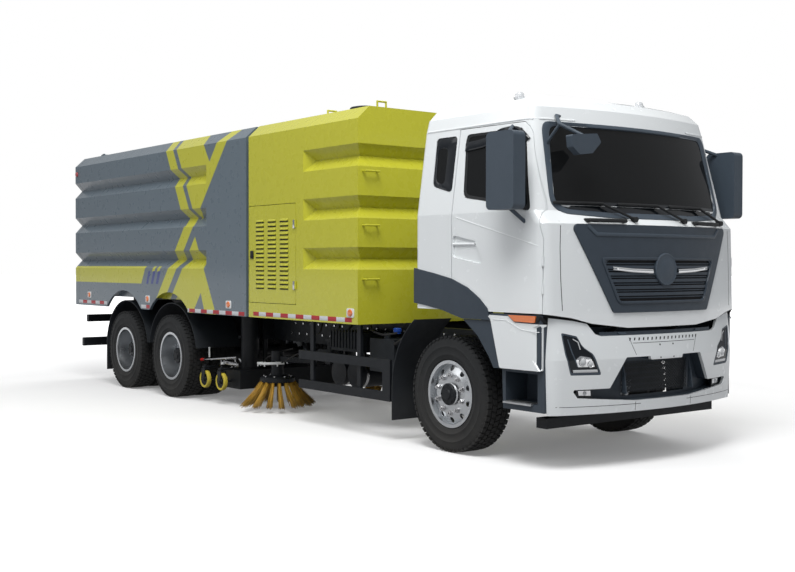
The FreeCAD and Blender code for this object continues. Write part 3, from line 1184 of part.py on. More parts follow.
def side_prism(outline, corner, wider=0):
    """Through both sides: an outline on the cab's right side, widened by a gap if asked."""
    wire = turned(rounded(outline, corner), "XZ", -D.cab_width)
    if wider:
        wire = wire.makeOffset2D(wider)
    return Part.Face(wire).extrude(V(0, D.cab_width, 0))


def door_outline(rear_gap=0):
    return on_side(DOOR_SHARES, D.door_rear - rear_gap, D.door_front, D.cab_bottom, GUTTER)


def screen_outline():
    """Windscreen hole seen from the front."""
    low = D.screen_bottom + D.screen_frame
    high = GUTTER - D.screen_frame
    head = D.screen_half - D.screen_taper
    return rounded([(-D.screen_half, low), (D.screen_half, low), (head, high), (-head, high)], D.screen_corner)


def both(shape):
    return [shape, shape.mirror(V(0, 0, 0), V(0, 1, 0))]


def apron():
    """Thin wall under the cab's front, cut along a foot line that rises to the sides."""
    def drawn(depth):
        wire = plan(D.valance_foot, AXLE_1 + D.cab_front - depth, D.cab_width / 2 - depth, AXLE_1 - D.cab_back,
                    D.cab_corner - depth, D.cab_rear_corner, D.cab_bow - depth)
        return Part.Face(wire).extrude(V(0, 0, D.cab_bottom - D.valance_foot))
    foot = [(D.cab_width / 2 * y, D.valance_foot + (D.cab_bottom - D.valance_foot) * z) for y, z in APRON_SHARES]
    keep = prism(straight([(-y, z) for y, z in reversed(foot)] + foot), "YZ", AXLE_1 + D.bumper_rear, FRONT)
    return solid("cab_apron", drawn(0).cut(drawn(D.valance)).common(keep))


def handle_recess():
    """Recess of the right door's handle and the bar across it."""
    start = D.door_rear + D.side_play * 2
    outline = on_side(HANDLE_SHARES, start, start + D.seat_width * 0.8, D.cab_belt - D.dash_height, D.cab_belt - D.seat_cushion / 2)
    skin = -D.cab_width / 2
    hollow = prism(rounded(outline, D.handle_bar), "XZ", skin - OVERRUN, skin + D.recess)
    (rear, top), (front, high) = outline[:2]
    bar = Part.makeCylinder(D.handle_bar / 2, front - rear, V(rear, skin + D.handle_bar / 2, (top + high) / 2 - D.handle_bar * 2),
                            V(1, 0, 0))
    return hollow, bar


def cab():
    outer = cab_form(0, D.cab_bottom)
    room = cab_form(D.cab_wall, D.cab_bottom + D.cab_wall)
    rear = AXLE_1 - D.cab_back
    cover = D.tunnel_half + D.cab_wall
    over_tunnel = Part.makeBox(D.tunnel_front + D.cab_wall + D.cab_back, 2 * cover, D.tunnel_top + D.cab_wall - D.cab_bottom,
                               V(rear, -cover, D.cab_bottom))
    tunnel = Part.makeBox(D.tunnel_front + D.cab_back + OVERRUN, 2 * D.tunnel_half, D.tunnel_top - D.cab_bottom + OVERRUN,
                          V(rear - OVERRUN, -D.tunnel_half, D.cab_bottom - OVERRUN))
    inner = cab_form(D.cab_wall, D.cab_bottom - OVERRUN)
    behind = cab_form(D.cab_wall + D.side_play, D.cab_bottom - OVERRUN)
    opening = side_prism(door_outline(D.door_rear_gap - D.door_gap), 0, D.door_gap).cut(behind)
    quarter_outline = on_side(QUARTER_SHARES, -D.cab_back, D.door_rear, D.cab_bottom, GUTTER)
    quarter = side_prism(quarter_outline, D.cab_corner / 3)
    screen = prism(screen_outline(), "YZ", AXLE_1 + D.cab_front / 2, FRONT)
    walls = outer.cut(room.cut(over_tunnel))
    post = AXLE_1 + D.door_front + D.door_gap
    ahead_of_post = Part.makeBox(D.cab_front, D.cab_width * 2, D.cab_top, V(post, -D.cab_width, 0))

    def turning(top):
        low = D.cab_bottom - OVERRUN
        circle = Part.makeCylinder(D.door_sweep, top - low, V(DOOR_HINGE_X, -DOOR_HINGE_Y, low))
        return both(circle.cut(ahead_of_post))
    walls = walls.cut([tunnel, screen] + both(opening) + both(quarter) + turning(D.cab_bottom + D.cab_wall + D.side_play))
    pieces = [solid("cab_walls", walls), apron()]
    eye = D.tilt_pin * 1.7
    thick = D.tilt_pin
    y = -FRAME_Y - D.side_play - thick
    x = AXLE_1 + D.tilt_x
    ear = cut("cab_ear", fuse("cab_ear_solid", [
        rod("cab_ear_eye", (x, y, D.tilt_z), (x, y + thick, D.tilt_z), eye),
        box("cab_ear_stem", (x - eye / 2, y, D.tilt_z), (eye, thick, "cab_bottom - tilt_z"))]),
        [rod("cab_ear_bore", (x, y - OVERRUN, D.tilt_z), (x, y + OVERRUN, D.tilt_z), "tilt_pin + 2 * play")])
    pieces += [ear, mirrored("cab_ear_left", ear)]
    hinge_y = DOOR_HINGE_Y
    leaves = []
    for number, z in enumerate(DOOR_LEAVES):
        leaves += [box(f"door_leaf_{number}", (AXLE_1 + D.door_front + D.play, -hinge_y, z),
                       ("2 * door_gap", "hinge_thick", "hinge_leaf")),
                   rod(f"door_barrel_{number}", (DOOR_HINGE_X, -hinge_y, z), (DOOR_HINGE_X, -hinge_y, z + D.hinge_leaf),
                       "2 * hinge_thick")]
    leaves = fuse("door_leaves_right", leaves)
    pieces += [leaves, mirrored("door_leaves_left", leaves)]
    node(fuse("cab_shell", pieces))

    skin = cab_form(D.glass_depth, D.cab_bottom - OVERRUN)
    back = cab_form(D.glass_depth + D.glass, D.cab_bottom - OVERRUN)
    layer = skin.cut(back)
    panes = [layer.common(screen)] + both(layer.common(quarter))
    node(solid("cab_glass", Part.makeCompound(panes)))

    window = side_prism(on_side(WINDOW_SHARES, D.door_rear, D.door_front, D.cab_bottom, GUTTER), D.cab_corner / 3)
    notches = [Part.makeCylinder(D.hinge_thick + D.side_play / 3, D.hinge_leaf + D.side_play,
                                 V(DOOR_HINGE_X, -DOOR_HINGE_Y, z - D.side_play / 2)) for z in DOOR_LEAVES]
    right_door = outer.cut(inner).common(side_prism(door_outline(), 0)).cut([window] + notches)
    hollow, bar = handle_recess()
    right_door = right_door.cut(hollow).fuse(bar)
    for label, shape in (("door", right_door), ("door_glass", layer.common(window))):
        for side, piece in zip(("right", "left"), both(shape)):
            node(solid(f"{label}_{side}", piece))

    dash_low = D.cab_belt - D.dash_height
    clear = cab_form(D.cab_wall + D.side_play * 2, D.cab_bottom + D.cab_wall)
    dash = clear.common(Part.makeBox(D.cab_front, D.cab_width, D.dash_height,
                                     V(AXLE_1 + D.dash_rear, -D.cab_width / 2, dash_low)))
    ahead = room.common(Part.makeBox(D.cab_front, D.cab_width, D.dash_height, V(post, -D.cab_width / 2, dash_low)))
    dash = solid("dash_panel", dash.cut(turning(D.cab_belt + OVERRUN)).fuse(ahead))
    hold = V(AXLE_1 + D.dash_rear - D.wheel_rim * 0.4, D.seat_y, D.cab_belt + D.wheel_grip * 2)
    lean = V(-1, 0, 1.6).normalize()
    rim = solid("steering_rim", Part.makeTorus(D.wheel_rim / 2, D.wheel_grip / 2, hold, lean))
    bar = D.wheel_rim - D.wheel_grip / 2
    spoke = solid("steering_spoke", Part.makeBox(D.wheel_grip, bar, D.wheel_grip, hold - V(0, bar / 2, D.wheel_grip / 2)))
    foot = hold - lean * D.dash_height + V(D.dash_height / 4, 0, 0)
    column = rod("steering_column", tuple(hold), tuple(foot), D.wheel_grip * 2)
    node(fuse("dashboard", [dash, rim, spoke, column]))
    return outer


def seats():
    floor = D.cab_bottom + D.cab_wall
    x = AXLE_1 + D.seat_x
    y = -D.seat_y - D.seat_width / 2
    top = floor + D.seat_height
    base = D.seat_width * 0.7
    stand = max(D.tunnel_half + D.cab_wall + D.side_play, D.seat_y - base / 2)
    pieces = [box("seat_stand", (x - base / 2, -stand - base, floor), (base, base, D.seat_height - D.seat_cushion)),
              box("seat_cushion_solid", (x - D.seat_length / 2, y, top - D.seat_cushion),
                  ("seat_length", "seat_width", "seat_cushion")),
              box("seat_back", (x - D.seat_length / 2 - D.seat_cushion, y, top - D.seat_cushion),
                  ("seat_cushion", "seat_width", "back_height + seat_cushion"))]
    right = fuse("seat_right", pieces)
    return node(group("seats", [right, mirrored("seat_left", right)]))


def grille(outer):
    """Front panel over the cab's skin, with its grille opening and bars."""
    grown = cab_form(-D.panel_thick, D.cab_bottom)
    layer = grown.cut(outer)
    edge = [(-D.panel_foot_half, D.cab_bottom + D.play), (D.panel_foot_half, D.cab_bottom + D.play),
            (D.panel_half, D.cab_belt), (-D.panel_half, D.cab_belt)]
    soft = D.cab_corner / 3
    panel = layer.common(prism(rounded(edge, soft), "YZ", AXLE_1 + D.belt_front / 2, FRONT))
    hole = [(-D.grille_foot_half, D.grille_foot), (D.grille_foot_half, D.grille_foot), (D.grille_half, D.grille_top),
            (-D.grille_half, D.grille_top)]
    bars = []
    count = int(D.grille_bars)
    pitch = (D.grille_top - D.grille_foot) / (count + 1)
    for number in range(count):
        z = D.grille_foot + pitch * (number + 1)
        bars.append(prism(rectangle(-D.grille_half, D.grille_half, z - D.grille_bar / 2, z + D.grille_bar / 2), "YZ",
                          AXLE_1 + D.belt_front / 2, FRONT))
    opening = prism(rounded(hole, soft), "YZ", AXLE_1 + D.belt_front / 2, FRONT).cut(bars)
    return node(solid("grille_panel", panel.cut(opening)))


TRIM_SHARES = ((0, 1), (0.281, 0.894), (0.512, 0.788), (0.712, 0.624), (0.865, 0.417), (0.963, 0.224), (1, 0),
               (0.652, 0), (0.396, 0.145), (0.131, 0.24), (0, 0.272))


def arch_trims(outer):
    """Dark trims over the front wheels, round the foot of each cab side."""
    low = D.cab_bottom - D.trim_thick * 2
    high = low + D.cab_width * 0.175
    outline = on_side(TRIM_SHARES, -D.cab_back, D.door_rear + D.seat_width, low, high)
    trim = prism(straight(outline), "XZ", -D.trim_out, D.trim_thick - D.trim_out).cut(outer)
    return node(solid("arch_trims", Part.makeCompound(both(trim))))


def mirrors(outer):
    """Door mirrors, each on an arm over the window and an arm under it."""
    x = AXLE_1 + D.mirror_x - D.mirror_width / 2
    low = D.mirror_z
    head = body("mirror_head")
    soft = D.mirror_thick / 3
    pad(head, "XZ", rounded([(x, low), (x + D.mirror_width, low), (x + D.mirror_width, low + D.mirror_height),
                             (x, low + D.mirror_height)], soft), -D.mirror_out, "mirror_thick")
    out = D.mirror_out - D.mirror_thick / 2
    stem = D.mirror_thick / 4
    root = D.cab_width / 2 - D.cab_lean - D.cab_wall / 2
    upper = (AXLE_1 + D.mirror_x - D.mirror_width * 0.75, -root, GUTTER - D.mirror_thick / 4)
    lower = (AXLE_1 + D.mirror_x + D.mirror_width / 8, -root, D.cab_belt - D.mirror_thick / 2)
    pieces = [head, rod("mirror_arm_upper", upper, (x + D.mirror_width / 2, -out, low + D.mirror_height - soft), stem),
              rod("mirror_arm_lower", lower, (x + D.mirror_width / 2, -out, low + soft), stem)]
    right = cut("mirror_right", fuse("mirror_solid", pieces), [solid("mirror_seat", outer)])
    node(right)
    return node(mirrored("mirror_left", right))


def front_x(y, z):
    """Place of the cab's bowed skin along the vehicle."""
    rows = [(D.cab_belt, D.belt_front), (D.screen_bottom, D.screen_front), (GUTTER, D.gutter_front)]
    low, high = rows[:2] if z < D.screen_bottom else rows[1:]
    front = low[1] + (high[1] - low[1]) * (z - low[0]) / (high[0] - low[0])
    return AXLE_1 + front - y ** 2 / (2 * D.cab_bow)


BALL_SHARE = 1.05


def tube(start, end, diameter):
    """A round bar with a ball at its end, so that bars in a row join smoothly."""
    start = V(*start)
    end = V(*end)
    bar = Part.makeCylinder(diameter / 2, (end - start).Length, start, end - start)
    return bar.fuse(Part.makeSphere(diameter / 2 * BALL_SHARE, end))


def route(points, diameter):
    bars = [tube(*pair, diameter) for pair in zip(points, points[1:])]
    return bars[0].fuse(bars[1:])


def grab_handles(outer):
    """Dark grips under the windscreen, on two feet each."""
    z = D.grip_z
    span = [D.grip_in, (D.grip_in + D.grip_out) / 2, D.grip_out]
    points = [(front_x(y, z) + D.grip_rise, -y, z) for y in span]
    first = (points[0][0] - D.grip_rise * 2, points[0][1], z)
    last = (points[-1][0] - D.grip_rise * 2, points[-1][1], z)
    grip = route([first] + points + [last], D.grip_bar).cut(outer)
    grip = Part.makeCompound([piece for piece in grip.Solids if piece.BoundBox.XMax > points[-1][0]])
    return node(solid("grab_handles", Part.makeCompound(both(grip))))


def wipers(outer):
    """Three wipers, parked along the windscreen's foot."""
    pieces = []
    elbow_z = D.wiper_z + D.wiper_rise
    lift = D.wiper_pivot / 2 + D.wiper_arm / 2
    for number in range(3):
        y = D.wiper_first + number * D.wiper_pitch
        elbow = y - D.wiper_elbow
        tip = elbow - D.wiper_length
        cap = Part.makeCylinder(D.wiper_pivot / 2, D.wiper_pivot * 2,
                                V(front_x(y, D.wiper_z) - D.wiper_pivot, y, D.wiper_z), V(1, 0, 0))
        arm = route([(front_x(y, D.wiper_z) + lift, y, D.wiper_z), (front_x(elbow, elbow_z) + lift, elbow, elbow_z),
                     (front_x((elbow + tip) / 2, elbow_z) + lift / 2, (elbow + tip) / 2, elbow_z)], D.wiper_arm)
        blade = tube((front_x(elbow + D.wiper_arm, elbow_z) + D.wiper_blade, elbow + D.wiper_arm, elbow_z),
                     (front_x(tip, elbow_z) + D.wiper_blade, tip, elbow_z), D.wiper_blade * 2)
        wiper = cap.fuse([arm, blade]).cut(outer)
        pieces.append(max(wiper.Solids, key=lambda piece: piece.Volume))
    return node(solid("wipers", Part.makeCompound(pieces)))


LENS_SHARES = ((-0.5, 0.35), (0.36, 0.5), (0.5, 0.12), (0.2, -0.4), (-0.22, -0.5), (-0.46, -0.2))


def front_mirror(outer):
    """Mirror in front of the windscreen's right corner, on a bent arm and a strut."""
    x = AXLE_1 + D.lens_x
    y = -D.lens_y
    outline = [(y + D.lens_width * across_share, D.lens_z + D.lens_height * up_share) for across_share, up_share in LENS_SHARES]
    head = prism(rounded(outline, D.lens_tube / 2), "YZ", x - D.lens_thick / 2, x + D.lens_thick / 2)
    out = y - D.lens_width / 2
    crown = GUTTER + D.lens_thick / 2
    bracket = front_x(y, GUTTER)
    arm = route([(bracket - D.lens_thick, y + D.lens_width * 0.7, crown), (bracket, y, crown),
                 (bracket + D.lens_thick * 2, out + D.lens_tube * 2, crown - D.lens_height / 2),
                 (x, y, D.lens_z + D.lens_tube * 2), (x, y, D.lens_z)], D.lens_tube)
    root = (front_x(out, D.lens_z) - D.lens_thick * 2, out + D.lens_tube, D.lens_z - D.lens_height * 0.7)
    strut = tube(root, (bracket + D.lens_thick * 2, out + D.lens_tube * 2, crown - D.lens_height / 2), D.lens_tube * 0.8)
    whole = head.fuse([arm, strut]).cut(outer)
    return node(solid("front_mirror", max(whole.Solids, key=lambda piece: piece.Volume)))


# Bumper, lamps, lower beam and step wells
def bumper_form(depth, low, high):
    half = D.step_out - depth
    rows = [(low, D.bumper_foot_front), (D.bumper_nose_z, D.front_overhang), (high, D.bumper_head_front)]
    rear = AXLE_1 + D.bumper_rear - D.bumper_corner * 2
    wires = [plan(z, AXLE_1 + front - depth, half, rear, D.bumper_corner - depth, D.bumper_wall, D.bumper_bow - depth)
             for z, front in rows]
    ahead = Part.makeBox(D.front_overhang, D.body_width, high - low + OVERRUN * 2,
                         V(AXLE_1 + D.bumper_rear, -HALF, low - OVERRUN))
    return Part.makeLoft(wires, True, True).common(ahead)


LAMP_SHARES = ((1, 1), (0.612, 0.911), (0.483, 0.665), (0.228, 0.496), (0, 0), (0.8, 0.014), (0.938, 0.501))
EAR_SHARES = ((0.59, 0), (0.637, 0.108), (0.695, 0.65), (0.797, 0.81), (0.957, 0.97), (1.01, 1))


def bumper_outline():
    """Front view of the bumper: low in the middle, raised to the cab at its sides."""
    rise = D.bumper_ear - D.bumper_middle
    right = [(D.step_out * y, D.bumper_middle + rise * z) for y, z in EAR_SHARES]
    foot = [(D.step_out + OVERRUN, D.bumper_ear), (D.step_out + OVERRUN, D.bumper_bottom - OVERRUN)]
    half = right + foot
    return straight([(-y, z) for y, z in reversed(half)] + half)


def lower_outline():
    """Front view of the lower opening, with the fog lamps' recesses and the tab over its middle."""
    right = [(D.mesh_foot_half, D.mesh_foot), (D.fog_foot_half, D.fog_foot), (D.fog_half, D.mesh_knee),
             (D.mesh_knee_half, D.mesh_knee), (D.mesh_half, D.mesh_top), (D.tab_half, D.mesh_top),
             (D.tab_half, D.mesh_top - D.tab_height)]
    return rounded([(-y, z) for y, z in reversed(right)] + right, D.mesh_corner)


def lower_tray(opening):
    """Tray behind the lower opening, slotted at its back."""
    start = AXLE_1 + D.bumper_rear
    reach = V(FRONT - start, 0, 0)

    def form(depth):
        return bumper_form(depth, D.bumper_bottom - OVERRUN, D.bumper_ear + OVERRUN)
    back = form(D.bumper_wall + D.mesh_depth)
    limit = form(D.bumper_wall + D.play).cut(form(D.bumper_wall + D.mesh_depth + D.mesh_wall))
    wire = turned(opening, "YZ", start)
    tray = Part.Face(wire.makeOffset2D(D.mesh_wall)).extrude(reach).common(limit)
    tray = tray.cut(Part.Face(wire).extrude(reach).cut(back))
    count = int(D.mesh_slots)
    high = D.mesh_top - D.tab_height
    pitch = (high - D.mesh_foot) / (count + 1)
    slots = []
    for number in range(count):
        z = D.mesh_foot + pitch * (number + 1)
        slots.append(prism(rectangle(-D.mesh_half * 0.85, D.mesh_half * 0.85, z - pitch / 3, z + pitch / 3), "YZ",
                           start, FRONT))
    return tray.cut(slots)


def bumper():
    outer = bumper_form(0, D.bumper_bottom, D.bumper_ear)
    inner = bumper_form(D.bumper_wall, D.bumper_bottom - OVERRUN, D.bumper_ear + OVERRUN)
    start = AXLE_1 + D.bumper_rear
    end = FRONT + OVERRUN
    opening = lower_outline()
    points = [(-D.lamp_in - (D.lamp_out - D.lamp_in) * y, D.lamp_foot + (D.lamp_top - D.lamp_foot) * z)
              for y, z in LAMP_SHARES]
    lamp = prism(rounded(points, D.lamp_corner), "YZ", start, end)
    shell = outer.cut(inner).common(prism(bumper_outline(), "YZ", start, end))
    node(solid("bumper", shell.cut([prism(opening, "YZ", start, end)] + both(lamp))))
    lens = bumper_form(D.glass_depth / 2, D.bumper_bottom, D.bumper_ear).cut(inner).common(lamp)
    fog_edge = -D.fog_foot_half + D.mesh_corner
    fog = prism(rectangle(fog_edge, fog_edge + D.fog_lamp, D.mesh_foot, D.mesh_knee), "YZ", start, end)
    deep = bumper_form(D.bumper_wall * 1.2, D.bumper_bottom, D.bumper_ear)
    fog = deep.cut(bumper_form(D.bumper_wall * 2, D.bumper_bottom - OVERRUN, D.bumper_ear + OVERRUN)).common(fog)
    fog = fog.common(prism(opening, "YZ", start, end))
    node(solid("headlamps", Part.makeCompound(both(lens) + both(fog))))
    slot = bumper_form(D.bumper_wall - D.glass_depth, D.bumper_bottom, D.bumper_ear).cut(inner)
    gap = (D.valance_foot - D.bumper_middle) / 2
    slot = slot.common(Part.makeBox(D.front_overhang, D.step_out * EAR_SHARES[0][0] * 2, gap,
                                    V(start, -D.step_out * EAR_SHARES[0][0], D.bumper_middle)))
    node(solid("lower_grille", Part.makeCompound([lower_tray(opening), slot])))
    rear = RAIL_FRONT - D.beam_thick
    beam = box("beam_bar", (rear, -D.beam_half, D.beam_bottom), ("2 * beam_thick", "2 * beam_half", "beam_height"))
    arm = Part.makeBox(FRONT - RAIL_FRONT, D.rail_flange, D.rail_flange,
                       V(RAIL_FRONT, -FRAME_Y, FRAME_BOTTOM + D.rail_flange * 2 + D.side_play))
    arm = arm.common(bumper_form(D.bumper_wall + D.play, D.bumper_bottom, D.bumper_ear))
    right = [box("beam_drop", (rear, -FRAME_Y, D.beam_bottom), ("beam_thick", "rail_flange", FRAME_BOTTOM - D.beam_bottom)),
             solid("bumper_arm", arm)]
    side = fuse("beam_right", right)
    return node(fuse("under_beam", [beam, side, mirrored("beam_left", side)]))


FIN_SHARES = ((0, 1), (0.409, 0.658), (0.708, 0.235), (0.838, 0), (1, 0), (0.9, 0.635), (0.77, 1))


def step_boxes():
    """Step wells behind the bumper, with the panel over them and the trim's lower end."""
    rear = AXLE_1 + D.step_rear
    front = AXLE_1 + D.bumper_rear
    inner = D.step_out - D.step_depth
    top = D.bumper_top
    thick = D.bumper_wall / 2
    well = body("step_well")
    pad(well, "XZ", straight([(rear, D.step_bottom), (front, D.step_bottom), (front, top), (rear - thick * 2, top),
                              (rear - thick, D.panel_low)]), -D.step_out + thick, D.step_depth - thick)
    low = D.step_bottom + thick * 4
    pocket(well, "XZ", rectangle(rear + thick * 2, front - thick * 5, low, low + D.step_height), -D.step_out + thick - OVERRUN,
           OVERRUN + D.step_depth * 0.75)
    panel = body("step_panel")
    head = D.cab_bottom - D.door_gap * 2
    pad(panel, "XZ", straight([(rear - thick, D.panel_low), (front - thick, D.panel_low), (front - thick, head),
                               (rear - thick * 8.5, head)]), -D.step_out - thick, thick * 2)
    fin = body("trim_fin")
    top = D.cab_bottom - D.trim_thick * 2 - D.side_play
    points = on_side(FIN_SHARES, D.fin_rear, D.step_rear - thick, D.panel_low, top)
    pad(fin, "XZ", straight(points), -D.step_out - thick, thick * 2)
    hold = box("step_bracket", (rear + D.beam_thick, -inner - thick, FRAME_BOTTOM + D.rail_flange),
               ("beam_thick", inner + thick - FRAME_Y, "beam_thick"))
    right = fuse("step_box_right", [well, panel, fin, hold])
    return node(group("step_boxes", [right, mirrored("step_box_left", right)]))


# Side brooms
ARM_LENGTH = math.hypot(D.broom_x - D.post_x, D.broom_y - D.post_y)
ARM_ANGLE = 180 + math.degrees(math.atan2(D.broom_y - D.post_y, D.broom_x - D.post_x))
ARM_Z = (POST_LOW + POST_HIGH) / 2
HINGE_REACH = D.broom_post * 2


def at_post(shape):
    """From a drawing along the X axis to the right arm's place and direction."""
    shape.rotate(V(0, 0, 0), V(0, 0, 1), ARM_ANGLE)
    shape.translate(V(POST_X, -D.post_y, 0))
    return shape


def upright(radius, x, low, high):
    return Part.makeCylinder(radius, high - low, V(x, 0, low))


def across(radius, x, z, half):
    return Part.makeCylinder(radius, half * 2, V(x, -half, z), V(0, 1, 0))


def block(x, end, half, low, high):
    return Part.makeBox(end - x, half * 2, high - low, V(x, -half, low))


def brooms():
    lip = D.broom_post / 2
    sleeve = D.broom_post * 0.75
    low = POST_LOW + lip + D.side_play
    high = POST_HIGH - lip - D.side_play
    eye = D.broom_hinge
    arm_half = D.broom_arm / 2
    ear = D.broom_hinge / 2
    inner = arm_half + D.side_play
    outer = inner + ear
    post = upright(sleeve, 0, low, high).fuse(block(0, HINGE_REACH, outer, ARM_Z - eye, ARM_Z + eye))
    post = post.fuse(across(eye, HINGE_REACH, ARM_Z, outer))
    post = post.cut(block(sleeve + D.side_play, HINGE_REACH + eye * 2, inner, ARM_Z - eye * 2, ARM_Z + eye * 2))
    post = post.cut(upright(D.broom_post / 2 + D.play, 0, low - OVERRUN, high + OVERRUN))
    post = post.fuse(across(ear, HINGE_REACH, ARM_Z, outer))
    post = solid("broom_post_right", at_post(post))
    disc_top = D.broom_plate + D.broom_plate_thick
    motor_low = disc_top + D.side_play
    drop = HINGE_REACH + D.broom_arm * 2
    arm_low = D.broom_top - D.broom_arm
    arm = across(eye, HINGE_REACH, ARM_Z, arm_half)
    slope = [(HINGE_REACH, ARM_Z - eye), (HINGE_REACH, ARM_Z + eye), (HINGE_REACH + arm_half, ARM_Z + eye),
             (drop + arm_half, D.broom_top), (ARM_LENGTH, D.broom_top), (ARM_LENGTH, arm_low), (drop, arm_low)]
    arm = arm.fuse(prism(straight(slope), "XZ", -arm_half, arm_half))
    arm = arm.fuse(upright(D.broom_motor / 2, ARM_LENGTH, motor_low, D.broom_top + D.broom_arm))
    shaft = D.broom_motor / 5
    arm = arm.cut(across(ear + D.play, HINGE_REACH, ARM_Z, outer))
    arm = arm.cut(upright(shaft + D.play, ARM_LENGTH, motor_low - OVERRUN, D.broom_top))
    arm = solid("broom_arm_right", at_post(arm))
    disc = upright(D.broom_disc, 0, D.broom_plate, disc_top)
    disc = disc.fuse(upright(shaft, 0, D.broom_plate, D.broom_top - D.side_play))
    root_share = 0.86
    root = D.broom_disc * root_share
    reach = D.broom_radius - D.bunch_tip / 2 - root
    fall = disc_top - D.broom_plate_thick / 2 - D.broom_clearance
    aim = V(reach, 0, -fall)
    bunch = Part.makeCone(D.bunch_root / 2, D.bunch_tip / 2, aim.Length + D.bunch_tip / 2,
                          V(root, 0, disc_top - D.broom_plate_thick / 2), aim)
    slab = Part.makeBox(D.broom_radius * 4, D.broom_radius * 4, fall + D.broom_plate_thick / 2,
                        V(-D.broom_radius * 2, -D.broom_radius * 2, D.broom_clearance))
    bunch = bunch.common(slab)
    count = int(D.bristle_bunches)
    ring = []
    for number in range(count):
        copy = bunch.copy()
        copy.rotate(V(0, 0, 0), V(0, 0, 1), 360 * number / count)
        ring.append(copy)
    broom = solid("broom_right", disc.fuse(ring))
    put(broom, BROOM_X, -D.broom_y, 0)
    for piece in (post, arm, broom):
        node(piece)
        node(mirrored(piece.Label.replace("right", "left"), piece))


# Suction nozzle with its wheels
def nozzle():
    rear = NOZZLE_X - D.nozzle_length / 2
    half = D.nozzle_width / 2
    wall = D.nozzle_wall
    top = D.nozzle_bottom + D.nozzle_height
    outer = box("nozzle_outer", (rear, -half, D.nozzle_bottom), ("nozzle_length", "nozzle_width", "nozzle_height"))
    room = box("nozzle_room", (rear + wall, wall - half, D.nozzle_bottom - OVERRUN),
               ("nozzle_length - 2 * nozzle_wall", "nozzle_width - 2 * nozzle_wall", D.nozzle_height - wall + OVERRUN))
    pieces = [outer]
    tools = [room]
    wheel_z = D.nozzle_bottom + D.caster_diameter / 2 - wall - D.side_play * 0.6
    front_x = NOZZLE_X + wall
    rear_x = front_x - D.caster_spacing
    arm = D.caster_pin * 2.4
    for number, side in enumerate((-1, 1)):
        y = side * D.duct_y
        pieces.append(rod(f"duct_{number}", (NOZZLE_X, y, top - wall), (NOZZLE_X, y, D.duct_top), "duct_diameter"))
        tools.append(rod(f"duct_bore_{number}", (NOZZLE_X, y, D.nozzle_bottom), (NOZZLE_X, y, D.duct_top + wall),
                         "duct_diameter - nozzle_wall"))
        pieces.append(rod(f"guide_rod_{number}", (NOZZLE_X, side * D.guide_y, top - wall),
                          (NOZZLE_X, side * D.guide_y, D.duct_top), "guide_rod"))
        plate = half - wall if side > 0 else -half
        pieces.append(box(f"wheel_arm_{number}", (rear_x - arm / 2, plate, wheel_z - arm / 2), (rear - rear_x + arm, wall, arm)))
    for number, x in enumerate((rear_x, front_x)):
        tools.append(rod(f"axle_bore_{number}", (x, -half - wall, wheel_z), (x, half + wall, wheel_z),
                         "caster_pin + 2 * play"))
    node(cut("suction_nozzle", fuse("nozzle_solid", pieces), tools))
    outside = D.caster_y + D.caster_width / 2
    for label, x in (("nozzle_wheels_rear", rear_x), ("nozzle_wheels_front", front_x)):
        shaft = rod(label + "_shaft", (x, -outside, wheel_z), (x, outside, wheel_z), "caster_pin")
        rolls = [rod(f"{label}_{side > 0:d}", (x, side * D.caster_y - D.caster_width / 2, wheel_z),
                     (x, side * D.caster_y + D.caster_width / 2, wheel_z), "caster_diameter") for side in (-1, 1)]
        node(fuse(label, [shaft] + rolls))


# Lift cylinders: barrel on the frame's pin, rod up to the hopper's ears
def lift():
    base = V(REAR + D.lift_base_x, 0, D.lift_base_z)
    eye = V(REAR + D.lift_eye_x, 0, D.lift_eye_z)
    length = (eye - base).Length
    along = (eye - base).normalize()
    neck = length - D.lift_bore * 1.6
    grip = D.lift_bore
    half = D.lift_eye / 2
    y = V(0, -D.lift_y, 0)
    start = base + y
    cross = V(0, half, 0)
    barrel = Part.makeCylinder(D.lift_bore / 2, neck, start, along)
    barrel = barrel.fuse(Part.makeCylinder(D.lift_bore / 2, D.lift_eye, start - cross, V(0, 1, 0)))
    hollow = neck - D.lift_stroke - grip * 2
    barrel = barrel.cut(Part.makeCylinder(D.lift_rod / 2 + D.play, neck, start + along * hollow, along))
    barrel = barrel.cut(Part.makeCylinder(D.lift_rod / 2 + D.play, D.lift_bore * 2, start - V(0, D.lift_bore, 0), V(0, 1, 0)))
    node(solid("lift_barrels", Part.makeCompound(both(barrel))))
    inner = hollow + D.side_play
    bar = Part.makeCylinder(D.lift_rod / 2, length - inner, start + along * inner, along)
    bar = bar.fuse(Part.makeCylinder(D.lift_rod * 0.6, D.lift_eye, eye + y - cross, V(0, 1, 0)))
    bar = bar.cut(Part.makeCylinder(D.lift_rod * 0.3, D.lift_bore, eye + y - cross * 1.2, V(0, 1, 0)))
    node(solid("lift_rods", Part.makeCompound(both(bar))))


chassis_frame()
engine_block()
axles()
wheels()
node(mirrored("knuckle_left", knuckle()))
hopper()
tailgate()
engine_box()
auxiliary_engine()
louvre_door()
mudguards()
side_guards()
rear_bars()
tanks_and_boxes()
CAB_OUTSIDE = cab()
seats()
grille(CAB_OUTSIDE)
arch_trims(CAB_OUTSIDE)
mirrors(CAB_OUTSIDE)
grab_handles(CAB_OUTSIDE)
wipers(CAB_OUTSIDE)
front_mirror(CAB_OUTSIDE)
bumper()
step_boxes()
brooms()
nozzle()
lift()

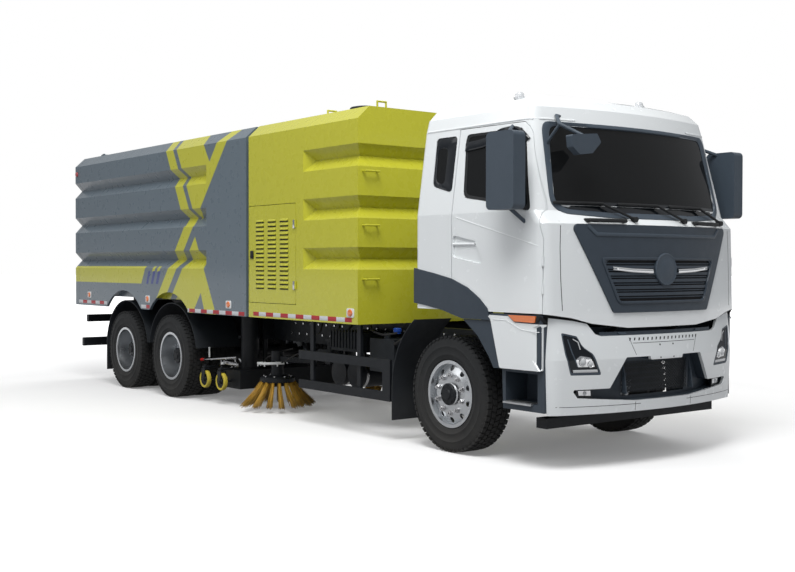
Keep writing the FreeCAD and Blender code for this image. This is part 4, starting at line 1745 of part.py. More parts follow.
doc.recompute()
for piece in doc.Objects:
    if "Invalid" in piece.State or "Error" in piece.State:
        raise RuntimeError(f"{piece.Label} did not compute: {piece.State}")
for piece in NODES:
    if piece.Shape.isNull() or not piece.Shape.isValid() or not piece.Shape.Solids:
        raise RuntimeError(f"{piece.Label} has no valid solid")
for piece in CUTS:
    before = piece.Base.Shape.Volume if hasattr(piece, "Base") else piece.BaseFeature.Shape.Volume
    if piece.Shape.Volume >= before:
        raise RuntimeError(f"{piece.Label} cut nothing")
os.makedirs("parts", exist_ok=True)
for piece in NODES:
    piece.Shape.exportStep(f"parts/{piece.Label}.step")
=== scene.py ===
import math
import random

import bmesh
import bpy
from bpy.props import FloatProperty, FloatVectorProperty, IntProperty, PointerProperty
from bpy.types import Operator, Panel, PropertyGroup
from mathutils import Matrix, Vector
from mathutils.bvhtree import BVHTree


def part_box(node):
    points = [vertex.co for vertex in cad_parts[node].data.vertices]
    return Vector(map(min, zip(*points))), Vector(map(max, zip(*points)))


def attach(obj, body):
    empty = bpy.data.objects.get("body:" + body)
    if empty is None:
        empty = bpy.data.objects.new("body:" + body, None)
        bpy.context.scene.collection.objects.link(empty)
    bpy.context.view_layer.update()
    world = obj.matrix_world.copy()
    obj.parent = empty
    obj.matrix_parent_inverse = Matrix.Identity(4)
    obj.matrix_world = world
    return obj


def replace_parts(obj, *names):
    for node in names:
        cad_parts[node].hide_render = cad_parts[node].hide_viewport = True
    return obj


bl_info = {
    "name": "Street sweeper truck",
    "version": (1, 0, 0),
    "blender": (4, 5, 0),
    "location": "View3D > Sidebar > Sweeper",
    "description": "Dresses the frame of a three-axle street sweeper truck",
    "category": "Object",
}

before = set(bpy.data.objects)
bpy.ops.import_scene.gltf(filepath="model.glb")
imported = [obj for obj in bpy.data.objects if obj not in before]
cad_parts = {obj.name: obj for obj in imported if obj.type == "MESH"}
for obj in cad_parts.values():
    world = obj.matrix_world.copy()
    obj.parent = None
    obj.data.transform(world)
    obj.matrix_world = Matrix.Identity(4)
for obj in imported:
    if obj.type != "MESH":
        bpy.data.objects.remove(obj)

SIDES = (("right", -1), ("left", 1))
FRONT_AXLE, REAR_AXLES, WHEEL_Z = 3.44, (-1.91, -3.26), 0.52


# Sizes and colours
def colour(name, about, value):
    return FloatVectorProperty(name=name, description=about, subtype="COLOR", size=3, min=0, max=1, default=value)


def length(name, about, value):
    return FloatProperty(name=name, description=about, unit="LENGTH", min=0, default=value)


class SweeperColours(PropertyGroup):
    white: colour("Cab white", "Paint of cab, doors and bumper", (0.76, 0.79, 0.80))
    yellow: colour("Body yellow", "Paint of the engine box and of the stripes", (0.50, 0.49, 0.035))
    grey: colour("Hopper grey", "Paint of the hopper and its tailgate", (0.115, 0.150, 0.180))
    plastic: colour("Dark plastic", "Grille panel, mirrors and trims", (0.030, 0.041, 0.055))
    chassis: colour("Chassis black", "Rails, guards and brackets", (0.008, 0.010, 0.013))
    dust: colour("Road dust", "Dust on low surfaces", (0.24, 0.22, 0.19))
    bristle: colour("Bristles", "Bristles of the side brooms", (0.62, 0.36, 0.045))
    amber: colour("Amber lens", "Side lamps and their lenses", (0.80, 0.17, 0.012))
    blue: colour("Blue bars", "Slanted bars on the hopper", (0.012, 0.03, 0.20))


class SweeperSizes(PropertyGroup):
    lug_depth: length("Lug depth", "Height of the tread lugs", 0.014)
    bristle_length: length("Bristle length", "Length of one bristle", 0.36)
    tape_height: length("Tape height", "Height of the reflecting tape", 0.045)
    lug_count: IntProperty(name="Lugs", description="Tread lugs round one rib of a tyre", min=8, default=56)
    strands: IntProperty(name="Bristles", description="Bristles of one broom", min=60, default=1500)


def sizes():
    return bpy.context.scene.sweeper_sizes


def tint(name):
    return (*getattr(bpy.context.scene.sweeper_colours, name), 1.0)


# Nodes
class Web:
    """A node tree that is filled by short calls."""

    def __init__(self, tree):
        self.tree = tree

    def feed(self, socket, value):
        if isinstance(value, bpy.types.NodeSocket):
            self.tree.links.new(value, socket)
        else:
            socket.default_value = value

    def add(self, kind, *values, **named):
        node = self.tree.nodes.new(kind)
        settings = {key: value for key, value in named.items() if key.islower() and hasattr(node, key)}
        for key, value in settings.items():
            setattr(node, key, value)
        for key, value in named.items():
            if key not in settings:
                self.feed(node.inputs[key.replace("_", " ")], value)
        for socket, value in zip(node.inputs, values):
            if value is not None:
                self.feed(socket, value)
        return node

    def math(self, operation, *values, clamp=False):
        node = self.add("ShaderNodeMath", *values, operation=operation)
        node.use_clamp = clamp
        return node.outputs[0]

    def vector(self, operation, *values):
        node = self.add("ShaderNodeVectorMath", *values, operation=operation)
        return node.outputs["Value" if operation in ("DOT_PRODUCT", "LENGTH", "DISTANCE") else "Vector"]

    def mix(self, share, first, second):
        node = self.add("ShaderNodeMix", data_type="RGBA")
        for index, value in ((0, share), (6, first), (7, second)):
            self.feed(node.inputs[index], value)
        return node.outputs[2]

    def span(self, value, low, high, first=0.0, last=1.0):
        return self.add("ShaderNodeMapRange", value, low, high, first, last).outputs[0]

    def noise(self, place, scale, detail=3.0, rough=0.5):
        return self.add("ShaderNodeTexNoise", Vector=place, Scale=scale, Detail=detail, Roughness=rough).outputs["Fac"]


def group(name, kind, inputs, outputs):
    """A new node group; returns its web, its inputs by name and its output node."""
    tree = bpy.data.node_groups.new(name, kind)
    for label, socket, value in inputs:
        made = tree.interface.new_socket(name=label, in_out="INPUT", socket_type=socket)
        if value is not None:
            made.default_value = value
    for label, socket in outputs:
        tree.interface.new_socket(name=label, in_out="OUTPUT", socket_type=socket)
    web = Web(tree)
    entry = web.add("NodeGroupInput")
    return web, {s.name: s for s in entry.outputs if s.name}, web.add("NodeGroupOutput")


def weather_group():
    """Road dust that fades with height, rain marks and a slight waviness of the paint."""
    web, given, out = group("weather", "ShaderNodeTree",
                            [("Paint", "NodeSocketColor", None), ("Dust", "NodeSocketColor", None),
                             ("Dust Top", "NodeSocketFloat", 1.2), ("Amount", "NodeSocketFloat", 0.3),
                             ("Roughness", "NodeSocketFloat", 0.3)],
                            [("Colour", "NodeSocketColor"), ("Roughness", "NodeSocketFloat"),
                             ("Height", "NodeSocketFloat")])
    place = position(web)
    z = web.add("ShaderNodeSeparateXYZ", place).outputs["Z"]
    cloud = web.noise(place, 2.3, 5.0, 0.6)
    stretched = web.vector("MULTIPLY", place, (9.0, 9.0, 0.55))
    streak = web.span(web.noise(stretched, 2.0, 4.0, 0.55), 0.52, 0.78)
    low = web.math("POWER", web.span(z, given["Dust Top"], 0.0), 1.6)
    dust = web.math("MULTIPLY", low, web.span(cloud, 0.25, 0.7, 0.35, 1.0))
    marks = web.math("MULTIPLY", streak, 0.05)
    total = web.math("MULTIPLY", web.math("ADD", dust, marks), given["Amount"], clamp=True)
    web.feed(out.inputs["Colour"], web.mix(total, given["Paint"], given["Dust"]))
    fine = web.span(web.noise(place, 11.0, 4.0), 0.3, 0.7, -0.05, 0.06)
    web.feed(out.inputs["Roughness"],
             web.math("ADD", web.math("ADD", given["Roughness"], fine), web.math("MULTIPLY", total, 0.5), clamp=True))
    peel = web.noise(place, 420.0, 1.0)
    wave = web.noise(place, 1.6, 0.0)
    web.feed(out.inputs["Height"], web.math("ADD", web.math("MULTIPLY", peel, 0.04), wave))
    return web.tree


def grain_group():
    """Fine moulded or cast grain with slow changes of tone."""
    web, given, out = group("grain", "ShaderNodeTree",
                            [("Scale", "NodeSocketFloat", 500.0), ("Patches", "NodeSocketFloat", 0.1)],
                            [("Tone", "NodeSocketFloat"), ("Height", "NodeSocketFloat")])
    place = position(web)
    cells = web.add("ShaderNodeTexVoronoi", Vector=place, Scale=given["Scale"]).outputs["Distance"]
    web.feed(out.inputs["Height"], cells)
    cloud = web.noise(place, 6.0, 6.0, 0.65)
    web.feed(out.inputs["Tone"], web.math("MULTIPLY", cloud, given["Patches"]))
    return web.tree


def brushed_group():
    """Fine lines along one direction."""
    web, given, out = group("brushed", "ShaderNodeTree", [("Stretch", "NodeSocketVector", (4.0, 120.0, 120.0))],
                            [("Lines", "NodeSocketFloat")])
    place = position(web)
    web.feed(out.inputs["Lines"], web.noise(web.vector("MULTIPLY", place, given["Stretch"]), 4.0, 3.0, 0.6))
    return web.tree


# Outlines of the paint on the hopper's sides, as x and z in metres
def leaning(x, z, lean):
    """A line through a point that moves by lean along x for each metre up."""
    return x, z, lean


EDGE_A = leaning(-1.969, 3.09, -0.535)
EDGE_B = leaning(-1.770, 3.09, -0.560)
EDGE_C = leaning(-1.678, 3.09, -0.560)
EDGE_D = leaning(-0.970, 3.09, -0.667)
EDGE_E = leaning(-0.651, 3.09, 0.865)
EDGE_F = leaning(-0.415, 3.09, 0.865)
EDGE_G = leaning(-1.187, 2.019, 0.865)
EDGE_H = leaning(-0.706, 1.131, -0.560)
NOTCH = (leaning(-1.054, 1.331, 0.831), leaning(-1.054, 1.331, -0.400))
LOW_STRIPE = (1.42, 1.646, leaning(-2.698, 1.42, 0.575))
BARS = ((-2.555, 0.062), (-2.415, 0.066), (-2.275, 0.070))
BAR_LEAN = 0.45
SIDE_DEPTH = 1.105


def livery_group():
    """Masks of the stripes and of the slanted bars on the hopper's sides."""
    web, given, out = group("livery", "ShaderNodeTree", [],
                            [("Stripes", "NodeSocketFloat"), ("Bars", "NodeSocketFloat")])
    parts = web.add("ShaderNodeSeparateXYZ", position(web)).outputs
    flat = web.add("ShaderNodeCombineXYZ", parts["X"], parts["Z"], 1.0).outputs[0]

    def side_of_line(edge, sign):
        x, z, lean = edge
        return web.vector("DOT_PRODUCT", flat, (sign, -sign * lean, sign * (lean * z - x)))

    def right_of(edge):
        return side_of_line(edge, 1.0)

    def left_of(edge):
        return side_of_line(edge, -1.0)

    def over(z):
        return web.vector("DOT_PRODUCT", flat, (0.0, 1.0, -z))

    def under(z):
        return web.vector("DOT_PRODUCT", flat, (0.0, -1.0, z))

    def chained(operation, values):
        result = values[0]
        for value in values[1:]:
            result = web.math(operation, result, value)
        return result

    def both(*values):
        return chained("MINIMUM", values)

    def either(*values):
        return chained("MAXIMUM", values)

    gap = both(right_of(EDGE_B), left_of(EDGE_C), over(2.13))
    upper = either(both(right_of(EDGE_A), left_of(EDGE_B), left_of(EDGE_E)),
                   both(right_of(EDGE_C), left_of(EDGE_D), left_of(EDGE_E)))
    band = both(right_of(EDGE_E), left_of(EDGE_F), web.math("MULTIPLY", gap, -1.0))
    notch = both(left_of(NOTCH[1]), right_of(NOTCH[0]), under(1.331))
    foot = both(right_of(EDGE_G), left_of(EDGE_H), web.math("MULTIPLY", notch, -1.0))
    low, high, end = LOW_STRIPE
    stripe = both(over(low), under(high), left_of(end))

    def bar(x, wide, foot_z, head_z):
        edges = right_of(leaning(x, low, BAR_LEAN)), left_of(leaning(x + wide, low, BAR_LEAN))
        return both(over(foot_z), under(head_z), *edges)

    thin = [bar(x - 0.03, wide, 1.58, high) for x, wide in BARS[1:]]
    bars = [bar(x, wide, low, 1.585) for x, wide in BARS]
    outside = web.math("GREATER_THAN", web.math("ABSOLUTE", parts["Y"]), SIDE_DEPTH)
    for label, value in (("Stripes", either(upper, band, foot, stripe, *thin)), ("Bars", either(*bars))):
        web.feed(out.inputs[label], web.math("MULTIPLY", web.math("GREATER_THAN", value, 0.0), outside))
    return web.tree


# Materials
GROUPS = {}
FINISH = {}


def effect(web, name, **named):
    node = web.tree.nodes.new("ShaderNodeGroup")
    node.node_tree = GROUPS[name]
    for key, value in named.items():
        web.feed(node.inputs[key.replace("_", " ")], value)
    return node.outputs


def material(name, **fixed):
    """A material with one shader; fixed values are set on the shader's own sockets."""
    made = bpy.data.materials.new(name)
    made.use_nodes = True
    web = Web(made.node_tree)
    shader = made.node_tree.nodes["Principled BSDF"]
    for key, value in fixed.items():
        shader.inputs[key.replace("_", " ")].default_value = value
    FINISH[name] = made
    return web, shader


def look(web, shader, shade, rough, height, depth, strength=1.0):
    """Joins colour, roughness and bump to a shader."""
    bumped = web.add("ShaderNodeBump", Height=height, Distance=depth, Strength=strength)
    for socket, value in (("Base Color", shade), ("Roughness", rough), ("Normal", bumped.outputs["Normal"])):
        web.feed(shader.inputs[socket], value)


def weathered(web, shade, rough, amount, top):
    """Dust over a shade; returns colour, roughness and waviness."""
    return effect(web, "weather", Paint=shade, Dust=tint("dust"), Dust_Top=top, Amount=amount, Roughness=rough)


def dimmed(shade, share):
    return [value * share for value in shade[:3]] + [1.0]


def position(web):
    return web.add("ShaderNodeTexCoord").outputs["Object"]


def paint(name, base, rough, coat, top, amount, mask=None, shine=0.5):
    """Sprayed paint with dust and rain marks; a mask may lay other colours over it."""
    web, shader = material(name, Coat_Weight=coat, Coat_Roughness=0.08, Specular_IOR_Level=shine)
    shade = mask(web, tint(base)) if mask else tint(base)
    seen = weathered(web, shade, rough, amount, top)
    look(web, shader, seen["Colour"], seen["Roughness"], seen["Height"], 0.0003, 0.15)


def moulded(name, base, rough, scale=420.0, depth=0.0003, metal=0.0, dust=0.0):
    """Grained plastic, rubber or cast metal under dust."""
    web, shader = material(name, Metallic=metal, Specular_IOR_Level=0.3)
    grain = effect(web, "grain", Scale=scale, Patches=0.25)
    worn = [min(1.0, value * 2.2 + 0.01) for value in base[:3]] + [1.0]
    seen = weathered(web, web.mix(grain["Tone"], (*base[:3], 1), worn), rough, dust, 1.1)
    look(web, shader, seen["Colour"], seen["Roughness"], grain["Height"], depth, 0.6)


def metal(name, shade, rough, stretch=(4.0, 120.0, 120.0), dust=0.15):
    web, shader = material(name, Metallic=1.0)
    lines = effect(web, "brushed", Stretch=stretch)["Lines"]
    seen = weathered(web, web.mix(lines, dimmed(shade, 0.8), (*shade, 1)), rough, dust, 1.0)
    look(web, shader, seen["Colour"], seen["Roughness"], lines, 0.0002, 0.4)


def lens(name, shade, glow=0.0):
    """A lamp's coloured lens with ribs inside."""
    web, shader = material(name, Coat_Weight=1.0, Coat_Roughness=0.03, Emission_Strength=glow)
    ribs = web.add("ShaderNodeTexWave", Vector=position(web), Scale=60.0, bands_direction="Z").outputs["Fac"]
    tone = web.mix(ribs, dimmed(shade, 0.65), (*shade[:3], 1))
    web.feed(shader.inputs["Emission Color"], tone)
    look(web, shader, tone, web.math("MULTIPLY_ADD", ribs, 0.1, 0.08), ribs, 0.0008, 0.5)


def glass(name, shade, see_through):
    web, shader = material(name, Transmission_Weight=see_through, IOR=1.3, Specular_IOR_Level=0.35)
    place = position(web)
    smear = web.noise(place, 3.0, 5.0)
    look(web, shader, web.mix(smear, dimmed(shade, 0.85), (*shade, 1)), web.math("MULTIPLY_ADD", smear, 0.03, 0.02),
         web.noise(place, 1.2, 1.0), 0.0008, 0.3)


def stripes(web, shade):
    masks = effect(web, "livery")
    return web.mix(masks["Bars"], web.mix(masks["Stripes"], shade, tint("yellow")), tint("blue"))


def tape_material(name, axis):
    web, shader = material(name, Specular_IOR_Level=0.25)
    place = position(web)
    along = web.add("ShaderNodeSeparateXYZ", place).outputs[axis]
    block = web.math("GREATER_THAN", web.math("FRACT", web.math("DIVIDE", along, 0.30)), 0.5)
    cells = web.add("ShaderNodeTexVoronoi", Vector=place, Scale=260.0).outputs["Distance"]
    shade = web.mix(block, (0.62, 0.64, 0.66, 1), (0.42, 0.008, 0.018, 1))
    look(web, shader, web.mix(web.math("MULTIPLY", cells, 0.15), shade, (0.3, 0.3, 0.3, 1)),
         web.math("MULTIPLY_ADD", cells, 0.2, 0.25), cells, 0.0003)


def bristle_material():
    web, shader = material("bristles")
    tone = web.add("ShaderNodeAttribute", attribute_name="shade").outputs["Fac"]
    place = position(web)
    z = web.add("ShaderNodeSeparateXYZ", place).outputs["Z"]
    base = tint("bristle")
    shade = web.mix(tone, dimmed(base, 0.45), [min(1.0, value) for value in dimmed(base, 1.25)])
    look(web, shader, web.mix(web.span(z, 0.16, 0.0, 0.0, 0.35), shade, tint("dust")),
         web.span(tone, 0.0, 1.0, 0.45, 0.65), web.noise(place, 90.0, 2.0), 0.0004)


def cloth_material():
    web, shader = material("seat_cloth", Sheen_Weight=0.3)
    place = position(web)
    weave = web.add("ShaderNodeTexChecker", Vector=place, Scale=420.0).outputs["Fac"]
    cloud = web.noise(place, 40.0, 4.0)
    look(web, shader, web.mix(cloud, (0.018, 0.019, 0.022, 1), (0.055, 0.057, 0.062, 1)),
         web.math("MULTIPLY_ADD", weave, 0.1, 0.8), web.math("ADD", weave, cloud), 0.0005)


NODE_FINISHES = (
    ("chassis_paint", "chassis_frame rear_bars side_guards air_tanks under_beam lift_barrels suction_nozzle broom_post"
                      " broom_arm"),
    ("cast_steel", "axles engine_block auxiliary_engine knuckle"),
    ("yellow_paint", "engine_box louvre_door"),
    ("white_paint", "bumper cab_shell door"),
    ("striped_paint", "hopper tailgate"),
    ("fender_plastic", "mudguards side_boxes"),
    ("panel_plastic", "lower_grille step_boxes grille_panel arch_trims"),
    ("mirror_plastic", "mirror front_mirror"),
    ("cabin_plastic", "dashboard"),
    ("seal_rubber", "wipers grab_handles"),
    ("tyre_rubber", "tyre_front tyres_axle2 tyres_axle3"),
    ("caster_rubber", "nozzle_wheels_front nozzle_wheels_rear"),
    ("wheel_silver", "rim_front rims_axle2 rims_axle3"),
    ("bright_steel", "lift_rods"),
    ("dark_glass", "cab_glass door_glass"),
    ("border_glass", "headlamps"),
    ("seat_cloth", "seats"),
    ("bristles", "broom"),
)
NODE_FINISH = {node: finish for finish, nodes in NODE_FINISHES for node in nodes.split()}
# Plastics, rubbers and castings: name, colour, roughness and what differs from the usual
MOULDED = (
    ("mirror_plastic", (0.045, 0.060, 0.078), 0.45, {"dust": 0.1}),
    ("cabin_plastic", (0.035, 0.036, 0.038), 0.6, {}),
    ("fender_plastic", (0.010, 0.013, 0.017), 0.55, {"dust": 0.12}),
    ("tyre_rubber", (0.010, 0.011, 0.012), 0.68, {"scale": 160.0, "depth": 0.0006, "dust": 0.14}),
    ("caster_rubber", (0.55, 0.42, 0.03), 0.6, {"dust": 0.3}),
    ("cast_steel", (0.020, 0.021, 0.023), 0.6, {"scale": 240.0, "depth": 0.001, "metal": 0.3, "dust": 0.15}),
    ("mesh_plastic", (0.020, 0.024, 0.029), 0.45, {"dust": 0.1}),
    # A near-black finish for sheets laid in the grille, the bumper's vent slots and the louvres' openings: painted
    # shade of the hollows behind them
    ("painted_shade", (0.003, 0.003, 0.004), 0.8, {}),
    ("border_glass", (0.006, 0.008, 0.011), 0.12, {"scale": 60.0, "depth": 0.0001}),
    ("seal_rubber", (0.008, 0.009, 0.010), 0.6, {}),
    ("hose_rubber", (0.010, 0.010, 0.011), 0.5, {"dust": 0.3}),
    ("white_plastic", (0.70, 0.72, 0.72), 0.35, {"dust": 0.3}),
    ("blue_plastic", (0.01, 0.05, 0.28), 0.35, {"dust": 0.1}),
    ("red_plastic", (0.45, 0.012, 0.01), 0.35, {"dust": 0.1}),
)
METALS = (
    ("wheel_silver", (0.62, 0.64, 0.66), 0.30, {"stretch": (30.0, 30.0, 30.0), "dust": 0.12}),
    ("bright_steel", (0.62, 0.62, 0.63), 0.22, {}),
    ("chrome", (0.80, 0.81, 0.82), 0.08, {"dust": 0.02}),
    ("step_alloy", (0.60, 0.61, 0.62), 0.35, {"stretch": (120.0, 4.0, 120.0)}),
    ("mirror_silver", (0.75, 0.78, 0.80), 0.04, {"dust": 0.0}),
)


class SWEEPER_OT_finishes(Operator):
    """Makes every material and gives the frame's own nodes theirs"""
    bl_idname = "sweeper.finishes"
    bl_label = "Paints and plastics"

    def execute(self, context):
        for name, make in (("weather", weather_group), ("grain", grain_group), ("brushed", brushed_group),
                           ("livery", livery_group)):
            GROUPS[name] = make()
        paint("white_paint", "white", 0.22, coat=0.7, top=1.1, amount=0.10)
        paint("yellow_paint", "yellow", 0.28, coat=0.25, top=1.4, amount=0.05, shine=0.3)
        paint("striped_paint", "grey", 0.30, coat=0.25, top=1.4, amount=0.05, mask=stripes, shine=0.3)
        paint("chassis_paint", "chassis", 0.45, coat=0.0, top=1.0, amount=0.04, shine=0.25)
        moulded("panel_plastic", tint("plastic"), 0.42, dust=0.12)
        for name, shade, rough, others in MOULDED:
            moulded(name, shade, rough, **others)
        for name, shade, rough, others in METALS:
            metal(name, shade, rough, **others)
        glass("dark_glass", (0.014, 0.015, 0.016), 0.45)
        lens("amber_lens", tint("amber"), glow=0.05)
        lens("red_lens", (0.45, 0.01, 0.012))
        lens("clear_lens", (0.66, 0.68, 0.70))
        tape_material("reflecting_tape", "X")
        tape_material("reflecting_tape_across", "Y")
        bristle_material()
        cloth_material()
        for name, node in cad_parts.items():
            key = name.removesuffix("_right").removesuffix("_left")
            node.data.materials.clear()
            node.data.materials.append(FINISH[NODE_FINISH[key]])
        return {"FINISHED"}


# Shapes
def new_mesh():
    return bmesh.new()


def to_mesh(name, bm):
    mesh = bpy.data.meshes.new(name)
    bm.to_mesh(mesh)
    bm.free()
    return mesh


def linked(name, data):
    """An object in the scene."""
    made = bpy.data.objects.new(name, data)
    bpy.context.scene.collection.objects.link(made)
    return made


def evaluated(source):
    """The mesh of an object with its modifiers applied."""
    graph = bpy.context.evaluated_depsgraph_get()
    return bpy.data.meshes.new_from_object(source.evaluated_get(graph))


def bevelled(bm, faces, offset):
    if offset:
        edges = list({edge for face in faces for edge in face.edges})
        bmesh.ops.bevel(bm, geom=edges, offset=offset, segments=2, profile=0.6, affect="EDGES")


def walls(bm, one, two):
    """The faces between two rings of vertices."""
    count = len(one)
    return [bm.faces.new((one[k], one[(k + 1) % count], two[(k + 1) % count], two[k])) for k in range(count)]


def add_box(bm, first, second, bevel=0.0):
    """A box between two corners, its edges rounded by bevel."""
    low, high = zip(*(sorted(pair) for pair in zip(first, second)))
    ends = low, high
    made = [bm.verts.new((ends[i][0], ends[j][1], ends[k][2])) for i in (0, 1) for j in (0, 1) for k in (0, 1)]
    faces = [bm.faces.new([made[i] for i in corners])
             for corners in ((0, 1, 3, 2), (4, 6, 7, 5), (0, 4, 5, 1), (2, 3, 7, 6), (0, 2, 6, 4), (1, 5, 7, 3))]
    bevelled(bm, faces, bevel)


def at_plane(plane, u, v, w):
    return {"yz": Vector((w, u, v)), "xz": Vector((u, w, v)), "xy": Vector((u, v, w))}[plane]


def add_prism(bm, outline, plane, low, high, bevel=0.0):
    """An outline in a plane, drawn out from low to high across it."""
    low, high = sorted((low, high))
    foot = [bm.verts.new(at_plane(plane, u, v, low)) for u, v in outline]
    head = [bm.verts.new(at_plane(plane, u, v, high)) for u, v in outline]
    faces = [bm.faces.new(foot), bm.faces.new(head), *walls(bm, foot, head)]
    bmesh.ops.recalc_face_normals(bm, faces=faces)
    bevelled(bm, faces, bevel)


def frame_of(direction):
    """Two directions across a direction."""
    d = Vector(direction).normalized()
    side = d.cross(Vector((0, 0, 1)) if abs(d.z) < 0.9 else Vector((1, 0, 0))).normalized()
    return side, d.cross(side).normalized()


def add_lathe(bm, profile, centre, axis, steps=32):
    """A closed profile of (radius, place along the axis), turned round the axis."""
    side, up = frame_of(axis)
    axis = Vector(axis).normalized()
    rings = []
    for step in range(steps):
        turn = math.tau * step / steps
        out = side * math.cos(turn) + up * math.sin(turn)
        rings.append([bm.verts.new(Vector(centre) + out * r + axis * t) if r > 1e-6 else None for r, t in profile])
    poles = {i: bm.verts.new(Vector(centre) + axis * t) for i, (r, t) in enumerate(profile) if r <= 1e-6}
    faces = []
    count = len(profile)
    for step in range(steps):
        a, b = rings[step], rings[(step + 1) % steps]
        for i in range(count):
            j = (i + 1) % count
            if i in poles and j in poles:
                continue
            ring = [poles.get(i) or a[i], poles.get(j) or a[j], poles.get(j) or b[j], poles.get(i) or b[i]]
            ring = list(dict.fromkeys(ring))
            if len(ring) > 2:
                faces.append(bm.faces.new(ring))
    bmesh.ops.recalc_face_normals(bm, faces=faces)


def add_disc(bm, centre, axis, radius, thick, steps=20, chamfer=0.0):
    """A round plate or rod that starts at centre and runs along the axis."""
    c = chamfer
    profile = [(0, 0), (radius - c, 0), (radius, c), (radius, thick - c), (radius - c, thick), (0, thick)]
    if not c:
        profile = [(0, 0), (radius, 0), (radius, thick), (0, thick)]
    add_lathe(bm, profile, centre, axis, steps)


def smooth_path(points, parts=6):
    """A curve through points, by Catmull and Rom's rule."""
    pts = [Vector(p) for p in points]
    line = []
    for i in range(len(pts) - 1):
        a, b, c, d = pts[max(i - 1, 0)], pts[i], pts[i + 1], pts[min(i + 2, len(pts) - 1)]
        for step in range(parts):
            t = step / parts
            line.append(0.5 * (2 * b + (c - a) * t + (2 * a - 5 * b + 4 * c - d) * t * t
                               + (3 * b - a - 3 * c + d) * t ** 3))
    return line + [pts[-1]]


def add_tube(bm, path, radius, sides=10, widths=(1.0, 1.0)):
    """A round bar along a path, closed at both ends; widths may flatten it."""
    path = [Vector(p) for p in path]
    rings = []
    side = None
    for i, p in enumerate(path):
        d = (path[min(i + 1, len(path) - 1)] - path[max(i - 1, 0)]).normalized()
        if side is None:
            side = frame_of(d)[0]
        side = (side - d * side.dot(d)).normalized()
        up = d.cross(side)
        a, b = widths
        rings.append([bm.verts.new(p + side * (a * radius * math.cos(t)) + up * (b * radius * math.sin(t)))
                      for t in (math.tau * k / sides for k in range(sides))])
    faces = [bm.faces.new(rings[0]), bm.faces.new(rings[-1])]
    for one, two in zip(rings, rings[1:]):
        faces += walls(bm, one, two)
    bmesh.ops.recalc_face_normals(bm, faces=faces)


SLOTS = {
    **dict.fromkeys(("panel_plastic", "mirror_plastic", "cabin_plastic", "fender_plastic", "seal_rubber", "hose_rubber",
                     "mesh_plastic", "painted_shade"), "dark_plastic"),
    **dict.fromkeys(("bright_steel", "chrome", "step_alloy", "mirror_silver"), "bright_steel"),
    **{same: same for same in ("white_paint", "yellow_paint", "tyre_rubber", "bristles", "seat_cloth")},
    "chassis_paint": "chassis_black", "border_glass": "dark_glass", "caster_rubber": "caster_tyre",
    "clear_lens": "lamp_glass",
}


def dress(name, bm, finish, body, smooth=35):
    """Turns a mesh in the making into a finished piece that rides on a body."""
    bm.normal_update()
    return dress_mesh(name, to_mesh(name, bm), finish, body, smooth)


def dress_mesh(name, mesh, finish, body, smooth=35):
    made = linked(name, mesh)
    mesh.materials.clear()
    mesh.materials.append(FINISH[finish])
    mesh.shade_smooth()
    if smooth:
        mesh.set_sharp_from_angle(angle=math.radians(smooth))
    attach(made, body)
    return made


SKINS = {}


def skin(*nodes):
    """The surfaces of some nodes, to find places on."""
    if nodes not in SKINS:
        points, faces = [], []
        for name in nodes:
            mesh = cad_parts[name].data
            start = len(points)
            points += [v.co.copy() for v in mesh.vertices]
            faces += [[start + i for i in p.vertices] for p in mesh.polygons]
        SKINS[nodes] = BVHTree.FromPolygons(points, faces)
    return SKINS[nodes]


def hit(nodes, start, direction):
    """The first point of the nodes' surface along a line, or beside it past an edge, and the normal there."""
    start, along = Vector(start), Vector(direction).normalized()
    side, up = frame_of(along)
    for reach in (0.0, 0.005, 0.01, 0.02, 0.04, 0.08):
        for step in range(8 if reach else 1):
            turn = math.tau * step / 8
            aside = (side * math.cos(turn) + up * math.sin(turn)) * reach
            place, normal, _, _ = skin(*nodes).ray_cast(start + aside, along)
            if place is not None:
                return place - aside, normal if normal.dot(along) < 0 else -normal
    raise ValueError(f"nothing of {nodes} lies from {tuple(start)} along {tuple(along)}")


def front_of(*nodes):
    """Finds places on the nodes from the front, by y and z."""
    return lambda y, z: hit(nodes, (5.4, y, z), (-1, 0, 0))


def side_of(side, *nodes):
    """Finds places on the nodes from a side, by x and z."""
    return lambda x, z: hit(nodes, (x, side * 2.0, z), (0, -side, 0))


def rear_of(*nodes):
    return lambda y, z: hit(nodes, (-6, y, z), (1, 0, 0))


def above(node, x, y):
    return hit((node,), (x, y, 3.9), (0, 0, -1))[0]


def drape(bm, outline, cast, lift, thick, step=0.04):
    """A plate whose outline is given in two coordinates, laid on a surface that cast finds."""
    flat = bmesh.new()
    flat.faces.new([flat.verts.new((u, v, 0)) for u, v in outline])
    for index in (0, 1):
        low = min(p[index] for p in outline)
        high = max(p[index] for p in outline)
        count = max(1, int((high - low) / step))
        normal = [float(index == axis) for axis in range(3)]
        for number in range(1, count):
            place = [(low + (high - low) * number / count) * share for share in normal]
            bmesh.ops.bisect_plane(flat, geom=flat.verts[:] + flat.edges[:] + flat.faces[:], plane_co=place,
                                   plane_no=normal)
    bmesh.ops.triangulate(flat, faces=[f for f in flat.faces if len(f.verts) > 4])
    flat.verts.index_update()
    top, foot = [], []
    for v in flat.verts:
        place, normal = cast(v.co.x, v.co.y)
        top.append(bm.verts.new(place + normal * (lift + thick)))
        foot.append(bm.verts.new(place + normal * lift))
    faces = []
    for f in flat.faces:
        faces.append(bm.faces.new([top[v.index] for v in f.verts]))
        faces.append(bm.faces.new([foot[v.index] for v in reversed(f.verts)]))
    for e in flat.edges:
        if len(e.link_faces) == 1:
            a, b = (v.index for v in e.verts)
            faces.append(bm.faces.new((top[a], foot[a], foot[b], top[b])))
    bmesh.ops.recalc_face_normals(bm, faces=faces)
    flat.free()


# Repeats
ORIGIN = (0.0, 0.0, 0.0)


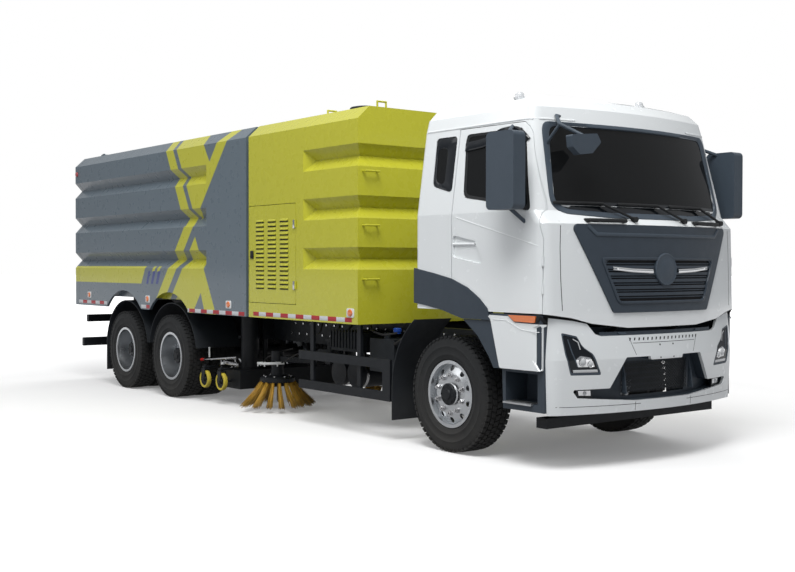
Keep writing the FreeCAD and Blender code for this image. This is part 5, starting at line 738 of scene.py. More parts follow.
def shape_group(name, inputs):
    """A geometry group that takes a shape, its own inputs and a material."""
    return group(name, "GeometryNodeTree",
                 [("Geometry", "NodeSocketGeometry", None), *inputs, ("Material", "NodeSocketMaterial", None)],
                 [("Geometry", "NodeSocketGeometry")])


def finished(web, shape, given, out):
    real = web.add("GeometryNodeRealizeInstances", Geometry=shape).outputs[0]
    web.feed(out.inputs[0], web.add("GeometryNodeSetMaterial", Geometry=real, Material=given["Material"]).outputs[0])
    return web.tree


def ring_tree():
    """Repeats the incoming shape round an axis through a centre."""
    web, given, out = shape_group("repeat_round", [
        ("Count", "NodeSocketInt", 8), ("Centre", "NodeSocketVector", ORIGIN),
        ("Axis", "NodeSocketVector", (0.0, 1.0, 0.0)), ("Start", "NodeSocketFloat", 0.0)])
    minus = web.vector("SCALE", given["Centre"])
    minus.node.inputs["Scale"].default_value = -1.0
    moved = web.add("GeometryNodeTransform", Geometry=given["Geometry"], Translation=minus).outputs[0]
    points = web.add("GeometryNodeMeshLine", Count=given["Count"], Start_Location=given["Centre"], Offset=(0, 0, 0))
    index = web.add("GeometryNodeInputIndex").outputs[0]
    turn = web.math("MULTIPLY", web.math("DIVIDE", index, given["Count"]), 2 * math.pi)
    angle = web.math("ADD", turn, given["Start"])
    turn = web.add("FunctionNodeAxisAngleToRotation", Axis=given["Axis"], Angle=angle).outputs[0]
    placed = web.add("GeometryNodeInstanceOnPoints", Points=points.outputs[0], Instance=moved, Rotation=turn).outputs[0]
    return finished(web, placed, given, out)


def row_tree():
    """Repeats the incoming shape in rows and columns."""
    web, given, out = shape_group("repeat_rows", [
        ("Count", "NodeSocketInt", 8), ("Step", "NodeSocketVector", (0.0, 0.0, 0.1)),
        ("Rows", "NodeSocketInt", 1), ("Row Step", "NodeSocketVector", (0.1, 0.0, 0.0))])

    def along(shape, count, step):
        points = web.add("GeometryNodeMeshLine", Count=count)
        web.feed(points.inputs["Offset"], step)
        return web.add("GeometryNodeInstanceOnPoints", Points=points.outputs[0], Instance=shape).outputs[0]

    rows = along(along(given["Geometry"], given["Count"], given["Step"]), given["Rows"], given["Row Step"])
    return finished(web, rows, given, out)


def bowed_tree():
    """Repeats the incoming shape along a line that falls back at its ends, in rows."""
    web, given, out = shape_group("repeat_bowed", [
        ("Count", "NodeSocketInt", 8), ("Start", "NodeSocketVector", ORIGIN),
        ("End", "NodeSocketVector", (0.0, 1.0, 0.0)), ("Bow", "NodeSocketFloat", 0.02),
        ("Rows", "NodeSocketInt", 1), ("Row Step", "NodeSocketVector", (0.0, 0.0, 0.02))])
    points = web.add("GeometryNodeMeshLine", Count=given["Count"])
    index = web.add("GeometryNodeInputIndex").outputs[0]
    share = web.math("DIVIDE", index, web.math("SUBTRACT", given["Count"], 1.0))
    run = web.vector("SUBTRACT", given["End"], given["Start"])
    along = web.vector("SCALE", run)
    web.feed(along.node.inputs["Scale"], share)
    off = web.math("MULTIPLY_ADD", share, 2.0, -1.0)
    fall = web.math("MULTIPLY", web.math("MULTIPLY", off, off), web.math("MULTIPLY", given["Bow"], -1.0))
    place = web.vector("ADD", web.vector("ADD", given["Start"], along),
                       web.add("ShaderNodeCombineXYZ", fall, 0.0, 0.0).outputs[0])
    spread = web.add("GeometryNodeSetPosition", Geometry=points.outputs[0], Position=place).outputs[0]
    slope = web.math("DIVIDE", web.math("MULTIPLY", off, web.math("MULTIPLY", given["Bow"], 4.0)),
                     web.vector("LENGTH", run))
    turn = web.add("ShaderNodeCombineXYZ", 0.0, 0.0, slope).outputs[0]
    turned = web.add("FunctionNodeEulerToRotation", turn).outputs[0]
    line = web.add("GeometryNodeInstanceOnPoints", Points=spread, Instance=given["Geometry"], Rotation=turned)
    stack = web.add("GeometryNodeMeshLine", Count=given["Rows"])
    web.feed(stack.inputs["Offset"], given["Row Step"])
    block = web.add("GeometryNodeInstanceOnPoints", Points=stack.outputs[0], Instance=line.outputs[0]).outputs[0]
    return finished(web, block, given, out)


def broom_tree():
    """Bunches of bristles that flare from a disc and end on the road."""
    web, given, out = shape_group("bristle_fan", [
        ("Strands", "NodeSocketInt", 1000), ("Bunches", "NodeSocketInt", 20),
        ("Root Radius", "NodeSocketFloat", 0.17), ("Flare", "NodeSocketFloat", 0.5),
        ("Centre", "NodeSocketVector", (0.0, 0.0, 0.35)), ("Seed", "NodeSocketInt", 3)])
    index = web.add("GeometryNodeInputIndex").outputs[0]

    def chance(low, high, salt):
        node = web.add("FunctionNodeRandomValue", data_type="FLOAT")
        for key, value in (("Min", low), ("Max", high), ("ID", index), ("Seed", web.math("ADD", given["Seed"], salt))):
            sockets = [s for s in node.inputs if s.name == key and s.enabled]
            web.feed(sockets[0], value)
        return [s for s in node.outputs if s.enabled][0]

    turn_share = web.math("DIVIDE", web.math("MODULO", index, given["Bunches"]), given["Bunches"])
    angle = web.math("ADD", web.math("MULTIPLY", turn_share, 2 * math.pi), chance(-0.075, 0.075, 11))
    reach = web.math("MULTIPLY", given["Root Radius"], chance(0.82, 1.12, 12))
    place = web.add("ShaderNodeCombineXYZ", web.math("MULTIPLY", web.math("COSINE", angle), reach),
                    web.math("MULTIPLY", web.math("SINE", angle), reach), chance(-0.012, 0.012, 16)).outputs[0]
    place = web.vector("ADD", place, given["Centre"])
    points = web.add("GeometryNodeMeshLine", Count=given["Strands"])
    points.inputs["Offset"].default_value = (0, 0, 0)
    spread = web.add("GeometryNodeSetPosition", Geometry=points.outputs[0], Position=place).outputs[0]
    bunch = web.math("MULTIPLY", web.math("SINE", web.math("MULTIPLY", turn_share, 71.0)), 0.10)
    lean = web.math("ADD", web.math("ADD", given["Flare"], bunch), chance(-0.085, 0.085, 13))
    around = web.math("ADD", angle, chance(-0.06, 0.06, 14))
    turn = web.add("ShaderNodeCombineXYZ", 0.0, web.math("MULTIPLY", lean, -1.0), around).outputs[0]
    scale = web.math("MULTIPLY", chance(0.88, 1.0, 15), web.math("DIVIDE", 0.88, web.math("COSINE", lean)))
    turned = web.add("FunctionNodeEulerToRotation", turn).outputs[0]
    placed = web.add("GeometryNodeInstanceOnPoints", Points=spread, Instance=given["Geometry"], Rotation=turned)
    web.feed(placed.inputs["Scale"], web.add("ShaderNodeCombineXYZ", 1.0, 1.0, scale).outputs[0])
    tone = web.add("GeometryNodeStoreNamedAttribute", Geometry=placed.outputs[0], data_type="FLOAT", domain="INSTANCE")
    tone.inputs["Name"].default_value = "shade"
    web.feed([s for s in tone.inputs if s.name == "Value" and s.enabled][0], chance(0.0, 1.0, 17))
    return finished(web, tone.outputs[0], given, out)


def grown(name, bm, tree, finish, values):
    """The mesh that a tree makes of a seed shape."""
    seed = linked(name + "_seed", to_mesh(name + "_seed", bm))
    modifier = seed.modifiers.new("repeat", "NODES")
    modifier.node_group = GROUPS[tree]
    named = {s.name: s.identifier for s in GROUPS[tree].interface.items_tree if s.in_out == "INPUT"}
    for key, value in {**values, "Material": FINISH[finish]}.items():
        modifier[named[key]] = value
    result = evaluated(seed)
    seed.modifiers.remove(modifier)
    bpy.data.objects.remove(seed)
    return result


def join(meshes):
    """Several meshes in one mesh in the making."""
    bm = new_mesh()
    for mesh in meshes:
        bm.from_mesh(mesh)
        bpy.data.meshes.remove(mesh)
    return bm


def ring(bm, count, centre, axis, finish, start=0.0):
    return grown("ring", bm, "ring", finish, {"Count": count, "Centre": centre, "Axis": axis, "Start": start})


def rows(bm, count, step, finish, lines=1, line_step=(0.1, 0.0, 0.0)):
    return grown("rows", bm, "rows", finish, {"Count": count, "Step": step, "Rows": lines, "Row Step": line_step})


class SWEEPER_OT_repeats(Operator):
    """Builds the node trees that repeat a shape"""
    bl_idname = "sweeper.repeats"
    bl_label = "Repeats"

    def execute(self, context):
        GROUPS["ring"] = ring_tree()
        GROUPS["rows"] = row_tree()
        GROUPS["bowed"] = bowed_tree()
        GROUPS["broom"] = broom_tree()
        return {"FINISHED"}


# Wheels
TYRE_WIDTH = 0.29
TYRE_RADIUS = 0.52
# The ribs of the tread: middle and width
RIBS = ((-0.112, 0.044), (-0.058, 0.044), (0.0, 0.050), (0.058, 0.044), (0.112, 0.044))
BEAD = 0.296
# The wall's profile: radius, and how far inside the widest place it lies
WALL = ((BEAD, 0.035), (0.315, 0.012), (0.345, 0.004), (0.352, 0.0), (0.362, 0.001), (0.372, 0.005), (0.415, 0.001),
        (0.424, -0.003), (0.434, 0.002), (0.462, 0.006), (0.484, 0.011))
LUG_LEAN = 0.012


def add_lug(bm, x, y, place, wide, arc, lean, low, high):
    """One lug of a rib, from the radius low to high, leaning round the tyre."""
    corners = []
    for r in (low, high):
        for a, w in ((-arc, -1), (-arc, 1), (arc, 1), (arc, -1)):
            turn = a + w * lean
            corner = x + r * math.sin(turn), y + place + w * wide / 2, WHEEL_Z + r * math.cos(turn)
            corners.append(bm.verts.new(corner))
    faces = [bm.faces.new([corners[i] for i in f])
             for f in ((4, 5, 6, 7), (0, 1, 5, 4), (1, 2, 6, 5), (2, 3, 7, 6), (3, 0, 4, 7), (3, 2, 1, 0))]
    bmesh.ops.recalc_face_normals(bm, faces=faces)


def tyre_meshes(x, y):
    """One tyre: its carcass, then the lugs of its ribs and of its shoulders."""
    half = TYRE_WIDTH / 2
    deep = TYRE_RADIUS - sizes().lug_depth
    wall = [(r, half - inside) for r, inside in WALL] + [(deep - 0.004, half - 0.020), (deep, half - 0.034)]
    bm = new_mesh()
    add_lathe(bm, wall + [(r, -t) for r, t in reversed(wall)], (x, y, WHEEL_Z), (0, 1, 0), 72)
    meshes = [to_mesh("carcass", bm)]
    count = sizes().lug_count
    arc = math.tau / count
    for number, (place, wide) in enumerate(RIBS):
        shoulder = abs(place) > 0.1
        share, lean, low = (0.72, 0.0, 0.003) if shoulder else (0.80, LUG_LEAN, 0.0)
        bm = new_mesh()
        add_lug(bm, x, y, place, wide, arc * share / 2, lean if number % 2 else -lean, deep - 0.004, TYRE_RADIUS - low)
        meshes.append(ring(bm, count, (x, y, WHEEL_Z), (0, 1, 0), "tyre_rubber", start=arc * 0.5 * (number % 2)))
    bm = new_mesh()
    for w in (-1, 1):
        edge, top = y + w * (half - 0.022), WHEEL_Z + deep
        add_box(bm, (x - 0.004, edge - 0.012, top - 0.035), (x + 0.004, edge + 0.012, top - 0.004))
    return meshes + [ring(bm, count, (x, y, WHEEL_Z), (0, 1, 0), "tyre_rubber")]


class SWEEPER_OT_tyres(Operator):
    """Tyres with lugs and ribbed walls, in the place of the plain ones"""
    bl_idname = "sweeper.tyres"
    bl_label = "Tyres"

    def execute(self, context):
        for side, s in SIDES:
            meshes = tyre_meshes(FRONT_AXLE, s * 1.03)
            piece = dress("tread_front_" + side, join(meshes), "tyre_rubber", "wheel_front_" + side)
            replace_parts(piece, "tyre_front_" + side)
            for number, x in zip("23", REAR_AXLES):
                meshes = tyre_meshes(x, s * 0.76) + tyre_meshes(x, s * 1.09)
                piece = dress(f"treads_axle{number}_{side}", join(meshes), "tyre_rubber", f"wheels_axle{number}_{side}")
                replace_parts(piece, f"tyres_axle{number}_{side}")
        return {"FINISHED"}


HUB = ((0, -0.002), (0.098, -0.002), (0.098, 0.010), (0.088, 0.020), (0.050, 0.024), (0.044, 0.036), (0, 0.038))


def nut_ring(x, s, nodes):
    """Wheel nuts with washers on the disc of a rim, found along the wheel's axis."""
    place = hit(nodes, (x, s * 1.6, WHEEL_Z + 0.1675), (0, -s, 0))[0]
    bm = new_mesh()
    add_disc(bm, place - Vector((0, s * 0.001, 0)), (0, s, 0), 0.026, 0.005, 14)
    add_disc(bm, place, (0, s, 0), 0.0215, 0.026, 6, 0.002)
    add_disc(bm, place, (0, s, 0), 0.0115, 0.044, 10, 0.002)
    return ring(bm, 10, (x, place.y, WHEEL_Z), (0, 1, 0), "bright_steel")


def hub_cover(x, s, nodes):
    """A closed cover with a ring of bolts in the middle of a rim."""
    place = hit(nodes, (x, s * 1.6, WHEEL_Z + 0.02), (0, -s, 0))[0]
    bm = new_mesh()
    add_disc(bm, (x, place.y + s * 0.012, WHEEL_Z + 0.078), (0, s, 0), 0.008, 0.014, 6, 0.001)
    cover = join([ring(bm, 8, (x, place.y, WHEEL_Z), (0, 1, 0), "chassis_paint")])
    add_lathe(cover, HUB, (x, place.y, WHEEL_Z), (0, s, 0), 36)
    return cover


class SWEEPER_OT_wheel_parts(Operator):
    """Wheel nuts and hub covers on the rims"""
    bl_idname = "sweeper.wheel_parts"
    bl_label = "Wheel nuts and hubs"

    def execute(self, context):
        for side, s in SIDES:
            sets = [("front", FRONT_AXLE, "rim_front_" + side, "wheel_front_" + side)]
            sets += [(f"axle{n}", x, f"rims_axle{n}_{side}", f"wheels_axle{n}_{side}")
                     for n, x in zip("23", REAR_AXLES)]
            for label, x, node, body in sets:
                dress_mesh(f"nuts_{label}_{side}", nut_ring(x, s, (node,)), "bright_steel", body)
                dress(f"hub_cover_{label}_{side}", hub_cover(x, s, (node,)), "chassis_paint", body)
        return {"FINISHED"}


# Brooms
BROOM_PLATE = ((0.03, 0.33), (0.19, 0.325), (0.20, 0.335), (0.20, 0.372), (0.185, 0.385), (0.10, 0.392), (0.075, 0.41),
               (0.07, 0.47), (0.03, 0.47))
BROOM_COLLAR = ((0.03, 0.46), (0.066, 0.46), (0.07, 0.47), (0.07, 0.50), (0.06, 0.51), (0.03, 0.51))


def broom_middle(side):
    low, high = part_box("broom_" + side)
    return (low.x + high.x) / 2, (low.y + high.y) / 2


class SWEEPER_OT_brooms(Operator):
    """Side brooms: a plate, a collar and bristles in bunches, in the place of the plain ones"""
    bl_idname = "sweeper.brooms"
    bl_label = "Side brooms"

    def execute(self, context):
        for side, s in SIDES:
            x, y = broom_middle(side)
            bm = new_mesh()
            long = sizes().bristle_length
            add_tube(bm, [(0, 0, 0), (0.004, 0, -long / 2), (0.022, 0, -long)], 0.0022, 4)
            fan = grown("bristles", bm, "broom", "bristles",
                        {"Strands": sizes().strands, "Bunches": 15, "Root Radius": 0.155, "Flare": 0.56,
                         "Centre": (x, y, 0.36), "Seed": 3 if s < 0 else 8})
            piece = dress_mesh("broom_bristles_" + side, fan, "bristles", "broom_" + side, None)
            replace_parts(piece, "broom_" + side)
            bm = new_mesh()
            add_lathe(bm, BROOM_PLATE, (x, y, 0), (0, 0, 1), 36)
            add_lathe(bm, BROOM_COLLAR, (x, y, 0), (0, 0, 1), 24)
            dress("broom_plate_" + side, bm, "chassis_paint", "broom_" + side)
            bm = new_mesh()
            add_disc(bm, (x + 0.155, y, 0.388), (0, 0, 1), 0.011, 0.012, 6, 0.001)
            dress_mesh("broom_bolts_" + side, ring(bm, 8, (x, y, 0.39), (0, 0, 1), "bright_steel"), "bright_steel",
                       "broom_" + side)
        return {"FINISHED"}


# Trims laid on a surface
def rounded(points, radius, parts=4):
    """A closed outline with its corners rounded."""
    line = []
    for i, point in enumerate(points):
        a, b, c = Vector(points[i - 1]), Vector(point), Vector(points[(i + 1) % len(points)])
        start = b + (a - b).normalized() * min(radius, (a - b).length * 0.45)
        end = b + (c - b).normalized() * min(radius, (c - b).length * 0.45)
        for step in range(parts + 1):
            t = step / parts
            line.append(start * (1 - t) ** 2 + b * (2 * t * (1 - t)) + end * t ** 2)
    return line


def paired(first, second, closed, step=0.04):
    """Two lines cut at the same shares into short runs."""
    count = len(first)
    one, two = [], []
    for i in range(count if closed else count - 1):
        j = (i + 1) % count
        a, b, c, d = (Vector(p) for p in (first[i], first[j], second[i], second[j]))
        cuts = max(1, math.ceil(max((b - a).length, (d - c).length) / step))
        one += [a.lerp(b, k / cuts) for k in range(cuts)]
        two += [c.lerp(d, k / cuts) for k in range(cuts)]
    if not closed:
        one.append(Vector(first[-1]))
        two.append(Vector(second[-1]))
    return one, two


def sides_of(line, width, closed):
    """The two edges of a band whose middle is a line."""
    edges = ([], [])
    pts = [Vector(p) for p in line]
    for i, p in enumerate(pts):
        before = pts[i - 1] if i or closed else p
        after = pts[(i + 1) % len(pts)] if i < len(pts) - 1 or closed else p
        runs = [d.normalized() for d in (p - before, after - p) if d.length > 1e-9]
        tangent = sum(runs, Vector((0, 0))).normalized()
        across = Vector((-tangent.y, tangent.x)) / max(0.6, tangent.dot(runs[0]))
        for edge, side in zip(edges, (-0.5, 0.5)):
            edge.append(p + across * width * side)
    return edges


def add_band(bm, first, second, cast, thick, closed, lift=0.0):
    """A band between two lines on a surface that cast finds; its upper corners are chamfered."""
    stations = []
    for a, b in zip(*paired(first, second, closed)):
        across = b - a
        inset = across.normalized() * min(thick, across.length * 0.25)
        section = []
        for p, raise_by in ((a, -0.001), (a, thick * 0.6), (a + inset, thick),
                            (b - inset, thick), (b, thick * 0.6), (b, -0.001)):
            place, normal = cast(p.x, p.y)
            section.append(bm.verts.new(place + normal * (lift + raise_by)))
        stations.append(section)
    faces = []
    pairs = list(zip(stations, stations[1:]))
    if closed:
        pairs.append((stations[-1], stations[0]))
    for one, two in pairs:
        faces += walls(bm, one, two)
    if not closed:
        faces += [bm.faces.new(stations[0]), bm.faces.new(stations[-1])]
    bmesh.ops.recalc_face_normals(bm, faces=faces)


def add_line(bm, line, width, cast, thick=0.002, closed=False, lift=0.0):
    add_band(bm, *sides_of(line, width, closed), cast, thick, closed, lift)


def add_frame(bm, outer, inner, radius, cast, thick, inner_radius=None):
    add_band(bm, rounded(outer, radius), rounded(inner, inner_radius or radius), cast, thick, True)


def smooth_line(points):
    return [Vector((p.x, p.y)) for p in smooth_path([(x, z, 0) for x, z in points], 5)]


def mirror_line(points):
    """An outline whose right half is given from the foot up, made whole."""
    return [(-y, z) for y, z in points] + [(y, z) for y, z in reversed(points)]


# Outlines are in metres: y and z on the front, x and z on the sides
SCREEN_OUTER = ((0.55, 2.052), (0.990, 2.082), (1.078, 2.150), (1.086, 2.230), (1.052, 2.790), (1.018, 2.848))
SCREEN_INNER = ((0.54, 2.096), (0.955, 2.122), (1.030, 2.180), (1.040, 2.250), (0.985, 2.765), (0.950, 2.812))
WINDOW = ((3.645, 2.800), (3.691, 2.249), (4.012, 2.199), (4.525, 2.100), (4.460, 2.380), (4.405, 2.660),
          (4.340, 2.800))
WINDOW_IN = ((3.672, 2.775), (3.716, 2.272), (4.016, 2.225), (4.487, 2.134), (4.428, 2.380), (4.376, 2.650),
             (4.322, 2.775))
QUARTER = ((3.240, 2.800), (3.250, 2.370), (3.525, 2.300), (3.525, 2.800))
QUARTER_IN = ((3.275, 2.705), (3.285, 2.405), (3.405, 2.375), (3.405, 2.705))
VISOR = ((3.655, 2.690), (3.86, 2.705), (3.99, 2.735), (4.09, 2.772), (4.24, 2.780), (4.33, 2.748), (4.40, 2.680))


class SWEEPER_OT_windows(Operator):
    """Frames and seals of the windows, wind visors and rain gutters"""
    bl_idname = "sweeper.windows"
    bl_label = "Window frames"

    def execute(self, context):
        cast = front_of("cab_shell", "cab_glass")
        bm = new_mesh()
        add_frame(bm, mirror_line(SCREEN_OUTER), mirror_line(SCREEN_INNER), 0.05, cast, 0.008)
        dress("screen_frame", bm, "mirror_plastic", "cab")
        bm = new_mesh()
        low = [(y, 2.125 if abs(y) > 0.99 else 2.100) for y in (-1.025, -0.9, -0.5, 0.0, 0.5, 0.9, 1.025)]
        high = [(y, 2.185) for y, _ in low]
        add_band(bm, low, high, cast, 0.003, False)
        dress("screen_border", bm, "border_glass", "cab")
        for side, s in SIDES:
            cast = side_of(s, "door_" + side, "door_glass_" + side)
            bm = new_mesh()
            add_frame(bm, WINDOW, WINDOW_IN, 0.05, cast, 0.004)
            dress("window_seal_" + side, bm, "seal_rubber", "door_" + side)
            bm = new_mesh()
            add_line(bm, smooth_line(VISOR), 0.075, cast, 0.012, lift=0.006)
            dress("wind_visor_" + side, bm, "border_glass", "door_" + side)
            cast = side_of(s, "cab_shell", "cab_glass")
            bm = new_mesh()
            add_frame(bm, QUARTER, QUARTER_IN, 0.05, cast, 0.004)
            dress("quarter_border_" + side, bm, "border_glass", "cab")
            bm = new_mesh()
            add_line(bm, [(x, 2.868) for x in (3.10, 3.4, 3.8, 4.2, 4.52)], 0.014, cast, 0.006)
            dress("rain_gutter_" + side, bm, "white_paint", "cab")
        return {"FINISHED"}


# Front panel
GRILLE = ((0.540, 1.370), (0.700, 1.707))
GRILLE_RIM = ((0.560, 1.345), (0.735, 1.732))
CHROME = ((0.165, 1.614), (0.400, 1.620), (0.610, 1.636))
PANEL_LIP = ((-0.845, 1.985), (-0.765, 1.918), (-0.4, 1.916), (0, 1.915), (0.4, 1.916), (0.765, 1.918), (0.845, 1.985))
PANEL_LIFT = 0.014
BOSS = ((0, 0.0), (0.138, 0.0), (0.138, 0.020), (0.130, 0.026), (0.120, 0.022), (0.080, 0.030), (0, 0.034))
GRILLE_BARS, BAR_FOOT, BAR_PITCH = 6, 1.398, 0.0562


class SWEEPER_OT_front_panel(Operator):
    """A near-black sheet of painted shade behind the grille, its frame and bright bars, and the moulded lip over them
    """
    bl_idname = "sweeper.front_panel"
    bl_label = "Front panel"

    def execute(self, context):
        shell = front_of("cab_shell")
        # A near-black sheet over the grille's opening: painted shade of the space behind the grille
        bm = new_mesh()
        inner = mirror_line(GRILLE)
        drape(bm, inner, shell, 0.0005, 0.002, 0.05)
        dress("grille_shade_sheet", bm, "painted_shade", "cab")
        bm = new_mesh()
        add_frame(bm, mirror_line(GRILLE_RIM), inner, 0.05, front_of("grille_panel", "cab_shell"), 0.010, 0.035)
        for number in range(GRILLE_BARS):
            z = BAR_FOOT + number * BAR_PITCH
            wide = 0.535 + (z - 1.370) * 0.475
            add_line(bm, [(-wide, z), (0, z), (wide, z)], 0.013, shell, 0.009)
        dress("grille_frame", bm, "panel_plastic", "cab")
        bm = new_mesh()
        for s in (-1, 1):
            foot = [(s * y, z - 0.017 * (1.15 - y)) for y, z in CHROME]
            head = [(s * y, z + 0.017) for y, z in CHROME]
            add_band(bm, foot, head, shell, 0.012, False, PANEL_LIFT)
        dress("bright_bars", bm, "chrome", "cab")
        bm = new_mesh()
        place, normal = shell(0, 1.630)
        add_lathe(bm, BOSS, place + normal * 0.002, normal, 48)
        dress("panel_boss", bm, "mirror_plastic", "cab")
        bm = new_mesh()
        add_line(bm, PANEL_LIP, 0.030, front_of("grille_panel"), 0.008)
        dress("panel_lip", bm, "mirror_plastic", "cab")
        bm = new_mesh()
        for s in (-1, 1):
            seam_line = [(s * 1.085, 2.02), (s * 1.095, 1.80), (s * 1.095, 1.55), (s * 1.085, 1.30)]
            add_line(bm, seam_line, 0.006, shell, 0.0008)
        dress("cab_seams", bm, "seal_rubber", "cab")
        return {"FINISHED"}


# Lamps
LAMP = ((1.087, 1.123), (0.949, 1.092), (0.903, 1.006), (0.812, 0.947), (0.731, 0.774), (1.016, 0.779), (1.065, 0.949))


def shrunk(outline, share):
    """An outline drawn in towards its middle."""
    middle = sum((Vector(p) for p in outline), Vector((0, 0))) / len(outline)
    return [middle + (Vector(p) - middle) * share for p in outline]


def lamp_axis(normal):
    """A lamp looks mostly ahead and a little along the skin's normal."""
    return Vector((1, 0, 0)) * 0.6 + normal * 0.4


def lamp_unit(bm, cast, y, z, radius):
    """A round reflector."""
    place, normal = cast(y, z)
    bowl = [(0, 0.0), (radius, 0.0), (radius, 0.0048), (radius * 0.92, 0.006), (radius * 0.80, 0.0018), (0, 0.0012)]
    add_lathe(bm, bowl, place, lamp_axis(normal), 28)


def lens_dome(bm, cast, y, z, radius, rise):
    place, normal = cast(y, z)
    arc = [(radius * math.cos(t), rise * math.sin(t)) for t in (0.3, 0.7, 1.1)]
    profile = [(0, 0), (radius, 0), *arc, (0, rise)]
    add_lathe(bm, profile, place + normal * 0.001, lamp_axis(normal), 24)


class SWEEPER_OT_front_lamps(Operator):
    """Insides of head lamps and fog lamps: rims, reflectors, lenses and light strips"""
    bl_idname = "sweeper.front_lamps"
    bl_label = "Head and fog lamps"

    def execute(self, context):
        cast = front_of("headlamps", "bumper")
        for side, s in SIDES:

            def here(*points):
                return [(s * y, z) for y, z in points]

            outline = here(*LAMP)
            bm = new_mesh()
            add_frame(bm, outline, shrunk(outline, 0.90), 0.02, cast, 0.004)
            add_line(bm, here((1.030, 1.070), (1.000, 0.960), (0.955, 0.850)), 0.010, cast, 0.003)
            dress("lamp_rim_" + side, bm, "mirror_plastic", "chassis")
            bm = new_mesh()
            add_band(bm, here((0.765, 0.797), (0.99, 0.800)), here((0.772, 0.820), (0.996, 0.823)), cast, 0.004, False)
            add_line(bm, here((0.985, 1.070), (0.940, 1.045), (0.925, 0.985)), 0.008, cast, 0.003)
            for y, z, radius, rise in ((0.905, 0.885, 0.030, 0.014), (0.835, 0.865, 0.022, 0.010)):
                lens_dome(bm, cast, s * y, z, radius, rise)
            dress("lamp_lenses_" + side, bm, "clear_lens", "chassis")
            bm = new_mesh()
            reflector = here((0.795, 0.842), (0.955, 0.845), (0.972, 0.905), (0.930, 0.935), (0.838, 0.918))
            drape(bm, rounded(reflector, 0.012, 3), cast, 0.0005, 0.002, 0.03)
            lamp_unit(bm, cast, s * 0.905, 0.885, 0.040)
            lamp_unit(bm, cast, s * 0.835, 0.865, 0.030)
            dress("lamp_reflector_" + side, bm, "chrome", "chassis")
            fog = front_of("headlamps", "lower_grille", "bumper")
            bm = new_mesh()
            drape(bm, here((0.795, 0.604), (0.905, 0.610), (0.915, 0.648), (0.800, 0.646)), fog, 0.0005, 0.002, 0.03)
            dress("fog_reflector_" + side, bm, "chrome", "chassis")
            bm = new_mesh()
            lens_dome(bm, fog, s * 0.850, 0.627, 0.019, 0.010)
            dress("fog_lens_" + side, bm, "clear_lens", "chassis")
        return {"FINISHED"}


# Bumper
def bowed(bm, finish, count, start, end, bow, lines=1, line_step=(0.0, 0.0, 0.02)):
    """A shape repeated from start to end along a shallow bow that falls back at its ends."""
    return grown("bowed", bm, "bowed", finish,
                 {"Count": count, "Start": start, "End": end, "Bow": bow, "Rows": lines, "Row Step": line_step})


CELL, CELL_PITCH, CELL_SHIFT = 0.0222, 0.0262, 0.0176


def add_hex(bm, size=CELL, wall=0.0035, depth=0.006, squeeze=0.62):
    """One cell of the mesh: a flat six-sided ring in the yz plane."""
    rings = []
    for r, x in ((size, 0), (size - wall, 0), (size - wall, -depth), (size, -depth)):
        turns = [math.pi / 3 * k for k in range(6)]
        rings.append([bm.verts.new((x, r * math.cos(a), r * math.sin(a) * squeeze)) for a in turns])
    faces = []
    for one, two in zip(rings, rings[1:] + rings[:1]):
        faces += walls(bm, one, two)
    bmesh.ops.recalc_face_normals(bm, faces=faces)


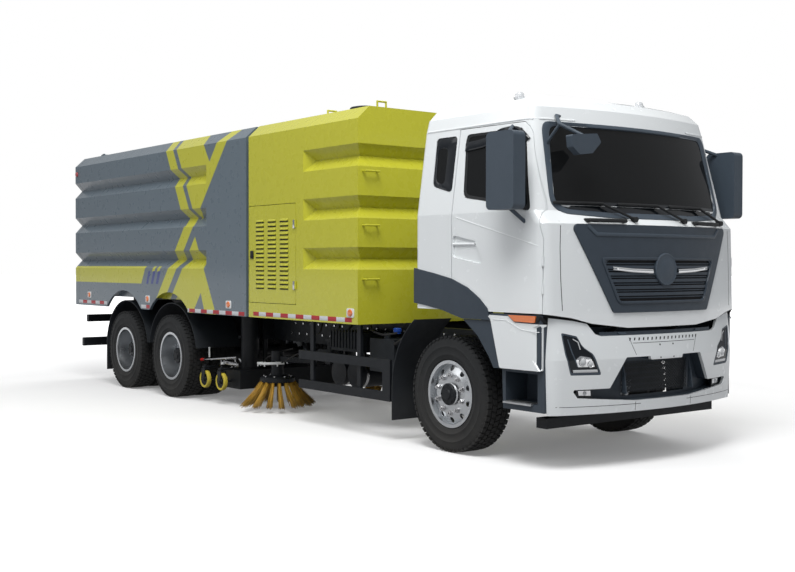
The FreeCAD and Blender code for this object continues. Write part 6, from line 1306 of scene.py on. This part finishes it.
class SWEEPER_OT_bumper_parts(Operator):
    """Vent slots and holes in painted shade, mesh, cheeks and seams of the bumper"""
    bl_idname = "sweeper.bumper_parts"
    bl_label = "Bumper's small parts"

    def execute(self, context):
        skin_of = front_of("bumper")
        centre, edge = skin_of(0, 1.050)[0], skin_of(0.42, 1.050)[0]
        # Near-black slots sunk in the bumper's face: painted shade inside the vent openings
        bm = new_mesh()
        add_prism(bm, [(-0.009, -0.014), (0.004, -0.014), (0.010, 0.014), (-0.003, 0.014)], "yz", -0.003, 0.001)
        bow = (centre.x - edge.x) * 1.05
        vent_shade = bowed(bm, "painted_shade", 18, (centre.x, -0.43, 1.052), (centre.x, 0.43, 1.052), bow)
        dress_mesh("bumper_vent_shade", vent_shade, "painted_shade", "chassis")
        bm = new_mesh()
        add_line(bm, [(y, 1.022) for y in (-0.40, -0.2, 0, 0.2, 0.40)], 0.004, skin_of, 0.0008)
        for s in (-1, 1):
            add_line(bm, [(s * 0.440, 1.070), (s * 0.400, 0.985), (s * 0.372, 0.925)], 0.004, skin_of, 0.0008)
            add_line(bm, [(s * 0.360, 0.535), (s * 0.360, 0.465)], 0.004, skin_of, 0.0008)
            seam_line = [(s * 0.30, 0.517), (s * 0.7, 0.519), (s * 1.02, 0.522), (s * 1.13, 0.525)]
            add_line(bm, seam_line, 0.004, skin_of, 0.0008)
            # Near-black discs barely proud of the skin: painted shade inside the bumper's holes
            for z, radius in ((1.000, 0.008), (0.892, 0.007)):
                place, normal = skin_of(s * 0.085, z)
                add_disc(bm, place - normal * 0.002, normal, radius, 0.003, 12)
        dress("bumper_seams", bm, "seal_rubber", "chassis")
        tray = front_of("lower_grille")
        centre, edge = tray(0, 0.712)[0], tray(0.39, 0.712)[0]
        x = centre.x + 0.014
        layers = []
        for count, reach, z, lines, share in ((24, 0.405, 0.612, 10, 1.05), (23, 0.405 - CELL_SHIFT, 0.6251, 9, 1.03)):
            bm = new_mesh()
            add_hex(bm)
            layers.append(bowed(bm, "mesh_plastic", count, (x, -reach, z), (x, reach, z), (centre.x - edge.x) * share,
                                lines, (0, 0, CELL_PITCH)))
        dress("lower_mesh", join(layers), "mesh_plastic", "chassis")
        bm = new_mesh()
        for s in (-1, 1):
            front = skin_of(s * 0.43, 0.955)[0].x - 0.040
            outline = [(centre.x, 0.600), (front, 0.600), (front - 0.02, 0.745), (centre.x + 0.01, 0.875)]
            add_prism(bm, outline, "xz", s * 0.428, s * 0.436, 0.001)
            for z in (0.66, 0.76):
                for y, way in ((0.436, s), (0.428, -s)):
                    add_disc(bm, (centre.x + 0.035, s * y, z), (0, way, 0), 0.009, 0.006, 10, 0.001)
        add_box(bm, (4.590, -0.72, 0.95), (4.600, 0.72, 1.145), 0.001)
        dress("mesh_cheeks", bm, "mirror_plastic", "chassis")
        bm = new_mesh()
        for s in (-1, 1):
            foot, head = [(s * 0.44, 1.093), (s * 0.52, 1.093)], [(s * 0.46, 1.114), (s * 0.54, 1.114)]
            add_band(bm, foot, head, tray, 0.010, False)
        dress("slot_blocks", bm, "mirror_plastic", "chassis")
        return {"FINISHED"}


# Sides of the cab
SIDE_PANEL = ((4.070, 1.205), (4.180, 0.812), (4.655, 0.815), (4.655, 1.190), (4.360, 1.197), (4.283, 1.245),
              (4.048, 1.248))
SIDE_LAMP = ((4.288, 1.257), (4.362, 1.206), (4.600, 1.202), (4.612, 1.257))
ROOF_LAMP = ((0, -0.01), (0.050, -0.01), (0.050, 0.012), (0.040, 0.020), (0.038, 0.035), (0.026, 0.050), (0, 0.055))
SIDE_LINE = ((4.100, 1.212), (4.265, 1.212), (4.431, 1.143), (4.593, 1.128), (4.650, 1.128))


class SWEEPER_OT_cab_sides(Operator):
    """White panels over the steps, step treads, side lamps, mirror glass and crease lines"""
    bl_idname = "sweeper.cab_sides"
    bl_label = "Sides of the cab"

    def execute(self, context):
        for side, s in SIDES:
            step = side_of(s, "step_boxes", "bumper", "door_" + side, "arch_trims")
            bm = new_mesh()
            drape(bm, rounded(SIDE_PANEL, 0.012, 2), step, 0.0005, 0.012, 0.08)
            add_line(bm, SIDE_LINE, 0.006, step, 0.004, lift=0.012)
            dress("side_panel_" + side, bm, "white_paint", "chassis")
            bm = new_mesh()
            drape(bm, rounded(SIDE_LAMP, 0.008, 2), step, 0.012, 0.010, 0.05)
            dress("side_lamp_" + side, bm, "amber_lens", "chassis")
            bm = new_mesh()
            drape(bm, [(4.612, 1.200), (4.660, 1.200), (4.660, 1.258), (4.618, 1.258)], step, 0.004, 0.010, 0.05)
            dress("side_lamp_block_" + side, bm, "seal_rubber", "chassis")
            bm = new_mesh()
            add_box(bm, (4.205, s * 1.10, 0.524), (4.535, s * 1.234, 0.540), 0.003)
            plate = to_mesh("tread", bm)
            bm = new_mesh()
            add_box(bm, (4.222, s * 1.165 - 0.052, 0.5405), (4.230, s * 1.165 + 0.052, 0.5445), 0.001)
            ribs = rows(bm, 14, (0.0225, 0, 0), "step_alloy")
            dress("step_tread_" + side, join([plate, ribs]), "step_alloy", "chassis")
            door = side_of(s, "door_" + side)
            bm = new_mesh()
            add_line(bm, smooth_line([(3.60, 2.082), (4.13, 1.945), (4.62, 1.818)]), 0.010, door, 0.002)
            dress("door_crease_" + side, bm, "white_paint", "door_" + side)
            bm = new_mesh()
            back = hit(("mirror_" + side,), (3.9, s * 1.375, 2.5), (1, 0, 0))[0].x
            for foot, head in ((2.345, 2.700), (2.130, 2.310)):
                y0, y1 = sorted((s * 1.30, s * 1.45))
                outline = rounded([(y0, foot), (y1, foot), (y1, head), (y0, head)], 0.02)
                add_prism(bm, outline, "yz", back - 0.004, back + 0.002)
            dress("mirror_glass_" + side, bm, "mirror_silver", "door_" + side)
        bm = new_mesh()
        for x, y in ((4.081, -0.93138), (4.320, 0.32078), (3.0, 0.86)):
            add_lathe(bm, ROOF_LAMP, above("cab_shell", x, y), (0, 0, 1), 24)
        dress("roof_lamps", bm, "clear_lens", "cab")
        return {"FINISHED"}


# Body sides
MARKERS = ((-4.409, 1.237, "hopper"), (-2.502, 1.222, "hopper"), (-0.375, 1.209, "hopper"),
           (2.046, 1.196, "engine_box"))
MARKER_LENS = ((0, 0.004), (0.036, 0.004), (0.036, 0.012), (0.030, 0.018), (0, 0.021))
TAPES = (("hopper", -4.80, -3.80, 1.136), ("hopper", -2.70, -2.45, 1.122), ("hopper", -1.39, -0.02, 1.112),
         ("engine_box", 0.18, 2.067, 1.125))
# Rear lamps: middle and half width along y
REAR_LAMPS = ((0.98, 0.10), (0.80, 0.07), (0.66, 0.06))


def add_tape(bm, start, end, middle, cast):
    low, high = middle - sizes().tape_height / 2, middle + sizes().tape_height / 2
    add_band(bm, [(start, low), (end, low)], [(start, high), (end, high)], cast, 0.0012, False)


class SWEEPER_OT_body_sides(Operator):
    """Reflecting tape, marker lamps and rear lamps"""
    bl_idname = "sweeper.body_sides"
    bl_label = "Tapes and marker lamps"

    def execute(self, context):
        for side, s in SIDES:
            for number, (node, start, end, z) in enumerate(TAPES):
                bm = new_mesh()
                add_tape(bm, start, end, z, side_of(s, node))
                dress(f"tape_{number}_{side}", bm, "reflecting_tape", "hopper" if node == "hopper" else "chassis")
            for number, (x, z, node) in enumerate(MARKERS):
                body = "hopper" if node == "hopper" else "chassis"
                place = side_of(s, node)(x, z)[0]
                bm = new_mesh()
                corners = [(x + a * 0.062, z + b * 0.045) for a, b in ((-1, -1), (1, -1), (1, 1), (-1, 1))]
                add_prism(bm, rounded(corners, 0.015), "xz", place.y, place.y + s * 0.006, 0.001)
                dress(f"marker_base_{number}_{side}", bm, "white_plastic", body)
                bm = new_mesh()
                add_lathe(bm, MARKER_LENS, place, (0, s, 0), 28)
                dress(f"marker_lens_{number}_{side}", bm, "amber_lens", body)
        bm = new_mesh()
        lamps = new_mesh()
        for s in (-1, 1):
            for y, wide in REAR_LAMPS:
                x = rear_of("rear_bars")(s * y, 0.885)[0].x
                add_box(bm, (x - 0.010, s * y - wide, 0.842), (x, s * y + wide, 0.928), 0.003)
                wide -= 0.008
                add_box(lamps, (x - 0.024, s * y - wide, 0.850), (x - 0.009, s * y + wide, 0.920), 0.004)
        dress("rear_lamp_cases", bm, "seal_rubber", "chassis")
        dress("rear_lamp_lenses", lamps, "red_lens", "chassis")
        bm = new_mesh()
        for s in (-1, 1):
            place, normal = side_of(s, "tailgate")(-4.86, 2.98)
            add_lathe(bm, [(0, 0.0), (0.035, 0.0), (0.035, 0.010), (0.026, 0.018), (0, 0.020)], place, normal, 24)
        dress("gate_lamps", bm, "red_lens", "tailgate")
        bm = new_mesh()
        add_tape(bm, -1.06, 1.06, 1.22, rear_of("tailgate"))
        dress("tape_gate", bm, "reflecting_tape_across", "tailgate")
        return {"FINISHED"}


# Engine box
LOUVRES, LOUVRE_LONG, LOUVRE_PITCH = 16, 0.170, 0.048
HOOD = ((1.2495, -0.008), (1.2585, -0.006), (1.2565, 0.006), (1.2495, 0.017))
ROOF_CAP = ((0, 0), (0.150, 0), (0.150, 0.024), (0.140, 0.034), (0.090, 0.044), (0, 0.047))


class SWEEPER_OT_box_parts(Operator):
    """Near-black plates of painted shade in the louvres' openings, latches and hinges of the louvre doors, seams and
    the roof cap
    """
    bl_idname = "sweeper.box_parts"
    bl_label = "Engine box's small parts"

    def execute(self, context):
        middle = 0.5725
        columns, foot = (0.955 / 4 * 1.04, 0, 0), 1.252 + (1.060 - LOUVRE_PITCH * (LOUVRES - 1)) / 2
        first = middle - columns[0] - LOUVRE_LONG / 2
        last = first + LOUVRE_LONG
        for side, s in SIDES:
            # Near-black plates under each louvre hood: painted shade inside the louvres' openings
            bm = new_mesh()
            low, high = foot - 0.0205, foot - 0.0075
            outline = rounded([(first, low), (last, low), (last, high), (first, high)], 0.006, 2)
            add_prism(bm, outline, "xz", s * 1.2493, s * 1.2515)
            mouth_shade = rows(bm, LOUVRES, (0, 0, LOUVRE_PITCH), "painted_shade", 3, columns)
            dress_mesh("louvre_mouth_shade_" + side, mouth_shade, "painted_shade", "louvre_door_" + side)
            bm = new_mesh()
            add_prism(bm, [(s * y, foot + rise) for y, rise in HOOD], "yz", first + 0.004, last - 0.004, 0.002)
            hoods = rows(bm, LOUVRES, (0, 0, LOUVRE_PITCH), "yellow_paint", 3, columns)
            dress_mesh("louvre_hoods_" + side, hoods, "yellow_paint", "louvre_door_" + side)
            bm = new_mesh()
            add_box(bm, (0.128, s * 1.2495, 1.735), (0.190, s * 1.262, 1.822), 0.005)
            add_box(bm, (0.140, s * 1.2495, 1.750), (0.178, s * 1.270, 1.770), 0.003)
            dress("louvre_latch_" + side, bm, "seal_rubber", "louvre_door_" + side)
            bm = new_mesh()
            for z in (1.451, 2.095):
                reach = (1.2495, 1.256) if s > 0 else (-1.262, -1.2495)
                add_box(bm, (1.008, reach[0], z - 0.045), (1.040, reach[1], z + 0.045), 0.002)
            dress("louvre_leaves_" + side, bm, "bright_steel", "louvre_door_" + side)
            bm = new_mesh()
            cast = side_of(s, "engine_box", "louvre_door_" + side)
            add_line(bm, [(0.084, 1.652), (0.10, 1.652)], 0.006, cast, 0.0008)
            dress("box_seam_" + side, bm, "seal_rubber", "chassis")
        bm = new_mesh()
        add_lathe(bm, ROOF_CAP, above("engine_box", 1.825, -0.92), (0, 0, 1), 36)
        dress("roof_cap", bm, "fender_plastic", "chassis")
        return {"FINISHED"}


# Under the body
TANKS, TANK_RADIUS = ((1.34, 0.54), (1.63, 0.54)), 0.1355
FILLER = ((0, 0), (0.036, 0), (0.036, 0.016), (0.042, 0.020), (0.042, 0.050), (0.030, 0.056), (0, 0.056))
HOSES = (
    (0.016, 10, ((2.24, -0.86, 0.885), (2.33, -0.90, 0.900), (2.42, -0.88, 0.95), (2.52, -0.80, 1.00),
                 (2.60, -0.62, 1.02))),
    (0.012, 8, ((0.42, -0.62, 1.06), (0.43, -0.64, 0.93), (0.60, -0.66, 0.90), (0.62, -0.62, 1.02))),
    (0.012, 8, ((0.95, -0.60, 1.04), (1.00, -0.66, 0.96), (1.12, -0.66, 0.94), (1.16, -0.60, 1.02))),
    (0.010, 8, ((1.98, -0.95, 1.06), (2.06, -1.00, 1.02), (2.22, -0.98, 0.98), (2.34, -0.90, 1.00))),
)


def add_strap(bm, centre, radius, low, high):
    """A flat steel strap round a tank that lies across the vehicle."""
    add_lathe(bm, [(radius, low), (radius + 0.004, low), (radius + 0.004, high), (radius, high)], centre, (0, 1, 0), 32)


class SWEEPER_OT_under_parts(Operator):
    """Ribs, straps, caps and hoses on boxes and tanks, and bolts on the rails"""
    bl_idname = "sweeper.under_parts"
    bl_label = "Tanks, boxes and hoses"

    def execute(self, context):
        bm = new_mesh()
        for x, z in TANKS:
            for y in (-0.83, -0.56):
                add_strap(bm, (x, y, z), TANK_RADIUS, -0.016, 0.016)
        dress("tank_straps", bm, "bright_steel", "chassis")
        for side, s in SIDES:
            y = side_of(s, "side_boxes")(1.50, 0.92)[0].y
            bm = new_mesh()
            add_box(bm, (1.185, y, 0.800), (1.205, y + s * 0.010, 1.000), 0.003)
            dress_mesh("box_ribs_" + side, rows(bm, 9, (0.055, 0, 0), "fender_plastic"), "fender_plastic", "chassis")
        bm = new_mesh()
        add_lathe(bm, FILLER, (2.215, -0.80, 0.985), (0, 0, 1), 20)
        dress("filler_cap", bm, "blue_plastic", "chassis")
        bm = new_mesh()
        for radius, sides, points in HOSES:
            add_tube(bm, smooth_path(points), radius, sides)
        dress("chassis_hoses", bm, "hose_rubber", "chassis")
        for side, s in SIDES:
            place = side_of(s, "chassis_frame")(-0.4, 0.94)[0]
            bm = new_mesh()
            add_disc(bm, (-0.30, place.y - s * 0.001, 0.86), (0, s, 0), 0.013, 0.010, 6, 0.001)
            bolts = rows(bm, 26, (0.16, 0, 0), "bright_steel", 2, (0.08, 0, 0.12))
            dress_mesh("rail_bolts_" + side, bolts, "bright_steel", "chassis")
        return {"FINISHED"}


# Sweeping gear
CASTERS = (("front", -0.780), ("rear", -1.180))
CASTER_Y, CASTER_Z = 1.12, 0.285
CASTER_TYRE = ((0.080, -0.022), (0.102, -0.025), (0.108, -0.016), (0.108, 0.016), (0.102, 0.025), (0.080, 0.022))
CASTER_HUB = ((0.012, -0.025), (0.030, -0.025), (0.036, -0.008), (0.070, -0.006), (0.081, -0.020), (0.081, 0.020),
              (0.070, 0.006), (0.036, 0.008), (0.030, 0.025), (0.012, 0.025))
# Brackets of the control bars: two corners each, y given for the left side
BRACKETS = (((-1.06, 0.98, 0.520), (-1.03, 1.11, 0.530)), ((-0.75, 0.96, 0.545), (-0.72, 1.09, 0.555)),
            ((-1.06, 0.975, 0.415), (-1.03, 0.985, 0.530)), ((-0.75, 0.955, 0.415), (-0.72, 0.965, 0.555)))


def add_fork(bm, x, s):
    """Cheeks, bolts, crown, swivel and arm of one caster."""
    middle = s * CASTER_Y
    for reach in (-0.033, 0.033):
        y = middle + reach
        cheek = rounded([(x - 0.028, 0.262), (x + 0.028, 0.262), (x + 0.046, 0.405), (x - 0.046, 0.405)], 0.015, 3)
        add_prism(bm, cheek, "xz", y - 0.003, y + 0.003, 0.0008)
        add_disc(bm, (x, y, CASTER_Z), (0, reach, 0), 0.013, 0.010, 6, 0.001)
    add_box(bm, (x - 0.046, middle - 0.036, 0.402), (x + 0.046, middle + 0.036, 0.412), 0.002)
    add_disc(bm, (x, middle, 0.410), (0, 0, 1), 0.020, 0.045, 16, 0.002)
    add_box(bm, (x - 0.030, s * 0.98, 0.420), (x + 0.030, s * 1.15, 0.440), 0.003)


class SWEEPER_OT_sweeping_parts(Operator):
    """Casters with forks, spray rings, control bars and hoses of the sweeping gear"""
    bl_idname = "sweeper.sweeping_parts"
    bl_label = "Casters, spray rings and bars"

    def execute(self, context):
        forks = new_mesh()
        for label, x in CASTERS:
            body = "nozzle_wheels_" + label
            tyres, hubs = new_mesh(), new_mesh()
            for s in (-1, 1):
                add_lathe(tyres, CASTER_TYRE, (x, s * CASTER_Y, CASTER_Z), (0, 1, 0), 40)
                add_lathe(hubs, CASTER_HUB, (x, s * CASTER_Y, CASTER_Z), (0, 1, 0), 36)
                add_fork(forks, x, s)
            add_disc(hubs, (x, -1.145, CASTER_Z), (0, 1, 0), 0.011, 2.29, 12)
            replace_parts(dress(f"caster_tyres_{label}", tyres, "caster_rubber", body), body)
            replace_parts(dress(f"caster_hubs_{label}", hubs, "chassis_paint", body), body)
        dress("caster_forks", forks, "chassis_paint", "nozzle")
        bars, knobs, pins = new_mesh(), new_mesh(), new_mesh()
        for s in (-1, 1):
            long_bar = [(-1.262, s * 1.10, 0.512), (-0.90, s * 1.095, 0.545), (-0.552, s * 1.05, 0.580)]
            add_tube(bars, long_bar, 0.0115, 12)
            add_tube(bars, [(-0.912, s * 1.02, 0.500), (-0.60, s * 1.00, 0.482)], 0.014, 10, (0.5, 1.4))
            add_tube(knobs, [(-1.325, s * 1.10, 0.506), (-1.262, s * 1.10, 0.512)], 0.017, 14)
            add_tube(pins, [(-1.190, s * 1.06, 0.54), (-1.192, s * 1.06, 0.665)], 0.010, 12)
            add_disc(pins, (-0.86, s * 1.06, 0.475), (0, 0, 1), 0.024, 0.030, 14, 0.004)
            for (x0, y0, z0), (x1, y1, z1) in BRACKETS:
                add_box(bars, (x0, s * y0, z0), (x1, s * y1, z1), 0.001)
        dress("control_bars", bars, "bright_steel", "nozzle")
        dress("bar_knobs", knobs, "red_plastic", "nozzle")
        dress("nozzle_pins", pins, "white_plastic", "nozzle")
        for side, s in SIDES:
            x, y = broom_middle(side)
            bm = new_mesh()
            arc = [(x + 0.225 * math.cos(a), y + 0.225 * math.sin(a), 0.545 + 0.012 * math.cos(a))
                   for a in (math.radians(s * (12 + 10 * k)) for k in range(17))]
            add_tube(bm, arc, 0.010, 8, (1.0, 1.5))
            for number in (2, 6, 10, 14):
                add_disc(bm, Vector(arc[number]) - Vector((0, 0, 0.034)), (0, 0, 1), 0.008, 0.030, 10, 0.002)
            dress("spray_ring_" + side, bm, "white_plastic", "broom_arm_" + side)
            bm = new_mesh()
            add_tube(bm, smooth_path([arc[1], (x + 0.26, y + s * 0.02, 0.60), (x + 0.36, y - s * 0.03, 0.66),
                                      (x + 0.52, y - s * 0.10, 0.70)]), 0.009, 8)
            add_tube(bm, smooth_path([arc[15], (x - 0.20, y - s * 0.01, 0.60), (x - 0.05, y - s * 0.06, 0.66),
                                      (x + 0.20, y - s * 0.09, 0.715)]), 0.009, 8)
            dress("spray_hoses_" + side, bm, "hose_rubber", "broom_arm_" + side)
        return {"FINISHED"}


# Seats
SEAT_Y = 0.56
CROWN = 0.012
PIPING = 0.0028
SEAT_FORMS = (("seat_pad", (3.458, 0.330, 1.700), (3.922, 0.790, 1.802), 0.03),
              ("seat_rest", (3.318, 0.335, 1.815), (3.425, 0.785, 2.215), 0.04),
              ("head_rest", (3.325, 0.430, 2.255), (3.412, 0.690, 2.420), 0.03))


def inflated(name, low, high, pinch):
    """A padded block: its sides pull in between the corners and its faces are crowned by air pressure."""
    bm = new_mesh()
    add_box(bm, low, high, 0.035)
    made = linked(name + "_form", to_mesh(name, bm))
    remesh = made.modifiers.new("remesh", "REMESH")
    remesh.mode = "VOXEL"
    remesh.voxel_size = 0.012
    made.data = evaluated(made)
    made.modifiers.clear()
    middle = (Vector(low) + Vector(high)) / 2
    half = (Vector(high) - Vector(low)) / 2
    for v in made.data.vertices:
        across = (v.co.y - middle.y) / half.y
        along = [(v.co.x - middle.x) / half.x, (v.co.z - middle.z) / half.z]
        run = along[0] if half.x > half.z else along[1]
        v.co.y = middle.y + half.y * across * (1 - pinch * (1 - run * run))
    start = [v.co.copy() for v in made.data.vertices]
    cloth = made.modifiers.new("cloth", "CLOTH")
    cloth.settings.use_pressure = True
    cloth.settings.uniform_pressure_force = 4.0
    cloth.settings.effector_weights.gravity = 0.0
    for number in range(1, 21):
        bpy.context.scene.frame_set(number)
    result = evaluated(made)
    made.modifiers.clear()
    bpy.context.scene.frame_set(1)
    for v, first in zip(result.vertices, start):
        move = v.co - first
        v.co = first + move * min(1.0, CROWN / max(move.length, 1e-6))
    made.data = result
    finer = made.modifiers.new("finer", "SUBSURF")
    finer.levels = finer.render_levels = 1
    result = evaluated(made)
    bpy.data.objects.remove(made)
    return result


def seam(bm, tree, start, end, direction, parts):
    """Piping that follows a cushion's skin below a straight line."""
    start, end, direction = Vector(start), Vector(end), Vector(direction)
    line = [tree.ray_cast(start.lerp(end, k / parts) - direction * 0.3, direction)[0] for k in range(parts + 1)]
    add_tube(bm, [place for place in line if place], PIPING, 6)


class SWEEPER_OT_seats(Operator):
    """Seat cushions, backrests and head rests with piping, on plinths"""
    bl_idname = "sweeper.seats"
    bl_label = "Seats"

    def execute(self, context):
        for name, low, high, pinch in SEAT_FORMS:
            mesh = inflated(name, low, high, pinch)
            for side, s in SIDES:
                own = mesh.copy()
                for v in own.vertices:
                    v.co.y *= s
                if s < 0:
                    own.flip_normals()
                piece = dress_mesh(f"{name}_{side}", own, "seat_cloth", "cab", 60)
                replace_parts(piece, "seats")
                bm = new_mesh()
                tree = BVHTree.FromPolygons([v.co.copy() for v in own.vertices],
                                            [list(p.vertices) for p in own.polygons])
                if name == "seat_pad":
                    for y in (0.43, 0.69):
                        seam(bm, tree, (3.48, s * y, 1.80), (3.90, s * y, 1.80), (0, 0, -1), 20)
                    for x in (3.60, 3.75):
                        seam(bm, tree, (x, s * 0.43, 1.80), (x, s * 0.69, 1.80), (0, 0, -1), 20)
                else:
                    z0, z1 = low[2] + 0.02, high[2] - 0.02
                    y0, y1 = low[1] + 0.07, high[1] - 0.07
                    for y in (y0, y1):
                        seam(bm, tree, (3.42, s * y, z0), (3.42, s * y, z1), (-1, 0, 0), 16)
                    for share in (0.35, 0.7):
                        z = z0 + (z1 - z0) * share
                        seam(bm, tree, (3.42, s * y0, z), (3.42, s * y1, z), (-1, 0, 0), 16)
                dress(f"{name}_piping_{side}", bm, "seal_rubber", "cab")
        bm = new_mesh()
        for s in (-1, 1):
            y = s * SEAT_Y
            add_box(bm, (3.515, y - 0.170, 1.322), (3.865, y + 0.170, 1.600), 0.015)
            add_box(bm, (3.47, y - 0.225, 1.595), (3.91, y + 0.225, 1.695), 0.02)
            add_box(bm, (3.300, y - 0.215, 1.70), (3.320, y + 0.215, 2.20), 0.006)
            for reach in (-0.07, 0.07):
                add_disc(bm, (3.365, y + reach, 2.19), (0, 0, 1), 0.007, 0.09, 10)
        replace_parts(dress("seat_plinths", bm, "cabin_plastic", "cab"), "seats")
        return {"FINISHED"}


# Stage
CAMERA_PLACE = (11.078, -7.648, 1.663)
CAMERA_TURN, CAMERA_PITCH, CAMERA_ROLL = 52.31, 1.05, 0.07
CAMERA_SENSOR, FOCAL_PIXELS, PHOTO_WIDTH = 36.0, 1129.7, 795
FLOOR_RADIUS = 180
# Lamps: name, place, aim, size in metres and power in watts
LAMPS = (("key", (7.0, -5.0, 11.0), (1.0, 0.0, 1.2), 6.0, 1080.0),
         ("side", (-3.0, -10.0, 9.0), (-0.5, 0.0, 1.4), 8.0, 260.0),
         ("far", (-7.0, 8.0, 9.0), (0.0, 0.0, 1.5), 8.0, 400.0))


class SWEEPER_OT_stage(Operator):
    """Floor, light and the camera at the photograph's angle"""
    bl_idname = "sweeper.stage"
    bl_label = "Stage"

    def execute(self, context):
        web, shader = material("pale_floor", Roughness=0.9)
        place = position(web)
        path = web.add("ShaderNodeLightPath").outputs
        pale = web.mix(web.noise(place, 0.6, 4.0), (0.78, 0.78, 0.78, 1), (0.84, 0.84, 0.84, 1))
        web.feed(shader.inputs["Base Color"], web.mix(path["Is Camera Ray"], (0.30, 0.30, 0.31, 1), pale))
        seen = web.math("MAXIMUM", path["Is Camera Ray"], path["Is Glossy Ray"])
        seen = web.math("MAXIMUM", seen, path["Is Transmission Ray"])
        far = web.span(web.vector("LENGTH", place), 6.0, 17.0, 0.16, 1.0)
        glow = web.add("ShaderNodeEmission", Strength=web.math("MULTIPLY", seen, far))
        both = web.add("ShaderNodeAddShader", shader.outputs[0], glow.outputs[0])
        output = next(n for n in web.tree.nodes if n.type == "OUTPUT_MATERIAL")
        web.feed(output.inputs["Surface"], both.outputs[0])
        bm = new_mesh()
        bm.faces.new([bm.verts.new((FLOOR_RADIUS * math.cos(a), FLOOR_RADIUS * math.sin(a), 0))
                      for a in (math.tau * k / 64 for k in range(64))])
        mesh = to_mesh("floor", bm)
        mesh.materials.append(FINISH["pale_floor"])
        floor = linked("floor", mesh)
        world = bpy.data.worlds.new("studio")
        context.scene.world = world
        world.use_nodes = True
        web = Web(world.node_tree)
        back = world.node_tree.nodes["Background"]
        z = web.add("ShaderNodeSeparateXYZ", web.add("ShaderNodeTexCoord").outputs["Generated"]).outputs["Z"]
        sky = web.mix(web.span(z, 0.0, 0.8), (0.42, 0.44, 0.47, 1), (1.25, 1.25, 1.25, 1))
        path = web.add("ShaderNodeLightPath").outputs
        web.feed(back.inputs["Color"], web.mix(path["Is Camera Ray"], sky, (1, 1, 1, 1)))
        web.feed(back.inputs["Strength"], web.math("MULTIPLY_ADD", path["Is Camera Ray"], 0.42, 0.58))
        for name, place, aim, size, power in LAMPS:
            light = bpy.data.lights.new(name, "AREA")
            light.shape = "DISK"
            light.size = size
            light.energy = power
            lamp = linked(name, light)
            lamp.location = place
            lamp.rotation_euler = (Vector(aim) - Vector(place)).to_track_quat("-Z", "Y").to_euler()
        yaw, pitch, roll = (math.radians(v) for v in (CAMERA_TURN, CAMERA_PITCH, CAMERA_ROLL))
        back_way = Vector((math.sin(yaw) * math.cos(pitch), -math.cos(yaw) * math.cos(pitch), math.sin(pitch)))
        across = Vector((math.cos(yaw), math.sin(yaw), 0))
        up = back_way.cross(across)
        right = across * math.cos(roll) + up * math.sin(roll)
        up = up * math.cos(roll) - across * math.sin(roll)
        camera = linked("camera", bpy.data.cameras.new("camera"))
        camera.data.lens = CAMERA_SENSOR * FOCAL_PIXELS / PHOTO_WIDTH
        camera.data.sensor_width = CAMERA_SENSOR
        camera.data.clip_end = 600.0
        camera.matrix_world = Matrix((right, up, back_way)).transposed().to_4x4()
        camera.location = CAMERA_PLACE
        context.scene.camera = camera
        context.scene.view_settings.view_transform = "Standard"
        return {"FINISHED"}


STEPS = (SWEEPER_OT_finishes, SWEEPER_OT_repeats, SWEEPER_OT_tyres, SWEEPER_OT_wheel_parts, SWEEPER_OT_brooms,
         SWEEPER_OT_windows, SWEEPER_OT_front_panel, SWEEPER_OT_front_lamps, SWEEPER_OT_bumper_parts,
         SWEEPER_OT_cab_sides, SWEEPER_OT_body_sides, SWEEPER_OT_box_parts, SWEEPER_OT_under_parts,
         SWEEPER_OT_sweeping_parts, SWEEPER_OT_seats, SWEEPER_OT_stage)


class SWEEPER_PT_panel(Panel):
    """Lists the sizes, the colours and the steps"""
    bl_idname = "SWEEPER_PT_panel"
    bl_label = "Street sweeper"
    bl_space_type = "VIEW_3D"
    bl_region_type = "UI"
    bl_category = "Sweeper"

    def draw(self, context):
        for holder in (context.scene.sweeper_sizes, context.scene.sweeper_colours):
            for name in type(holder).__annotations__:
                self.layout.prop(holder, name)
        for step in STEPS:
            self.layout.operator(step.bl_idname)


CLASSES = (SweeperColours, SweeperSizes, *STEPS, SWEEPER_PT_panel)


def register():
    for one in CLASSES:
        bpy.utils.register_class(one)
    bpy.types.Scene.sweeper_colours = PointerProperty(type=SweeperColours)
    bpy.types.Scene.sweeper_sizes = PointerProperty(type=SweeperSizes)


def unregister():
    del bpy.types.Scene.sweeper_sizes
    del bpy.types.Scene.sweeper_colours
    for one in reversed(CLASSES):
        bpy.utils.unregister_class(one)


def main():
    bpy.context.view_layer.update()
    random.seed(7)
    register()
    for step in STEPS:
        area, name = step.bl_idname.split(".")
        getattr(getattr(bpy.ops, area), name)()


if __name__ == "__main__":
    main()
